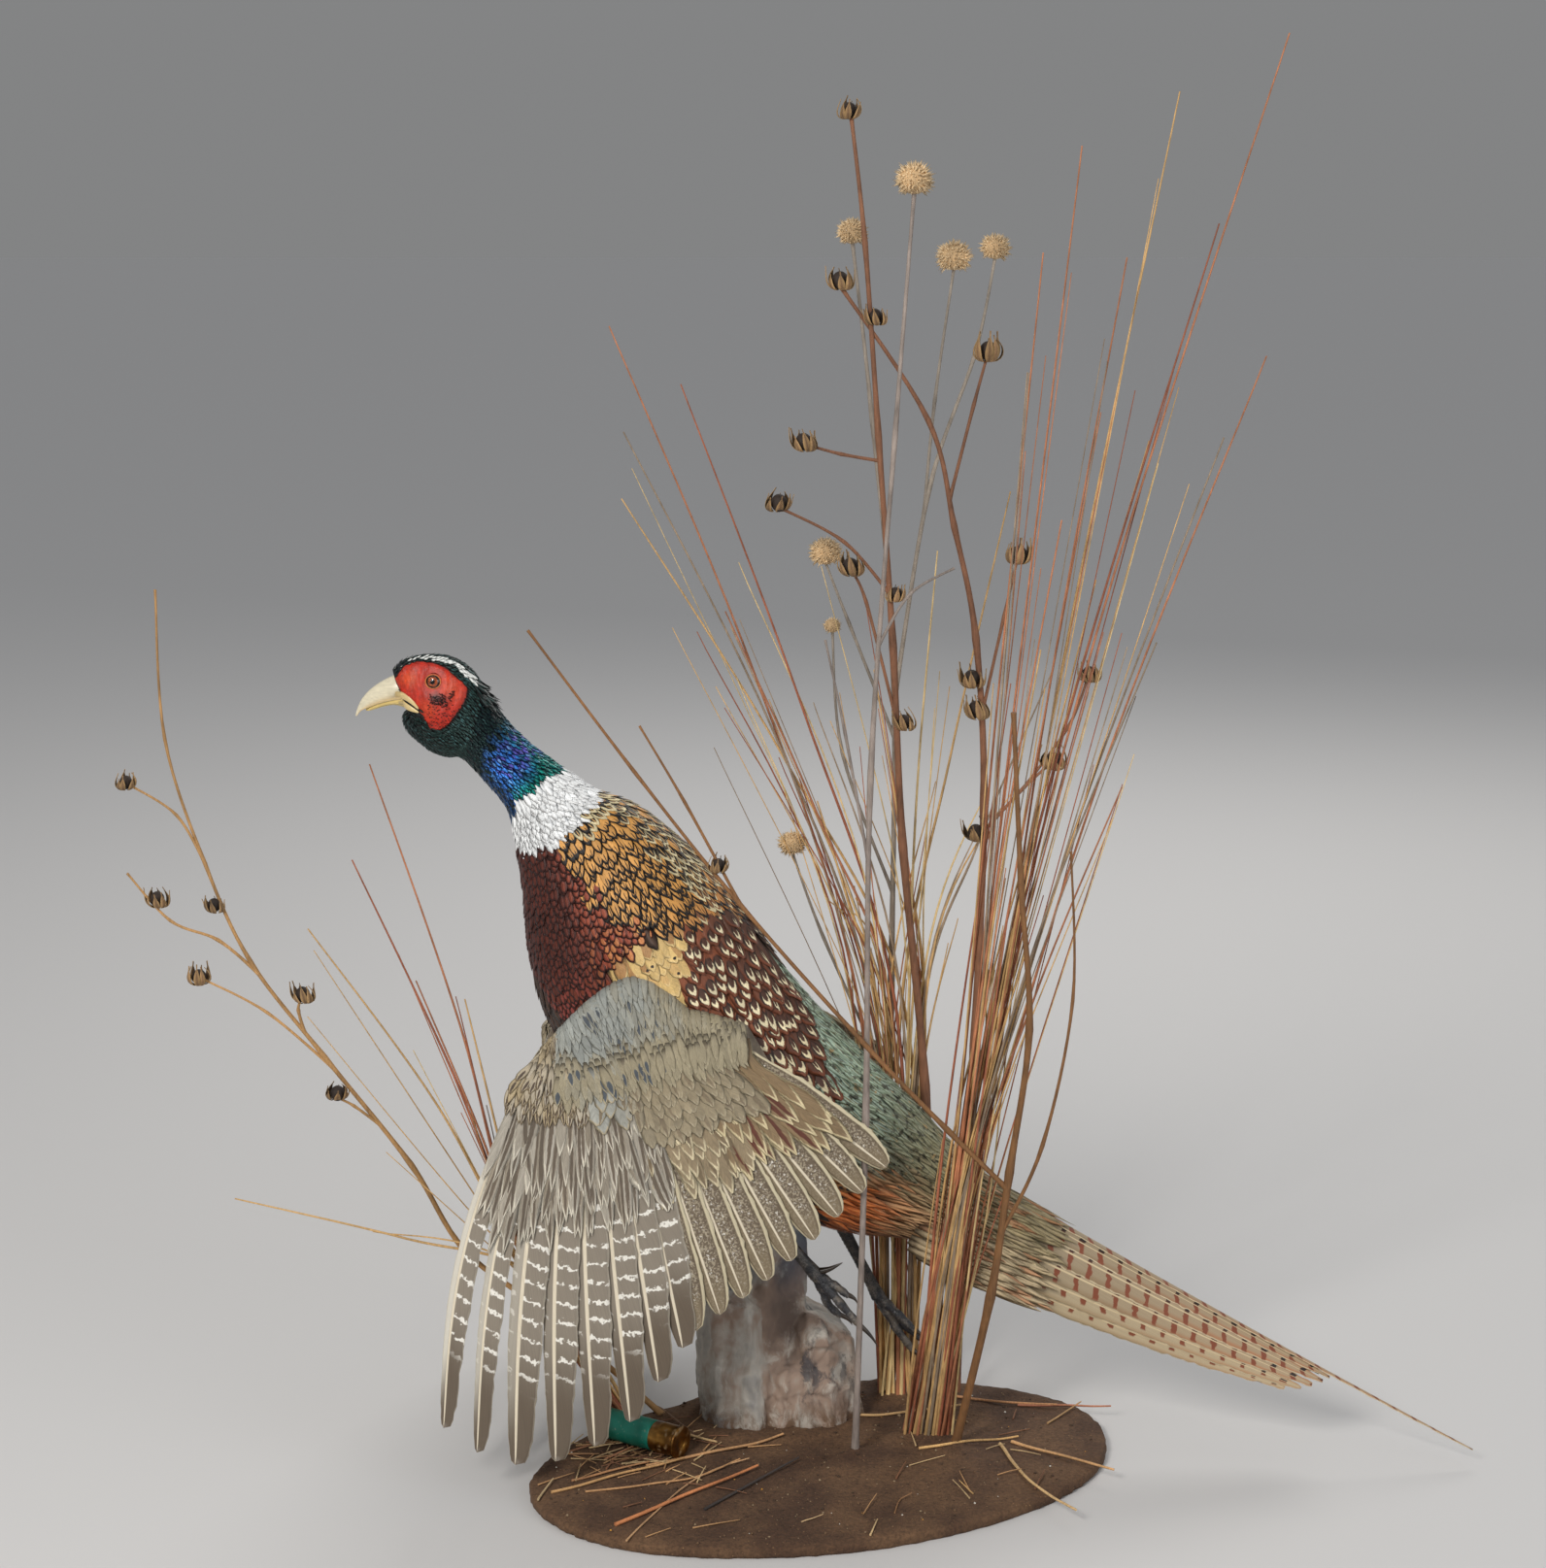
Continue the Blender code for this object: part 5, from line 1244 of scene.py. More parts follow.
def coverWing(far):
    surface = wingSurface(far)
    pieces = []
    for index, (name, spec) in enumerate(coverts.items()):
        rng = np.random.default_rng(500 + index + 50 * far)
        roots = rowsOver(surface, *spec["p"], spec["along"], spec["across"], spec["q"], 60 + index)
        if name in ("lesser", "marginal"):
            upper = np.hypot(wingLine(roots[:, 1], 4) - wingLine(roots[:, 1], 0),
                             wingLine(roots[:, 1], 5) - wingLine(roots[:, 1], 1))
            roots = roots[roots[:, 0] > -upper - 13.0]
        if name == "median":
            roots = roots[(roots[:, 1] > 7.8) | (roots[:, 0] < -4.0)]
        n = len(roots)
        length = spec["length"] * rng.normal(1.0, 0.07, n)
        if name == "greaterPrimary":
            length = length * bySide(roots[:, 1], ((0, 1.5), (3, 1.25), (7, 1.0)))
        plan = {"length": length, "width": spec["width"] * rng.normal(1.0, 0.07, n),
                "turn": rng.normal(0, 0.05, n), "low": spec["low"] + rng.normal(0, 0.12, n),
                "rise": spec["rise"], "curve": rng.normal(0, 0.03, n)}
        colours = hues(n, spec)
        marks = np.tile(spec["marks"][:4], (n, 1)).astype(float)
        if name in ("lesser", "marginal"):
            # the last rows lie on the longer coverts
            plan["low"] = plan["low"] + 2.0 * smoothStep(-42, -16, roots[:, 0])
        place = surface(roots[:, 0], roots[:, 1])[0]
        drift = np.sin(place[:, 0] * 0.17 + 1.0) * np.sin(place[:, 2] * 0.21) + rng.normal(0, 0.45, n)
        if name == "lesser":
            # dark spots in loose groups near the shoulder; grey gives way to olive brown below and behind
            marks[(drift < 0.62) | (roots[:, 1] > 11.5) | (roots[:, 0] < -66), 1] = 0.0
            olive = 0.9 * smoothStep(7.5, 13.5, roots[:, 1]) + smoothStep(-52, -18, roots[:, 0])
            olive = (olive + 0.25 * drift).clip(0, 1) * 0.9
            tint(colours, olive, ground=(150, 138, 110), edge=(176, 164, 134))
        if name in ("greaterPrimary", "marginal"):
            tint(colours, (drift.clip(-1, 1) * 0.5 + 0.5) * 0.7, ground=(176, 170, 158))
            marks[:, 1] *= rng.random(n) < 0.75
        if name == "median":
            tint(colours, smoothStep(9.0, 5.5, roots[:, 1]) * 0.8, ground=(150, 153, 148))
        if name in ("greaterSecondary", "median", "tertialCovert"):
            marks[:, 1] *= rng.random(n) < (0.45 if name == "tertialCovert" else 0.4)
        lively = rng.normal(1.0, 0.08, (n, 1)).clip(0.75, 1.25)
        looks = vaneLooks(rng, *(value * lively for value in colours.values()), marks)
        bake = lambda r, far=far: np.stack([0.03 + 0.94 * (r[:, 1] + 1.0) / 18.0,
                                            (0.55 if far else 0.05) + 0.35 * (r[:, 0] + 80.0) / 160.0], -1)
        pieces.append(growCoat("covert_" + name, surface, roots, plan, looks, bake, grid=(4, 6),
                               outline="round" if name in ("greaterSecondary", "median") else "lance"))
    return joined("wing_coverts" + ("_far" if far else "_near"), pieces)


for far in (False, True):
    settle(coverWing(far), "wing_plumage")
arms = [makeArm(False), makeArm(True)]
skin = joined("skin", [skin] + arms)
print("coverts are in place")

tail = {"lengths": (368.0, 264.0, 260.0, 254.0, 248.0, 238.0), "halfWidth": 27.0, "depth": 56.0, "arch": 1.84,
        "lanes": (0.0, 11.0, 22.0, 33.0, 42.0, 50.0), "widths": (8.5, 10.5, 12.0, 10.5, 9.5, 8.5)}


def tailPoint(across, run, lift):
    # across and run in millimetres round the arch and behind the root, lift out of it
    slim = 1.0 - 0.55 * run / tail["lengths"][0]
    angle = np.radians(across * tail["arch"])
    x = 96.0 + 0.905 * run
    z = 189.0 - 0.478 * run - 0.00006 * run * (368.0 - run)
    wide = (tail["halfWidth"] + lift) * slim
    drop = tail["depth"] * slim * (1 - np.cos(angle)) - lift * np.cos(angle)
    return np.stack([x - drop * 0.35, middleY(x) + wide * np.sin(angle), z - drop * 0.93], -1)


def makeTailMaterial():
    tree = Finish("tail_vane", tone(150, 124, 88), 0.5)
    across, along = vaneUv(tree)
    seed = tree.attribute("seed", 2)
    streak, height = barbs(tree, across, along, seed, 320.0)
    side = tree.math("ABSOLUTE", across)
    run = tree.attribute("run", 2)
    place = tree.objectPlace()
    rough = tree.minus(tree.noise(place, 240.0, 3.0), 0.5)
    # seed is the feather's place from the ridge: the lower ones are paler, with short spots for bars
    low = tree.step(seed, 2.4, 4.6)
    ground = tree.mix(tree.step(run, 10.0, 330.0), tone(152, 136, 110), tone(172, 146, 114))
    ground = tree.mix(tree.times(low, 0.6), ground, tone(196, 178, 144))
    fringe = tree.mix(tree.step(run, 60.0, 240.0), tone(140, 122, 94), tone(172, 120, 84))
    fringe = tree.mix(tree.times(low, 0.5), fringe, tone(190, 168, 132))
    colour = tree.mix(tree.step(side, 0.50, 0.85), ground, fringe)
    colour = tree.mix(tree.step(side, 0.90, 0.98), colour, tone(214, 198, 164))
    # dark bars each side of the shaft, every 14 mm, turning rufous outwards
    wave = tree.math("SINE", tree.scaleAdd(tree.scaleAdd(rough, 5.0, run), 0.449,
                                       tree.scaleAdd(side, -0.9, tree.times(seed, 2.2))))
    reach = tree.scaleAdd(low, -0.58, 0.94)
    bars = tree.times(tree.step(wave, 0.58, 0.82),
                     tree.fall(tree.minus(side, reach), -0.08, 0.12))
    bars = tree.times(bars, tree.step(run, 24.0, 70.0))
    ink = tree.mix(tree.fall(across, -0.25, 0.35), tone(34, 25, 22), tone(128, 66, 40))
    colour = tree.mix(bars, colour, ink)
    colour = tree.mix(tree.fall(side, 0.04, 0.08), colour, tone(206, 186, 148))
    colour = tree.mottled(colour, streak, 0.80, 1.16)
    return tree.finish(colour, bump=(height, 0.3, 0.0003))


def makeTail():
    half = len(tail["lengths"]) - 1
    rows, across = 70, 10
    feathers = []
    for order, k in enumerate(range(-half, half + 1)):
        rng = np.random.default_rng(700 + order)
        lane = math.copysign(tail["lanes"][abs(k)], k)
        long = tail["lengths"][abs(k)]
        v = np.linspace(0.0, 1.0, rows + 1)
        u = np.linspace(-1, 1, across + 1)
        vv, uu = np.meshgrid(v, u, indexing="ij")
        width = tail["widths"][abs(k)] * (1 - (0.66 if k else 0.76) * vv ** 1.3)
        point = 0.74 if k else 0.93
        width = width * np.sqrt(np.clip(1 - np.clip((vv - point) / (1 - point), 0, 1) ** 1.6, 0, 1))
        ragged = rng.normal(0, 0.3, (rows + 1, 1)) * (np.abs(uu) > 0.99)
        wide = uu * width + np.sign(uu) * ragged * (vv > 0.05)
        at = np.clip(vv + np.abs(uu) ** 1.3 * 0.02, 0, 1.004)
        run = -14.0 + at * (long + 14.0)
        slim = 1.0 - 0.55 * np.maximum(run, 0) / tail["lengths"][0]
        spread = lane * (1 - 0.12 * at - 0.20 * at ** 3)
        lift = -1.0 - abs(k) * 1.3 - 0.05 * np.abs(wide) * (1 if k == 0 else 0)
        lift = lift - 0.10 * wide * math.copysign(1.0, k) * (1 if k else 0) + 0.4
        lanes = spread + wide / np.maximum(slim, 0.4) * 0.8
        sheets = [tailPoint(lanes, run, lift - drop).reshape(-1, 3) for drop in (0.0, featherThick)]
        feathers.append((np.concatenate(sheets), vv, uu, (0.1 + 0.06 * order, 0.5),
                         {"seed": abs(k), "run": np.tile(run.ravel(), 2)}))
    return vaneSheets("tail_feathers", feathers, makeTailMaterial())


def coverTailRoot():
    # the longest coverts lie over the roots of the tail: olive on the ridge, rust and buff at the sides
    def surface(p, q):
        p, q = np.broadcast_arrays(np.asarray(p, float), np.asarray(q, float))
        place = tailPoint(q, p, 0.0 * p)
        out = tailPoint(q, p, 0.0 * p + 1.0) - place
        return place, unit(out)
    rng = np.random.default_rng(31)
    roots = rowsOver(surface, -24.0, 34.0, 7.0, 4.4, (-54.0, 54.0), 32)
    n = len(roots)
    share = np.abs(roots[:, 1]) / 54.0
    low = smoothStep(0.35, 0.85, share + rng.normal(0, 0.1, n))
    ground = fade(low, (184, 164, 130), tone(150, 136, 100))
    ground = fade((rng.random(n) < 0.2) * 0.5, (184, 108, 62), ground)
    ground = ground * rng.normal(1.0, 0.1, (n, 1)).clip(0.7, 1.3)
    looks = vaneLooks(rng, ground, ground * 0.86, ground * 1.15, gloss=0.05, speckle=0.2)
    plan = {"length": rng.uniform(34.0, 50.0, n), "width": 6.4, "turn": rng.normal(0, 0.06, n), "low": 0.6,
            "rise": 1.2, "curve": rng.normal(0, 0.03, n)}
    bakeAt = lambda r: np.stack([0.3 + 0.004 * r[:, 0], 0.5 + 0.008 * r[:, 1]], -1)
    return growCoat("coat_tail_root", surface, roots, plan, looks, bakeAt, grid=(2, 5), outline="hair")


settle(makeTail(), "tail_plumage", "tail")
settle(coverTailRoot(), "tail_plumage")
print("tail is in place")

bothSides = {"left": -1.0, "right": 1.0}


def patchRoots(step, low, high, test, seed):
    # roots over one side of the face, in s and phi, where test(s, phi) holds
    rng = np.random.default_rng(seed)
    out = []
    s, k = low, 0
    while s < high:
        phi = np.arange(0, 180, step / face["degree"]) + (step / face["degree"] / 2 if k % 2 else 0)
        out.append(np.stack([np.full(len(phi), s), phi], -1))
        s += step * 0.87
        k += 1
    out = np.concatenate(out)
    out = out + rng.normal(0, 0.16 * step, out.shape) * (1.0, 1 / face["degree"])
    return out[test(out[:, 0], out[:, 1])]


def makeBumps():
    # the small warts that cover the bare skin, a low dome each
    ring = 7
    angle = roundTurn(ring)
    dome = np.concatenate([np.stack([np.cos(angle), np.sin(angle), np.full(ring, -0.35)], -1),
                           np.stack([np.cos(angle) * 0.72, np.sin(angle) * 0.72, np.full(ring, 0.35)], -1),
                           [(0.0, 0.0, 0.62), (0.0, 0.0, -0.6)]])
    after = (np.arange(ring) + 1) % ring
    quads = np.stack([np.arange(ring), after, after + ring, np.arange(ring) + ring], 1)
    tops = np.stack([np.arange(ring) + ring, after + ring, np.full(ring, 2 * ring)], 1)
    feet = np.stack([after, np.arange(ring), np.full(ring, 2 * ring + 1)], 1)
    verts, allQuads, tris, paint, uv = [], [], [], [], []
    total = 0
    for side in bothSides.values():
        test = lambda s, phi: (patchInside(s, phi) > 0.15) & (eyeAway(s, phi) > 5.8)
        roots = patchRoots(0.98, 0.4, 44.0, test, 91)
        rng = np.random.default_rng(92)
        size = rng.uniform(0.34, 0.56, len(roots)) * (0.8 + 0.3 * smoothStep(60, 100, roots[:, 1]))
        here, out = bodySurface(roots[:, 0], np.radians(roots[:, 1]) * side)
        first = unit(np.cross(out, (0.3, 0.1, 1.0)))
        second = np.cross(out, first)
        basis = np.stack([first, second, out], 1)
        points = here[:, None] + np.einsum("vk,nkc->nvc", dome, basis) * size[:, None, None]
        n = len(roots)
        shift = (np.arange(n) * len(dome) + total)[:, None, None]
        verts.append(points.reshape(-1, 3))
        allQuads.append((quads[None] + shift).reshape(-1, 4))
        tris.append((np.concatenate([tops, feet])[None] + shift).reshape(-1, 3))
        colour = facePaint(roots[:, 0], roots[:, 1]) * rng.normal(1.08, 0.14, (n, 1)).clip(0.7, 1.5)
        paint.append(np.repeat(colour, len(dome), 0))
        uv.append(np.repeat(bodyBake(np.stack([roots[:, 0], np.radians(roots[:, 1]) * side], -1)),
                            len(dome), 0))
        total += n * len(dome)
    return closedForm("warts", np.concatenate(verts), np.concatenate(allQuads), [np.concatenate(tris)],
                      skinFinish, np.concatenate(paint), np.concatenate(uv))


eye = {"place": (-260.5, 521.0), "out": 10.2, "radius": 6.3, "iris": 3.55, "pupil": 1.75, "lid": 4.25}


def eyeBasis(side):
    x, z = eye["place"]
    centre = np.array([x, float(middleY(x)) + side * eye["out"], z])
    axis = unit(np.array([-0.10, side, 0.10]))
    right = unit(np.cross(axis, (0.0, 0.0, 1.0)))
    return centre, np.stack([right, np.cross(right, axis), axis])


def turnedForm(name, centre, basis, profile, sides=48):
    # rings round an axis: profile holds radius and height, closed where the radius is 0
    angle = roundTurn(sides)
    profile = np.asarray(profile, float)
    rings = np.stack([profile[:, 0, None] * np.cos(angle), profile[:, 0, None] * np.sin(angle),
                      np.repeat(profile[:, 1, None], sides, 1)], -1)
    verts = centre + rings.reshape(-1, 3) @ basis
    item = fastMesh(name, verts, gridFaces(len(profile), sides, True))
    return faceOut(item, 1e-6)


def makeEye(side):
    centre, basis = eyeBasis(side)
    radius = eye["radius"]
    polar = np.radians(np.linspace(0.0, 180.0, 37))
    ball = turnedForm("eye_ball", centre, basis,
                      np.stack([np.sin(polar), np.cos(polar)], -1) * (radius - 0.25))
    clear = turnedForm("eye_glass", centre, basis, np.stack([np.sin(polar), np.cos(polar)], -1) * radius)
    tree = Finish("iris", tone(150, 70, 26), 0.35)
    local = (pointsOf(ball) - centre) @ basis.T
    giveValue(ball, "away", np.where(local[:, 2] > 0, np.hypot(local[:, 0], local[:, 1]), 9.0))
    away = tree.attribute("away", 2)
    rays = tree.noise(tree.scaled(tree.objectPlace(), (1.0, 1.0, 1.0)), 1700.0, 3.0)
    wave = tree.scaleAdd(tree.minus(rays, 0.5), 0.5, away)
    colour = tree.ramp(tree.math("DIVIDE", wave, 6.3),
                       [(0.0, tone(8, 4, 4)), (0.225, tone(10, 5, 4)), (0.26, tone(140, 54, 18)),
                        (0.40, tone(206, 104, 38)), (0.52, tone(150, 66, 24)), (0.58, tone(26, 14, 10)),
                        (0.75, tone(20, 12, 10))])
    ball.data.materials.append(tree.finish(colour))
    glass = Finish("eye_glass", (1.0, 1.0, 1.0), 0.02)
    glass.inputs["Transmission Weight"].default_value = 1.0
    glass.inputs["IOR"].default_value = 1.38
    glass.material.diffuse_color = (0.2, 0.08, 0.03, 1.0)
    clear.data.materials.append(glass.material)
    return joined("eye_" + ("left" if side < 0 else "right"), [ball, clear])


def makeLids(side):
    # two soft rims round the eye, a little nearer together at the corners
    centre, basis = eyeBasis(side)
    sides, rows = 72, 15
    angle = roundTurn(sides)
    ringShape = 1.0 + 0.05 * np.cos(2 * angle)
    verts, paint = [], []
    for k in range(rows):
        t = k / (rows - 1) * 2 * math.pi
        wide = 0.62 * math.cos(t)
        high = 0.50 * math.sin(t)
        around = (eye["lid"] + 0.75 + wide) * ringShape
        level = np.sqrt(np.maximum(eye["radius"] ** 2 - (eye["lid"] + 0.3) ** 2, 0)) + high - 0.15
        level = level - 0.55 * np.maximum(wide, 0.0)
        verts.append(np.stack([around * np.cos(angle), around * np.sin(angle), np.full(sides, level)], -1))
        inner = 1.0 if wide < 0.1 else 0.0
        colour = tone(196, 120, 62) * inner + tone(180, 64, 34) * (1 - inner)
        paint.append(np.tile(colour, (sides, 1)))
    return closedForm("lids", centre + np.concatenate(verts) @ basis, gridFaces(rows, sides, True), (),
                      skinFinish, np.concatenate(paint), merge=1e-6)


bill = {
    # top edge x, z, cutting edge x, z, half width, from inside the face to the tip
    "upper": ((-274, 527.0, -268, 507.5, 8.0), (-281.5, 526.2, -275.5, 509.3, 8.3),
              (-286.5, 524.0, -281.5, 509.2, 7.9), (-292.3, 521.3, -287.5, 508.3, 7.1),
              (-297.5, 518.4, -293.0, 506.9, 6.2), (-302.2, 515.2, -298.0, 505.3, 5.2),
              (-306.5, 511.4, -302.8, 503.4, 4.1), (-310.4, 506.6, -307.4, 501.2, 2.9),
              (-313.0, 501.5, -311.3, 498.8, 1.6), (-314.8, 496.2, -314.2, 495.0, 0.5)),
    "lower": ((-268, 508.2, -268.5, 497.5, 7.6), (-275.5, 509.6, -276, 499.2, 7.5),
              (-281.5, 509.5, -282, 501.8, 7.1), (-287.5, 508.6, -288, 503.2, 6.2),
              (-293.5, 507.1, -294, 502.4, 5.0), (-299.5, 505.1, -300, 500.6, 3.7),
              (-304.5, 503.1, -305, 499.0, 2.1), (-307.6, 501.2, -307.7, 499.0, 0.6)),
}


def billMaterial():
    tree = Finish("bill_horn", tone(214, 204, 176), 0.32)
    place = tree.objectPlace()
    grain = tree.noise(tree.scaled(place, (260.0, 260.0, 900.0)), 1.0, 3.0)
    paint = tree.attribute("paint")
    colour = tree.mottled(paint, grain, 0.88, 1.06)
    return tree.finish(colour, bump=(grain, 0.25, 0.0003))


def billForm(name, stations, material, lower):
    rows = curveTable(stations, 10)
    n, around = len(rows), 36
    t = np.linspace(0, 1, n)
    verts, paint = [], []
    for row, share in zip(rows, t):
        x0, z0, x1, z1, half = row
        a = np.linspace(0, 2 * math.pi, around, endpoint=False)
        c, d = np.cos(a), np.sin(a)
        if lower:
            # flat above, keeled below
            up = np.where(c > 0, np.abs(c) ** 0.35, -np.abs(c) ** 1.1)
            out = np.sign(d) * np.abs(d) ** 0.75
            centre = np.array([(x0 + x1) / 2, (z0 + z1) / 2])
            span = np.array([x0 - x1, z0 - z1]) / 2
            xz = centre + up[:, None] * span
        else:
            # keeled above, the cutting edges low and sharp, hollow between them
            up = np.where(c >= 0, c ** 1.25, -0.02 - 0.10 * np.abs(c))
            out = np.sign(d) * np.where(c >= 0, np.abs(d) ** 0.80, np.abs(d) ** 0.5)
            low, high = np.array([x1, z1]), np.array([x0, z0])
            xz = low + up[:, None] * (high - low)
            hollow = np.where(c < 0, (1 - np.abs(d)) * 0.10, 0.0)
            xz = xz + hollow[:, None] * (high - low)
        y = middleY(xz[:, 0]) + half * out
        if not lower:
            # the horny flap over each nostril, with the slit below it
            about = np.abs(a - math.pi)
            flap = np.exp(-((share - 0.30) / 0.10) ** 2 - ((about - math.radians(125)) / 0.30) ** 2)
            slit = np.exp(-((share - 0.30) / 0.09) ** 2 - ((about - math.radians(101)) / 0.10) ** 2)
            y = y + np.sign(d) * (0.9 * flap - 0.7 * slit)
        verts.append(np.stack([xz[:, 0], y, xz[:, 1]], -1))
        base = tone(216, 207, 180) if not lower else tone(214, 190, 120)
        edge = tone(196, 160, 92)
        tint = np.clip(1 - np.abs(c) * 2.6, 0, 1)[:, None] * (0.75 if not lower else 0.3)
        colour = base * (1 - tint) + edge * tint
        if not lower:
            # the nostril slit darkened: painted shade in its hollow
            colour = colour * (1 - 0.45 * slit[:, None])
            rootDark = smoothStep(0.30, 0.12, share)
            colour = colour * (1 - 0.20 * rootDark)
        paint.append(colour)
    return closedForm(name, np.concatenate(verts), gridFaces(n, around, True), [flatCaps(n, around)],
                      material, np.concatenate(paint))


lips = {"upper": ((-1.0, 84.5), (6.0, 88.0), (13.0, 96.5)),
        "lower": ((-1.0, 103.5), (6.0, 101.5), (13.0, 101.0)), "wide": (2.9, 1.3)}


def lipForm(side, key, material):
    # horn of the mouth's corner, a flat ridge on the cheek behind the bill
    rows = curveTable(lips[key], 8)
    n, around = len(rows), 12
    t = np.linspace(0, 1, n)
    a = roundTurn(around)
    centre, out = bodySurface(np.maximum(rows[:, 0], 0.0), np.radians(rows[:, 1]) * side)
    centre[0, 0] -= 3.6
    way = unit(np.gradient(centre, axis=0))
    over = np.cross(out, way)
    wide = np.interp(t, (0, 1), lips["wide"]) * np.sqrt(np.clip(1 - ((t - 0.3) / 0.72) ** 2, 0.06, 1))
    thick = 0.75 * np.sqrt(np.clip(1 - ((t - 0.4) / 0.64) ** 2, 0.06, 1))
    lift = np.interp(t, (0, 0.2), (-0.5, 0.55))[:, None, None]
    verts = (centre[:, None] + out[:, None] * (np.cos(a)[None, :, None] * thick[:, None, None] + lift)
             + over[:, None] * (np.sin(a)[None, :, None] * wide[:, None, None]))
    return closedForm("lip", verts.reshape(-1, 3), gridFaces(n, around, True), [flatCaps(n, around)],
                      material, plain(n * around, 212, 188, 134))


def makeBill():
    material = billMaterial()
    upper = billForm("bill_upper_form", bill["upper"], material, False)
    lower = billForm("bill_lower_form", bill["lower"], material, True)
    corners = [lipForm(side, key, material) for side in bothSides.values() for key in ("upper", "lower")]
    return joined("bill", [upper, lower] + corners)


# the chin in front of the throat: x, z down its middle, half width
chin = ((-279.0, 501.0, 6.6), (-282.4, 497.0, 7.6), (-282.6, 491.5, 8.4), (-279.6, 485.4, 9.2),
        (-273.6, 479.4, 10.0), (-266.0, 474.4, 10.0))
chinRows = curveTable(chin, 12)
chinRun = runAlong(chinRows[:, :2])


def chinSurface(s, angle):
    # a trough shape under the bill, the angle goes from its middle to its sides
    s, angle = np.asarray(s, float), np.asarray(angle, float)
    x, z, half = (np.interp(s, chinRun, chinRows[:, k]) for k in range(3))
    wayX = np.interp(s, chinRun, np.gradient(chinRows[:, 0]))
    wayZ = np.interp(s, chinRun, np.gradient(chinRows[:, 1]))
    length = np.hypot(wayX, wayZ)
    front = np.stack([wayZ / length, 0 * s, -wayX / length], -1)
    deep = (1 - np.cos(angle)) * half * 1.1
    place = np.stack([x, middleY(x) + np.sin(angle) * half, z], -1) - front * deep[..., None]
    out = front * np.cos(angle)[..., None] + np.stack([0 * s, np.sin(angle), 0 * s], -1)
    return place, out


def chinForm():
    s, angle = np.linspace(0.0, chinRun[-1], 20), np.linspace(-1.75, 1.75, 25)
    place, out = chinSurface(*[v.ravel() for v in np.meshgrid(s, angle, indexing="ij")])
    verts = np.concatenate([place - out * 1.1, place - out * 2.5])
    return closedForm("chin", verts, sheetFaces(len(s), len(angle)), (), skinFinish,
                      plain(len(verts), 14, 18, 20), np.tile((0.02, 0.02), (len(verts), 1)))


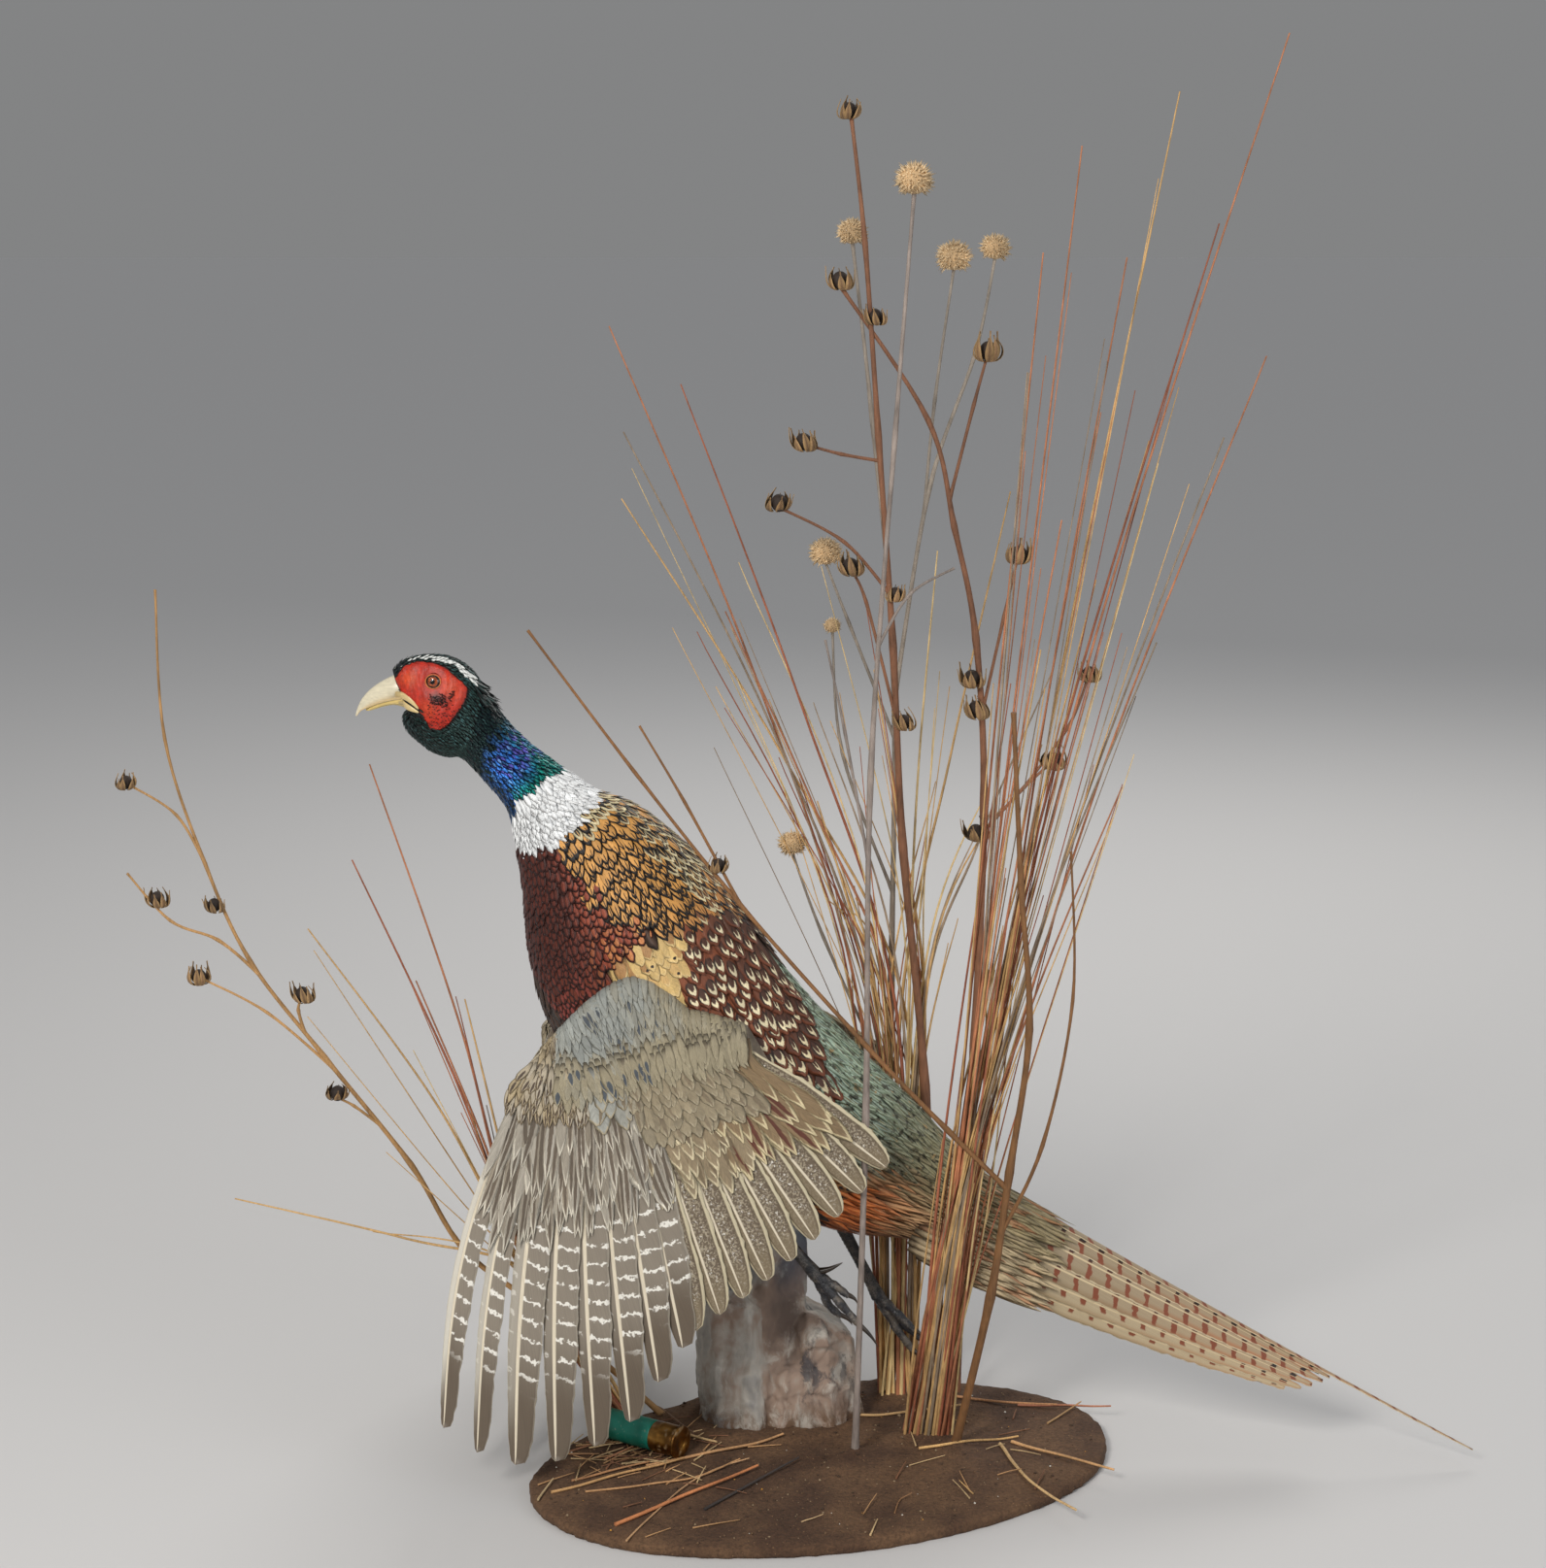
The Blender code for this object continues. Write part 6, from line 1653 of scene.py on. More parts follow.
def coverHead():
    # the smallest feathers: dark crown and throat, the pale stripe, the black specks on the cheek
    stripe = ((0, 14), (9, 14), (21, 18), (37, 26), (47, 22), (58, 18))
    rng = np.random.default_rng(120)
    roots = rowsOver(bodySurface, 0.6, 62.0, 2.1, 2.3, (-math.pi, math.pi), 121)
    s, phi = roots[:, 0], np.abs(np.degrees(roots[:, 1]))
    keep = (patchInside(s, phi) < -0.2) & ~((s < 12) & (phi > 78) & (phi < 111 - 0.5 * s))
    rim = [np.stack([spot[:, 0], np.radians(spot[:, 1]) * side], -1) for side in bothSides.values()
           for spot in [patchRoots(1.25, 14.0, 50.0, lambda a, b: (np.abs(patchInside(a, b) + 0.5) < 1.3)
                                   & ((a > 30) | (b > 104)), 122)]]
    roots = np.concatenate([roots[keep]] + rim)
    s, phi = roots[:, 0], np.abs(np.degrees(roots[:, 1]))
    n = len(roots)
    off = np.abs(phi - bySide(s, stripe)) * face["degree"]
    pale = (off < 1.95 + rng.normal(0, 0.25, n)) & (s > 4) & (s < 53)
    pale &= rng.random(n) < smoothStep(-8, 20, s)
    ground = plain(n, 18, 28, 26)
    heart = plain(n, 24, 58, 54)
    glint = rng.random(n) < 0.16
    heart[glint] = tone(48, 88, 88)
    ground[pale] = tone(222, 226, 222)
    heart[pale] = tone(236, 238, 234)
    front = (s < 8) & (rng.random(n) < 0.25) & (phi < 40)
    heart[front] = tone(170, 176, 168)
    turn = np.sign(roots[:, 1]) * np.where(s < 40, 0.12, 0.0)
    size = np.interp(s, (0, 12, 62), (3.2, 4.4, 6.6))
    low = np.where(s < 3, -0.2, -0.4)
    plan = {"length": size * rng.normal(1, 0.1, n), "width": size * 0.5,
            "turn": turn + rng.normal(0, 0.12, n), "low": low + 0.5, "rise": 0.9 + 0.4 * pale, "camber": 0.5}
    marks = (0.12, 0.45, 0.7, 0.3)
    looks = vaneLooks(rng, ground, ground * 0.8, heart, marks, np.where(pale, 0.0, 0.45))
    crown = growCoat("coat_head", bodySurface, roots, plan, looks)
    beard = rowsOver(chinSurface, 0.4, chinRun[-1] - 0.5, 1.7, 1.9, (-1.6, 1.6), 124)
    n = len(beard)
    plan = {"length": rng.uniform(3.6, 5.2, n), "width": 2.0, "turn": rng.normal(0, 0.15, n), "low": 0.0,
            "rise": rng.uniform(0.9, 1.6, n), "camber": 0.5}
    ground = plain(n, 16, 24, 24)
    looks = vaneLooks(rng, ground, ground * 0.8, plain(n, 24, 52, 52), marks, 0.45)
    beard = growCoat("beard", chinSurface, beard, plan, looks,
                     lambda r: bodyBake(np.stack([r[:, 0] * 0.5, math.pi - r[:, 1] * 0.4], -1)))
    crown = joined("coat_head", [crown, beard])
    # specks: short black feathers on the bare cheek and thick below and behind the eye
    spots = []
    for side in bothSides.values():
        cheek = patchRoots(1.75, 18.0, 42.0, lambda a, b: (patchInside(a, b) > 1.0) & (b > 80)
                           & (b < 112) & (a > 19) & (a < 37), 130)
        under = patchRoots(0.75, 16.0, 36.0, lambda a, b: (np.abs(a - 25.5 - (b - 76) * 0.10) < 5.6)
                           & (np.abs(b - 79) < 6.5) & (eyeAway(a, b) > 4.9), 131)
        behind = patchRoots(0.7, 30.0, 37.0,
                            lambda a, b: np.hypot(a - 33.4, (b - 70) * 0.31 + (a - 33.4) * 0.7) < 1.7, 132)
        both = np.concatenate([cheek, under, behind])
        spots.append(np.stack([both[:, 0], np.radians(both[:, 1]) * side], -1))
    spots = np.concatenate(spots)
    m = len(spots)
    plan = {"length": rng.uniform(1.3, 2.2, m), "width": rng.uniform(0.45, 0.75, m),
            "turn": rng.normal(0.3, 0.3, m), "low": 0.05, "rise": 0.75}
    dark = plain(m, 16, 12, 12)
    specks = growCoat("cheek_specks", bodySurface, spots, plan,
                      vaneLooks(rng, dark, dark, dark, (0.1, 0.1, 0.5, 0.1)))
    return [crown, specks]


def makeTufts(side):
    # the small horns of black feathers behind the crown
    rng = np.random.default_rng(140)
    n = 26
    t = rng.random(n)
    roots = np.stack([44.0 + 9.0 * t, np.radians(26.0 + rng.uniform(-9, 9, n)) * side], -1)
    plan = {"length": 11.0 + 6.0 * t * rng.uniform(0.6, 1.0, n), "width": 3.0,
            "turn": rng.normal(-0.1 * side, 0.16, n), "low": 0.2, "rise": rng.uniform(2.6, 5.2, n),
            "camber": 0.6, "curve": rng.normal(0, 0.05, n)}
    dark = plain(n, 12, 18, 18)
    looks = vaneLooks(rng, dark, dark, plain(n, 18, 50, 48), (0.1, 0.4, 0.6, 0.3), 0.5)
    return growCoat("ear_tuft", bodySurface, roots, plan, looks, grid=(2, 5), outline="lance")

legs = {
    "left": {
        "thigh": ((-84.0, 42.0, 226.0), (-66.0, 35.0, 202.0), (-52.0, 31.0, 181.0)),
        "hock": (-51.0, 30.5, 179.5), "foot": (-9.0, 33.0, 127.0),
        "toes": (((8.0, 27.0, 108.0), (32.0, 25.0, 79.0)), ((0.0, 36.0, 104.0), (15.0, 37.0, 90.0)),
                 ((6.0, 29.0, 119.0), (18.0, 28.0, 109.0)), ((-4.0, 40.0, 122.0), (1.0, 42.0, 112.0))),
        "spur": ((-14.0, 33.0, 134.0), (8.0, 29.0, 137.0)),
    },
    "right": {
        "thigh": ((-40.0, 106.0, 186.0), (-14.0, 104.0, 160.0), (7.0, 101.0, 141.0)),
        "hock": (8.0, 100.5, 139.5), "foot": (35.0, 98.0, 86.0),
        "toes": (((50.0, 96.0, 60.0), (69.0, 95.0, 34.0)), ((56.0, 100.0, 62.0), (85.0, 101.0, 39.0)),
                 ((52.0, 92.0, 72.0), (66.0, 88.0, 58.0)), ((38.0, 104.0, 76.0), (44.0, 108.0, 66.0))),
        "spur": ((31.0, 98.0, 93.0), (46.0, 95.0, 74.0)),
    },
}


girths = {  # shares of the length with the radius there
    "thigh": ((0.0, 21.0), (0.5, 13.0), (1.0, 5.6)),
    "shank": ((0, 5.2), (0.12, 4.5), (0.5, 3.7), (0.85, 4.1), (1.0, 5.0)),
    "toe": ((0, 4.4), (0.18, 3.3), (0.30, 3.7), (0.45, 2.8), (0.56, 3.2), (0.72, 2.4), (0.84, 2.7),
            (1.0, 1.7)),
    "claw": ((0, 1.9), (0.4, 1.5), (0.8, 0.75), (1.0, 0.2)),
    "spur": ((0, 2.9), (0.35, 2.2), (0.8, 1.0), (1.0, 0.3)),
}


def tubeSurface(points, radii, flat=1.0):
    # p runs along the tube in millimetres, q round it
    rows = curveTable(points, 16)
    run = runAlong(rows)
    ways = unit(np.gradient(rows, axis=0))
    side = unit(np.cross(ways, (0.0, 1.0, 0.0)))
    other = np.cross(side, ways)
    table = np.array(radii, float).T

    def surface(p, q, relief=0.0):
        p, q = np.broadcast_arrays(np.asarray(p, float), np.asarray(q, float))
        p = np.clip(p, 0.0, run[-1])
        take = lambda grid: np.stack([np.interp(p, run, grid[:, k]) for k in range(3)], -1)
        radius = (np.interp(p / run[-1], *table) + relief)[..., None]
        out = take(side) * np.cos(q)[..., None] + take(other) * np.sin(q)[..., None] * flat
        place = take(rows) + out * radius
        return place, unit(out)
    surface.length = float(run[-1])
    return surface


def tubeForm(name, surface, material, rows, columns, relief, close):
    # a closed tube over a surface; relief(p, q) adds height, close is how far both end points stand out
    p = np.linspace(0.0, surface.length, rows)
    q = np.linspace(-math.pi, math.pi, columns, endpoint=False)
    p, q = np.meshgrid(p, q, indexing="ij")
    lift = relief(p, q) if relief else 0.0
    verts = surface(p, q, lift)[0].reshape(-1, 3)
    middle = verts.reshape(rows, columns, 3)
    ends = []
    for row in (0, rows - 1):
        centre = middle[row].mean(0)
        inner = middle[1 if row == 0 else rows - 2].mean(0)
        ends.append(centre + (centre - inner) / max(np.linalg.norm(centre - inner), 1e-6) * close)
    return closedForm(name, np.concatenate([verts, ends]), gridFaces(rows, columns, True),
                      [fanCaps(rows, columns)], material, None, tubeUnwrap(p, q, surface.length))


def thighSurface(end):
    return tubeSurface(legs[end]["thigh"], girths["thigh"], flat=0.85)


def scaleMaterial():
    # overlapping plates are in the form; the shader adds the small scales between them and their edges
    tree = Finish("leg_scales", tone(52, 54, 58), 0.42)
    place = tree.objectPlace()
    cell = tree.spot(place, 620.0, feature="DISTANCE_TO_EDGE")
    groove = tree.fall(cell, 0.02, 0.14)
    colour = tree.mix(tree.step(tree.noise(place, 160.0, 3.0), 0.42, 0.62), tone(58, 59, 63),
                      tone(104, 99, 94))
    colour = tree.mix(tree.times(groove, 0.7), colour, tone(22, 22, 24))
    colour = tree.mix(tree.times(tree.step(tree.noise(place, 70.0, 2.0), 0.56, 0.70), 0.5), colour,
                      tone(140, 128, 112))
    return tree.finish(colour, bump=(tree.scaleAdd(groove, -1.0, 1.0), 0.5, 0.0003))


def clawMaterial():
    tree = Finish("claw_horn", tone(34, 30, 28), 0.3)
    place = tree.objectPlace()
    return tree.finish(tree.mix(tree.noise(place, 240.0, 3.0), tone(22, 19, 18), tone(74, 62, 50)),
                       bump=(tree.noise(place, 900.0, 2.0), 0.15, 0.0002))


def plates(pitch, depth, spread):
    # a saw of overlapping plates down the front of a limb, flat on its back
    def relief(p, q):
        front = smoothStep(math.pi - spread - 0.35, math.pi - spread + 0.35, np.abs(q))
        lean = p / pitch + 0.5 * (np.sin(q) > 0)
        return depth * (np.remainder(lean, 1.0) ** 0.6 - 0.4) * front
    return relief


def makeToe(foot, way, bend, tip, scales, horn):
    # the scaled toe and the claw at its end, arched upwards
    path = (foot - way * 2.0, foot * 0.45 + np.array(bend) * 0.55, bend, tip)
    whole = curveTable(path, 10)
    toe = tubeSurface(whole[: int(len(whole) * 0.86)], girths["toe"])
    last = whole[int(len(whole) * 0.80):]
    arch = np.cross(unit(last[-1] - last[0]), (0.0, -1.0, 0.0))
    arch *= 1.0 if arch[0] > 0 else -1.0
    share = np.linspace(0.0, 1.0, len(last))[:, None]
    last = last + arch * (np.sin(share * math.pi) * 1.3)
    return (tubeForm("toe", toe, scales, 90, 20, plates(2.6, 0.5, 1.9), 1.2),
            tubeForm("claw", tubeSurface(last, girths["claw"]), horn, 20, 12, None, 0.6))


def makeLeg(end, scales, horn):
    plan = legs[end]
    hock, foot = np.array(plan["hock"]), np.array(plan["foot"])
    way = (foot - hock) / np.linalg.norm(foot - hock)
    knee = hock - way * 3.0
    shank = tubeSurface((knee, (knee + foot) / 2, foot), girths["shank"])
    tarsus = tubeForm("scaled_shank_" + end, shank, scales, 150, 28, plates(3.1, 0.55, 1.25), 2.0)
    settle(tarsus, "leg_scales", "tarsus_" + end)
    toes, claws = zip(*(makeToe(foot, way, bend, tip, scales, horn) for bend, tip in plan["toes"]))
    root, tip = np.array(plan["spur"])
    base = foot * 0.7 + root * 0.3
    bend = (base + tip) / 2 + np.array((0.0, 0.0, -1.5))
    spur = tubeForm("spur", tubeSurface((base, bend, tip), girths["spur"]), horn, 30, 14, None, 0.6)
    settle(joined("toes_" + end, toes), "leg_scales", "foot_" + end)
    settle(joined("claws_" + end, [*claws, spur]), "leg_scales")


def thighForm(end):
    form = tubeForm("thigh_form", thighSurface(end), skinFinish, 40, 32, lambda p, q: -0.8 + 0.0 * p, 1.5)
    giveColour(form, "paint", plain(len(form.data.vertices), 36, 28, 24))
    return form


def coverThigh(end):
    surface = thighSurface(end)
    rng = np.random.default_rng(71 if end == "left" else 72)
    roots = rowsOver(surface, 0.0, surface.length - 3.0, 3.6, lambda p: 4.2 - 1.6 * p / surface.length,
                     (-math.pi, math.pi), 17)
    n = len(roots)
    share = roots[:, 0] / surface.length
    dark = tone(44, 34, 28) * rng.normal(1.0, 0.16, (n, 1)).clip(0.6, 1.5)
    looks = vaneLooks(rng, dark, dark * 0.8, dark * 1.6, gloss=0.04)
    plan = {"length": (16.0 - 8.5 * share) * rng.normal(1.0, 0.1, n), "width": 6.4 - 3.6 * share,
            "turn": rng.normal(0, 0.12, n), "low": 0.2, "rise": 1.8 - 0.8 * share, "camber": 0.4,
            "curve": rng.normal(0, 0.05, n)}
    bakeAt = lambda r: bakeSpot(r[:, 0], surface.length, r[:, 1])
    return growCoat("coat_thigh_" + end, surface, roots, plan, looks, bakeAt, grid=(2, 4), outline="hair")


scaleFinish, clawFinish = scaleMaterial(), clawMaterial()
for end in legs:
    makeLeg(end, scaleFinish, clawFinish)
    settle(coverThigh(end), "copper_plumage")
print("legs are in place")

headCoat = coverHead()
warts = makeBumps()
lids = [makeLids(side) for side in bothSides.values()]
skin = joined("skin", [skin, warts, chinForm()] + lids + [thighForm(end) for end in legs])
settle(skin, "red_skin", "head", "neck", "trunk", "thigh_left", "thigh_right")
for piece in headCoat:
    settle(piece, "green_black_plumage")
for name, side in bothSides.items():
    settle(makeEye(side), "glass_eye", "eye_" + name)
    tuft = makeTufts(side)
    tuft.name = tuft.data.name = "ear_feathers_" + name
    settle(tuft, "green_black_plumage", "ear_tuft_" + name)
settle(makeBill(), "bill_horn", "bill_upper", "bill_lower")
print("head is in place")

board = {"length": 398.0, "width": 248.0, "height": 8.0, "turn": math.radians(18.5), "centre": (-4.0, 6.0),
         "rings": 84, "sides": 260, "grit": 900}


def boardPoint(radius, angle):
    x = radius * board["length"] / 2 * np.cos(angle)
    y = radius * board["width"] / 2 * np.sin(angle)
    c, s = math.cos(board["turn"]), math.sin(board["turn"])
    return board["centre"][0] + x * c - y * s, board["centre"][1] + x * s + y * c


def soilHeight(x, y):
    # uneven soil, mounded a little round every plant and along the foot of the rock
    waves = (np.sin(0.071 * x + 1.3) * np.sin(0.083 * y + 0.4) + 0.6 * np.sin(0.19 * x - 0.13 * y)
             + 0.35 * np.sin(0.43 * x + 0.37 * y + 2.0) * np.sin(0.31 * x - 0.52 * y))
    height = board["height"] + 0.45 * waves
    for plan in plants.values():
        px, py, wide = plan["plug"]
        height = height + 3.6 * np.exp(-((x - px) ** 2 + (y - py) ** 2) / (wide * wide * 1.1))
    for plan in grasses.values():
        px, py, wide, deep = plan["foot"]
        height = height + 3.2 * np.exp(-((x - px) / (wide + 4.0)) ** 2 - ((y - py) / (deep + 5.0)) ** 2)
    rock = np.exp(-(np.maximum(np.hypot((x + 40.0) / 58.0, (y - 78.0) / 44.0) - 1.0, 0.0) / 0.10) ** 2)
    return height + 2.6 * rock


def soilMaterial():
    tree = Finish("soil_ground", tone(92, 66, 46), 0.95)
    place = tree.objectPlace()
    coarse, fine = tree.noise(place, 22.0, 4.0), tree.noise(place, 420.0, 3.0, 0.7)
    colour = tree.mix(tree.step(coarse, 0.35, 0.65), tone(78, 55, 39), tone(104, 77, 54))
    colour = tree.mottled(colour, fine, 0.62, 1.35)
    grain = tree.fall(tree.spot(place, 330.0), 0.12, 0.2)
    colour = tree.mix(tree.times(grain, tree.step(tree.noise(place, 150.0), 0.55, 0.6)), colour,
                      tone(150, 116, 80))
    return tree.finish(colour, bump=(tree.scaleAdd(grain, 0.5, fine), 0.8, 0.0012))


def makeBoard():
    # a thin oval board covered in glued soil, with a crumbly edge
    rng = np.random.default_rng(5)
    angle = roundTurn(board["sides"])
    crumb = 1.0 + 0.004 * np.sin(7 * angle) + rng.normal(0, 0.0022, len(angle))
    rings = [(share, None) for share in np.linspace(0.004, 0.988, board["rings"])]
    rings += [(0.996, 6.8), (1.0, 5.0), (1.0, 2.0), (0.992, 0.0), (0.5, 0.0), (0.004, 0.0)]
    verts = []
    for share, z in rings:
        x, y = boardPoint(share * (1.0 + (crumb - 1.0) * smoothStep(0.6, 1.0, share)), angle)
        top = soilHeight(x, y) - 0.9 * smoothStep(0.95, 0.99, share) if z is None else np.full(len(x), z)
        top = top + (rng.normal(0, 0.10, len(x)) if z is None or z > 0.0 else 0.0)
        verts.append(np.stack([x, y, top], -1))
    verts = np.concatenate(verts)
    count = board["sides"]
    ring = np.arange(count)
    caps = np.array([ring, ring[::-1] + (len(rings) - 1) * count])
    item = closedForm("soil_board", verts, gridFaces(len(rings), count, True), [caps], soilMaterial())
    settle(item, "soil", "base")


def scatterGrit():
    # small stones and crumbs of plant, half sunk in the soil
    rng = np.random.default_rng(9)
    n = board["grit"]
    x, y = boardPoint(np.sqrt(rng.random(n)) * 0.965, rng.random(n) * 2 * math.pi)
    size = np.exp(rng.normal(-0.55, 0.45, n)).clip(0.25, 1.7)
    corner = np.array([(1, 0, 0), (0, 1, 0), (-1, 0, 0), (0, -1, 0), (0, 0, 0.8), (0, 0, -0.8)], float)
    jitter = 1.0 + rng.uniform(-0.35, 0.35, (n, 6, 1))
    spin = rng.random(n) * 6.3
    cos, sin = np.cos(spin)[:, None], np.sin(spin)[:, None]
    across, deep = corner[None, :, 0], corner[None, :, 1]
    turned = np.stack([across * cos - deep * sin, across * sin + deep * cos,
                       np.repeat(corner[None, :, 2], n, 0)], -1)
    middle = np.stack([x, y, soilHeight(x, y) + size * 0.25], -1)
    verts = turned * jitter * size[:, None, None] + middle[:, None]
    side = np.array([(0, 1, 4), (1, 2, 4), (2, 3, 4), (3, 0, 4), (1, 0, 5), (2, 1, 5), (3, 2, 5), (0, 3, 5)])
    faces = (side[None] + (np.arange(n) * 6)[:, None, None]).reshape(-1, 3)
    item = fastMesh("grit", verts.reshape(-1, 3), faces)
    tree = Finish("grit_stone", tone(120, 100, 80), 0.85)
    item.data.materials.append(tree.finish(tree.attribute("paint")))
    kinds = np.array([tone(70, 52, 38), tone(112, 86, 62), tone(150, 128, 100), tone(214, 208, 196),
                      tone(208, 150, 60)])
    pick = rng.choice(5, n, p=(0.42, 0.36, 0.17, 0.03, 0.02))
    giveColour(item, "paint", np.repeat(kinds[pick], 6, 0))
    return settle(item, "soil")


def stoneMaterial():
    # weathered chert: grey white and blue grey, rust in the hollows, dark lichen specks
    tree = Finish("chert", tone(150, 142, 134), 0.8)
    place = tree.objectPlace()
    warp = tree.add("ShaderNodeVectorMath", {0: place, 1: tree.scaled(tree.noise(place, 24.0, 3.0, out=1),
                                                                      (0.03, 0.03, 0.03))}, operation="ADD")
    warp = tree.scaled(warp, (1.0, 1.0, 0.55))
    big = tree.noise(warp, 19.0, 4.0, 0.6)
    colour = tree.ramp(big, [(0.30, tone(80, 88, 102)), (0.42, tone(134, 132, 130)),
                             (0.52, tone(184, 178, 168)), (0.60, tone(158, 136, 120)),
                             (0.72, tone(118, 102, 92))])
    white = tree.step(tree.noise(warp, 34.0, 5.0, 0.65), 0.52, 0.66)
    colour = tree.mix(tree.times(white, 0.75), colour, tone(214, 208, 196))
    high = tree.add("ShaderNodeSeparateXYZ", {0: place}, out=2)
    blue = tree.times(tree.step(high, 0.085, 0.135), tree.step(tree.noise(warp, 26.0, 3.0), 0.40, 0.56))
    colour = tree.mix(tree.times(blue, 0.75), colour, tone(74, 92, 112))
    speck = tree.noise(warp, 64.0, 7.0, 0.72)
    band = tree.step(tree.noise(warp, 15.0, 2.0, out=1), 0.50, 0.62)
    dark = tree.times(tree.step(speck, 0.52, 0.62), band)
    colour = tree.mix(tree.times(dark, 0.8), colour, tone(52, 56, 64))
    dust = tree.times(tree.fall(high, 0.010, 0.034), tree.step(speck, 0.40, 0.56))
    colour = tree.mix(dust, colour, tone(104, 78, 56))
    return tree.finish(colour, bump=(tree.plus(tree.noise(warp, 120.0, 6.0, 0.7), tree.times(dark, -0.4)),
                                     0.55, 0.002))


rock = {"voxel": 0.0016, "foot": 0.0078, "chips": 1.3, "swell": 0.8, "grain": 0.4, "crack": 1.6,
        "crackWidth": 0.10}


def makeRock():
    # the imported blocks, remeshed fine and worn: chips along the edges, hollows and cracks in the faces
    source = cadNodes["rock"]
    mesh = source.data.copy()
    mesh.transform(source.matrix_world)
    item = placed("rock_stone", mesh)
    faceOut(item, 1e-6)
    remesh = item.modifiers.new("remesh", "REMESH")
    remesh.mode = "VOXEL"
    remesh.voxel_size = rock["voxel"]
    graph = bpy.context.evaluated_depsgraph_get()
    fine = bpy.data.meshes.new_from_object(item.evaluated_get(graph))
    item.modifiers.remove(remesh)
    item.data = fine
    work = bmesh.new()
    work.from_mesh(fine)
    for _ in range(2):
        bmesh.ops.smooth_vert(work, verts=work.verts, factor=0.5, use_axis_x=True, use_axis_y=True,
                              use_axis_z=True)
    work.to_mesh(fine)
    work.free()
    count = len(fine.vertices)
    verts, normals = np.zeros(count * 3, np.float32), np.zeros(count * 3, np.float32)
    fine.vertices.foreach_get("co", verts)
    fine.vertex_normals.foreach_get("vector", normals)
    verts, normals = verts.reshape(-1, 3).astype(float), normals.reshape(-1, 3)
    lift = np.zeros(count)
    for k, point in enumerate(verts):
        p = Vector(point) * 1000.0
        q = Vector((p.x, p.y, p.z * 0.45))
        step = noise.cell(q * 0.07 + Vector((0.3, 0.1, 0.2)) * noise.noise(p * 0.05))
        away = abs(noise.noise(q * 0.035 + Vector((7.0, 3.0, 1.0))))
        lift[k] = (rock["chips"] * step + rock["swell"] * noise.noise(q * 0.11)
                   + rock["grain"] * noise.noise(p * 0.38)
                   - rock["crack"] * max(0.0, rock["crackWidth"] - away) / rock["crackWidth"]) - 0.4
    verts = verts + normals * (lift[:, None] * mm)
    verts[:, 2] = np.maximum(verts[:, 2], rock["foot"])
    fine.vertices.foreach_set("co", verts.astype(np.float32).ravel())
    fine.materials.clear()
    fine.materials.append(stoneMaterial())
    fine.shade_smooth()
    fine.update()
    return settle(item, "stone", "rock")


shell = {"head": (-99.0, 5.0, 19.5), "way": (-0.842, 0.54, 0.0), "length": 70.0, "brass": 21.0, "rim": 1.6,
         "radius": 10.2, "rimRadius": 11.2}


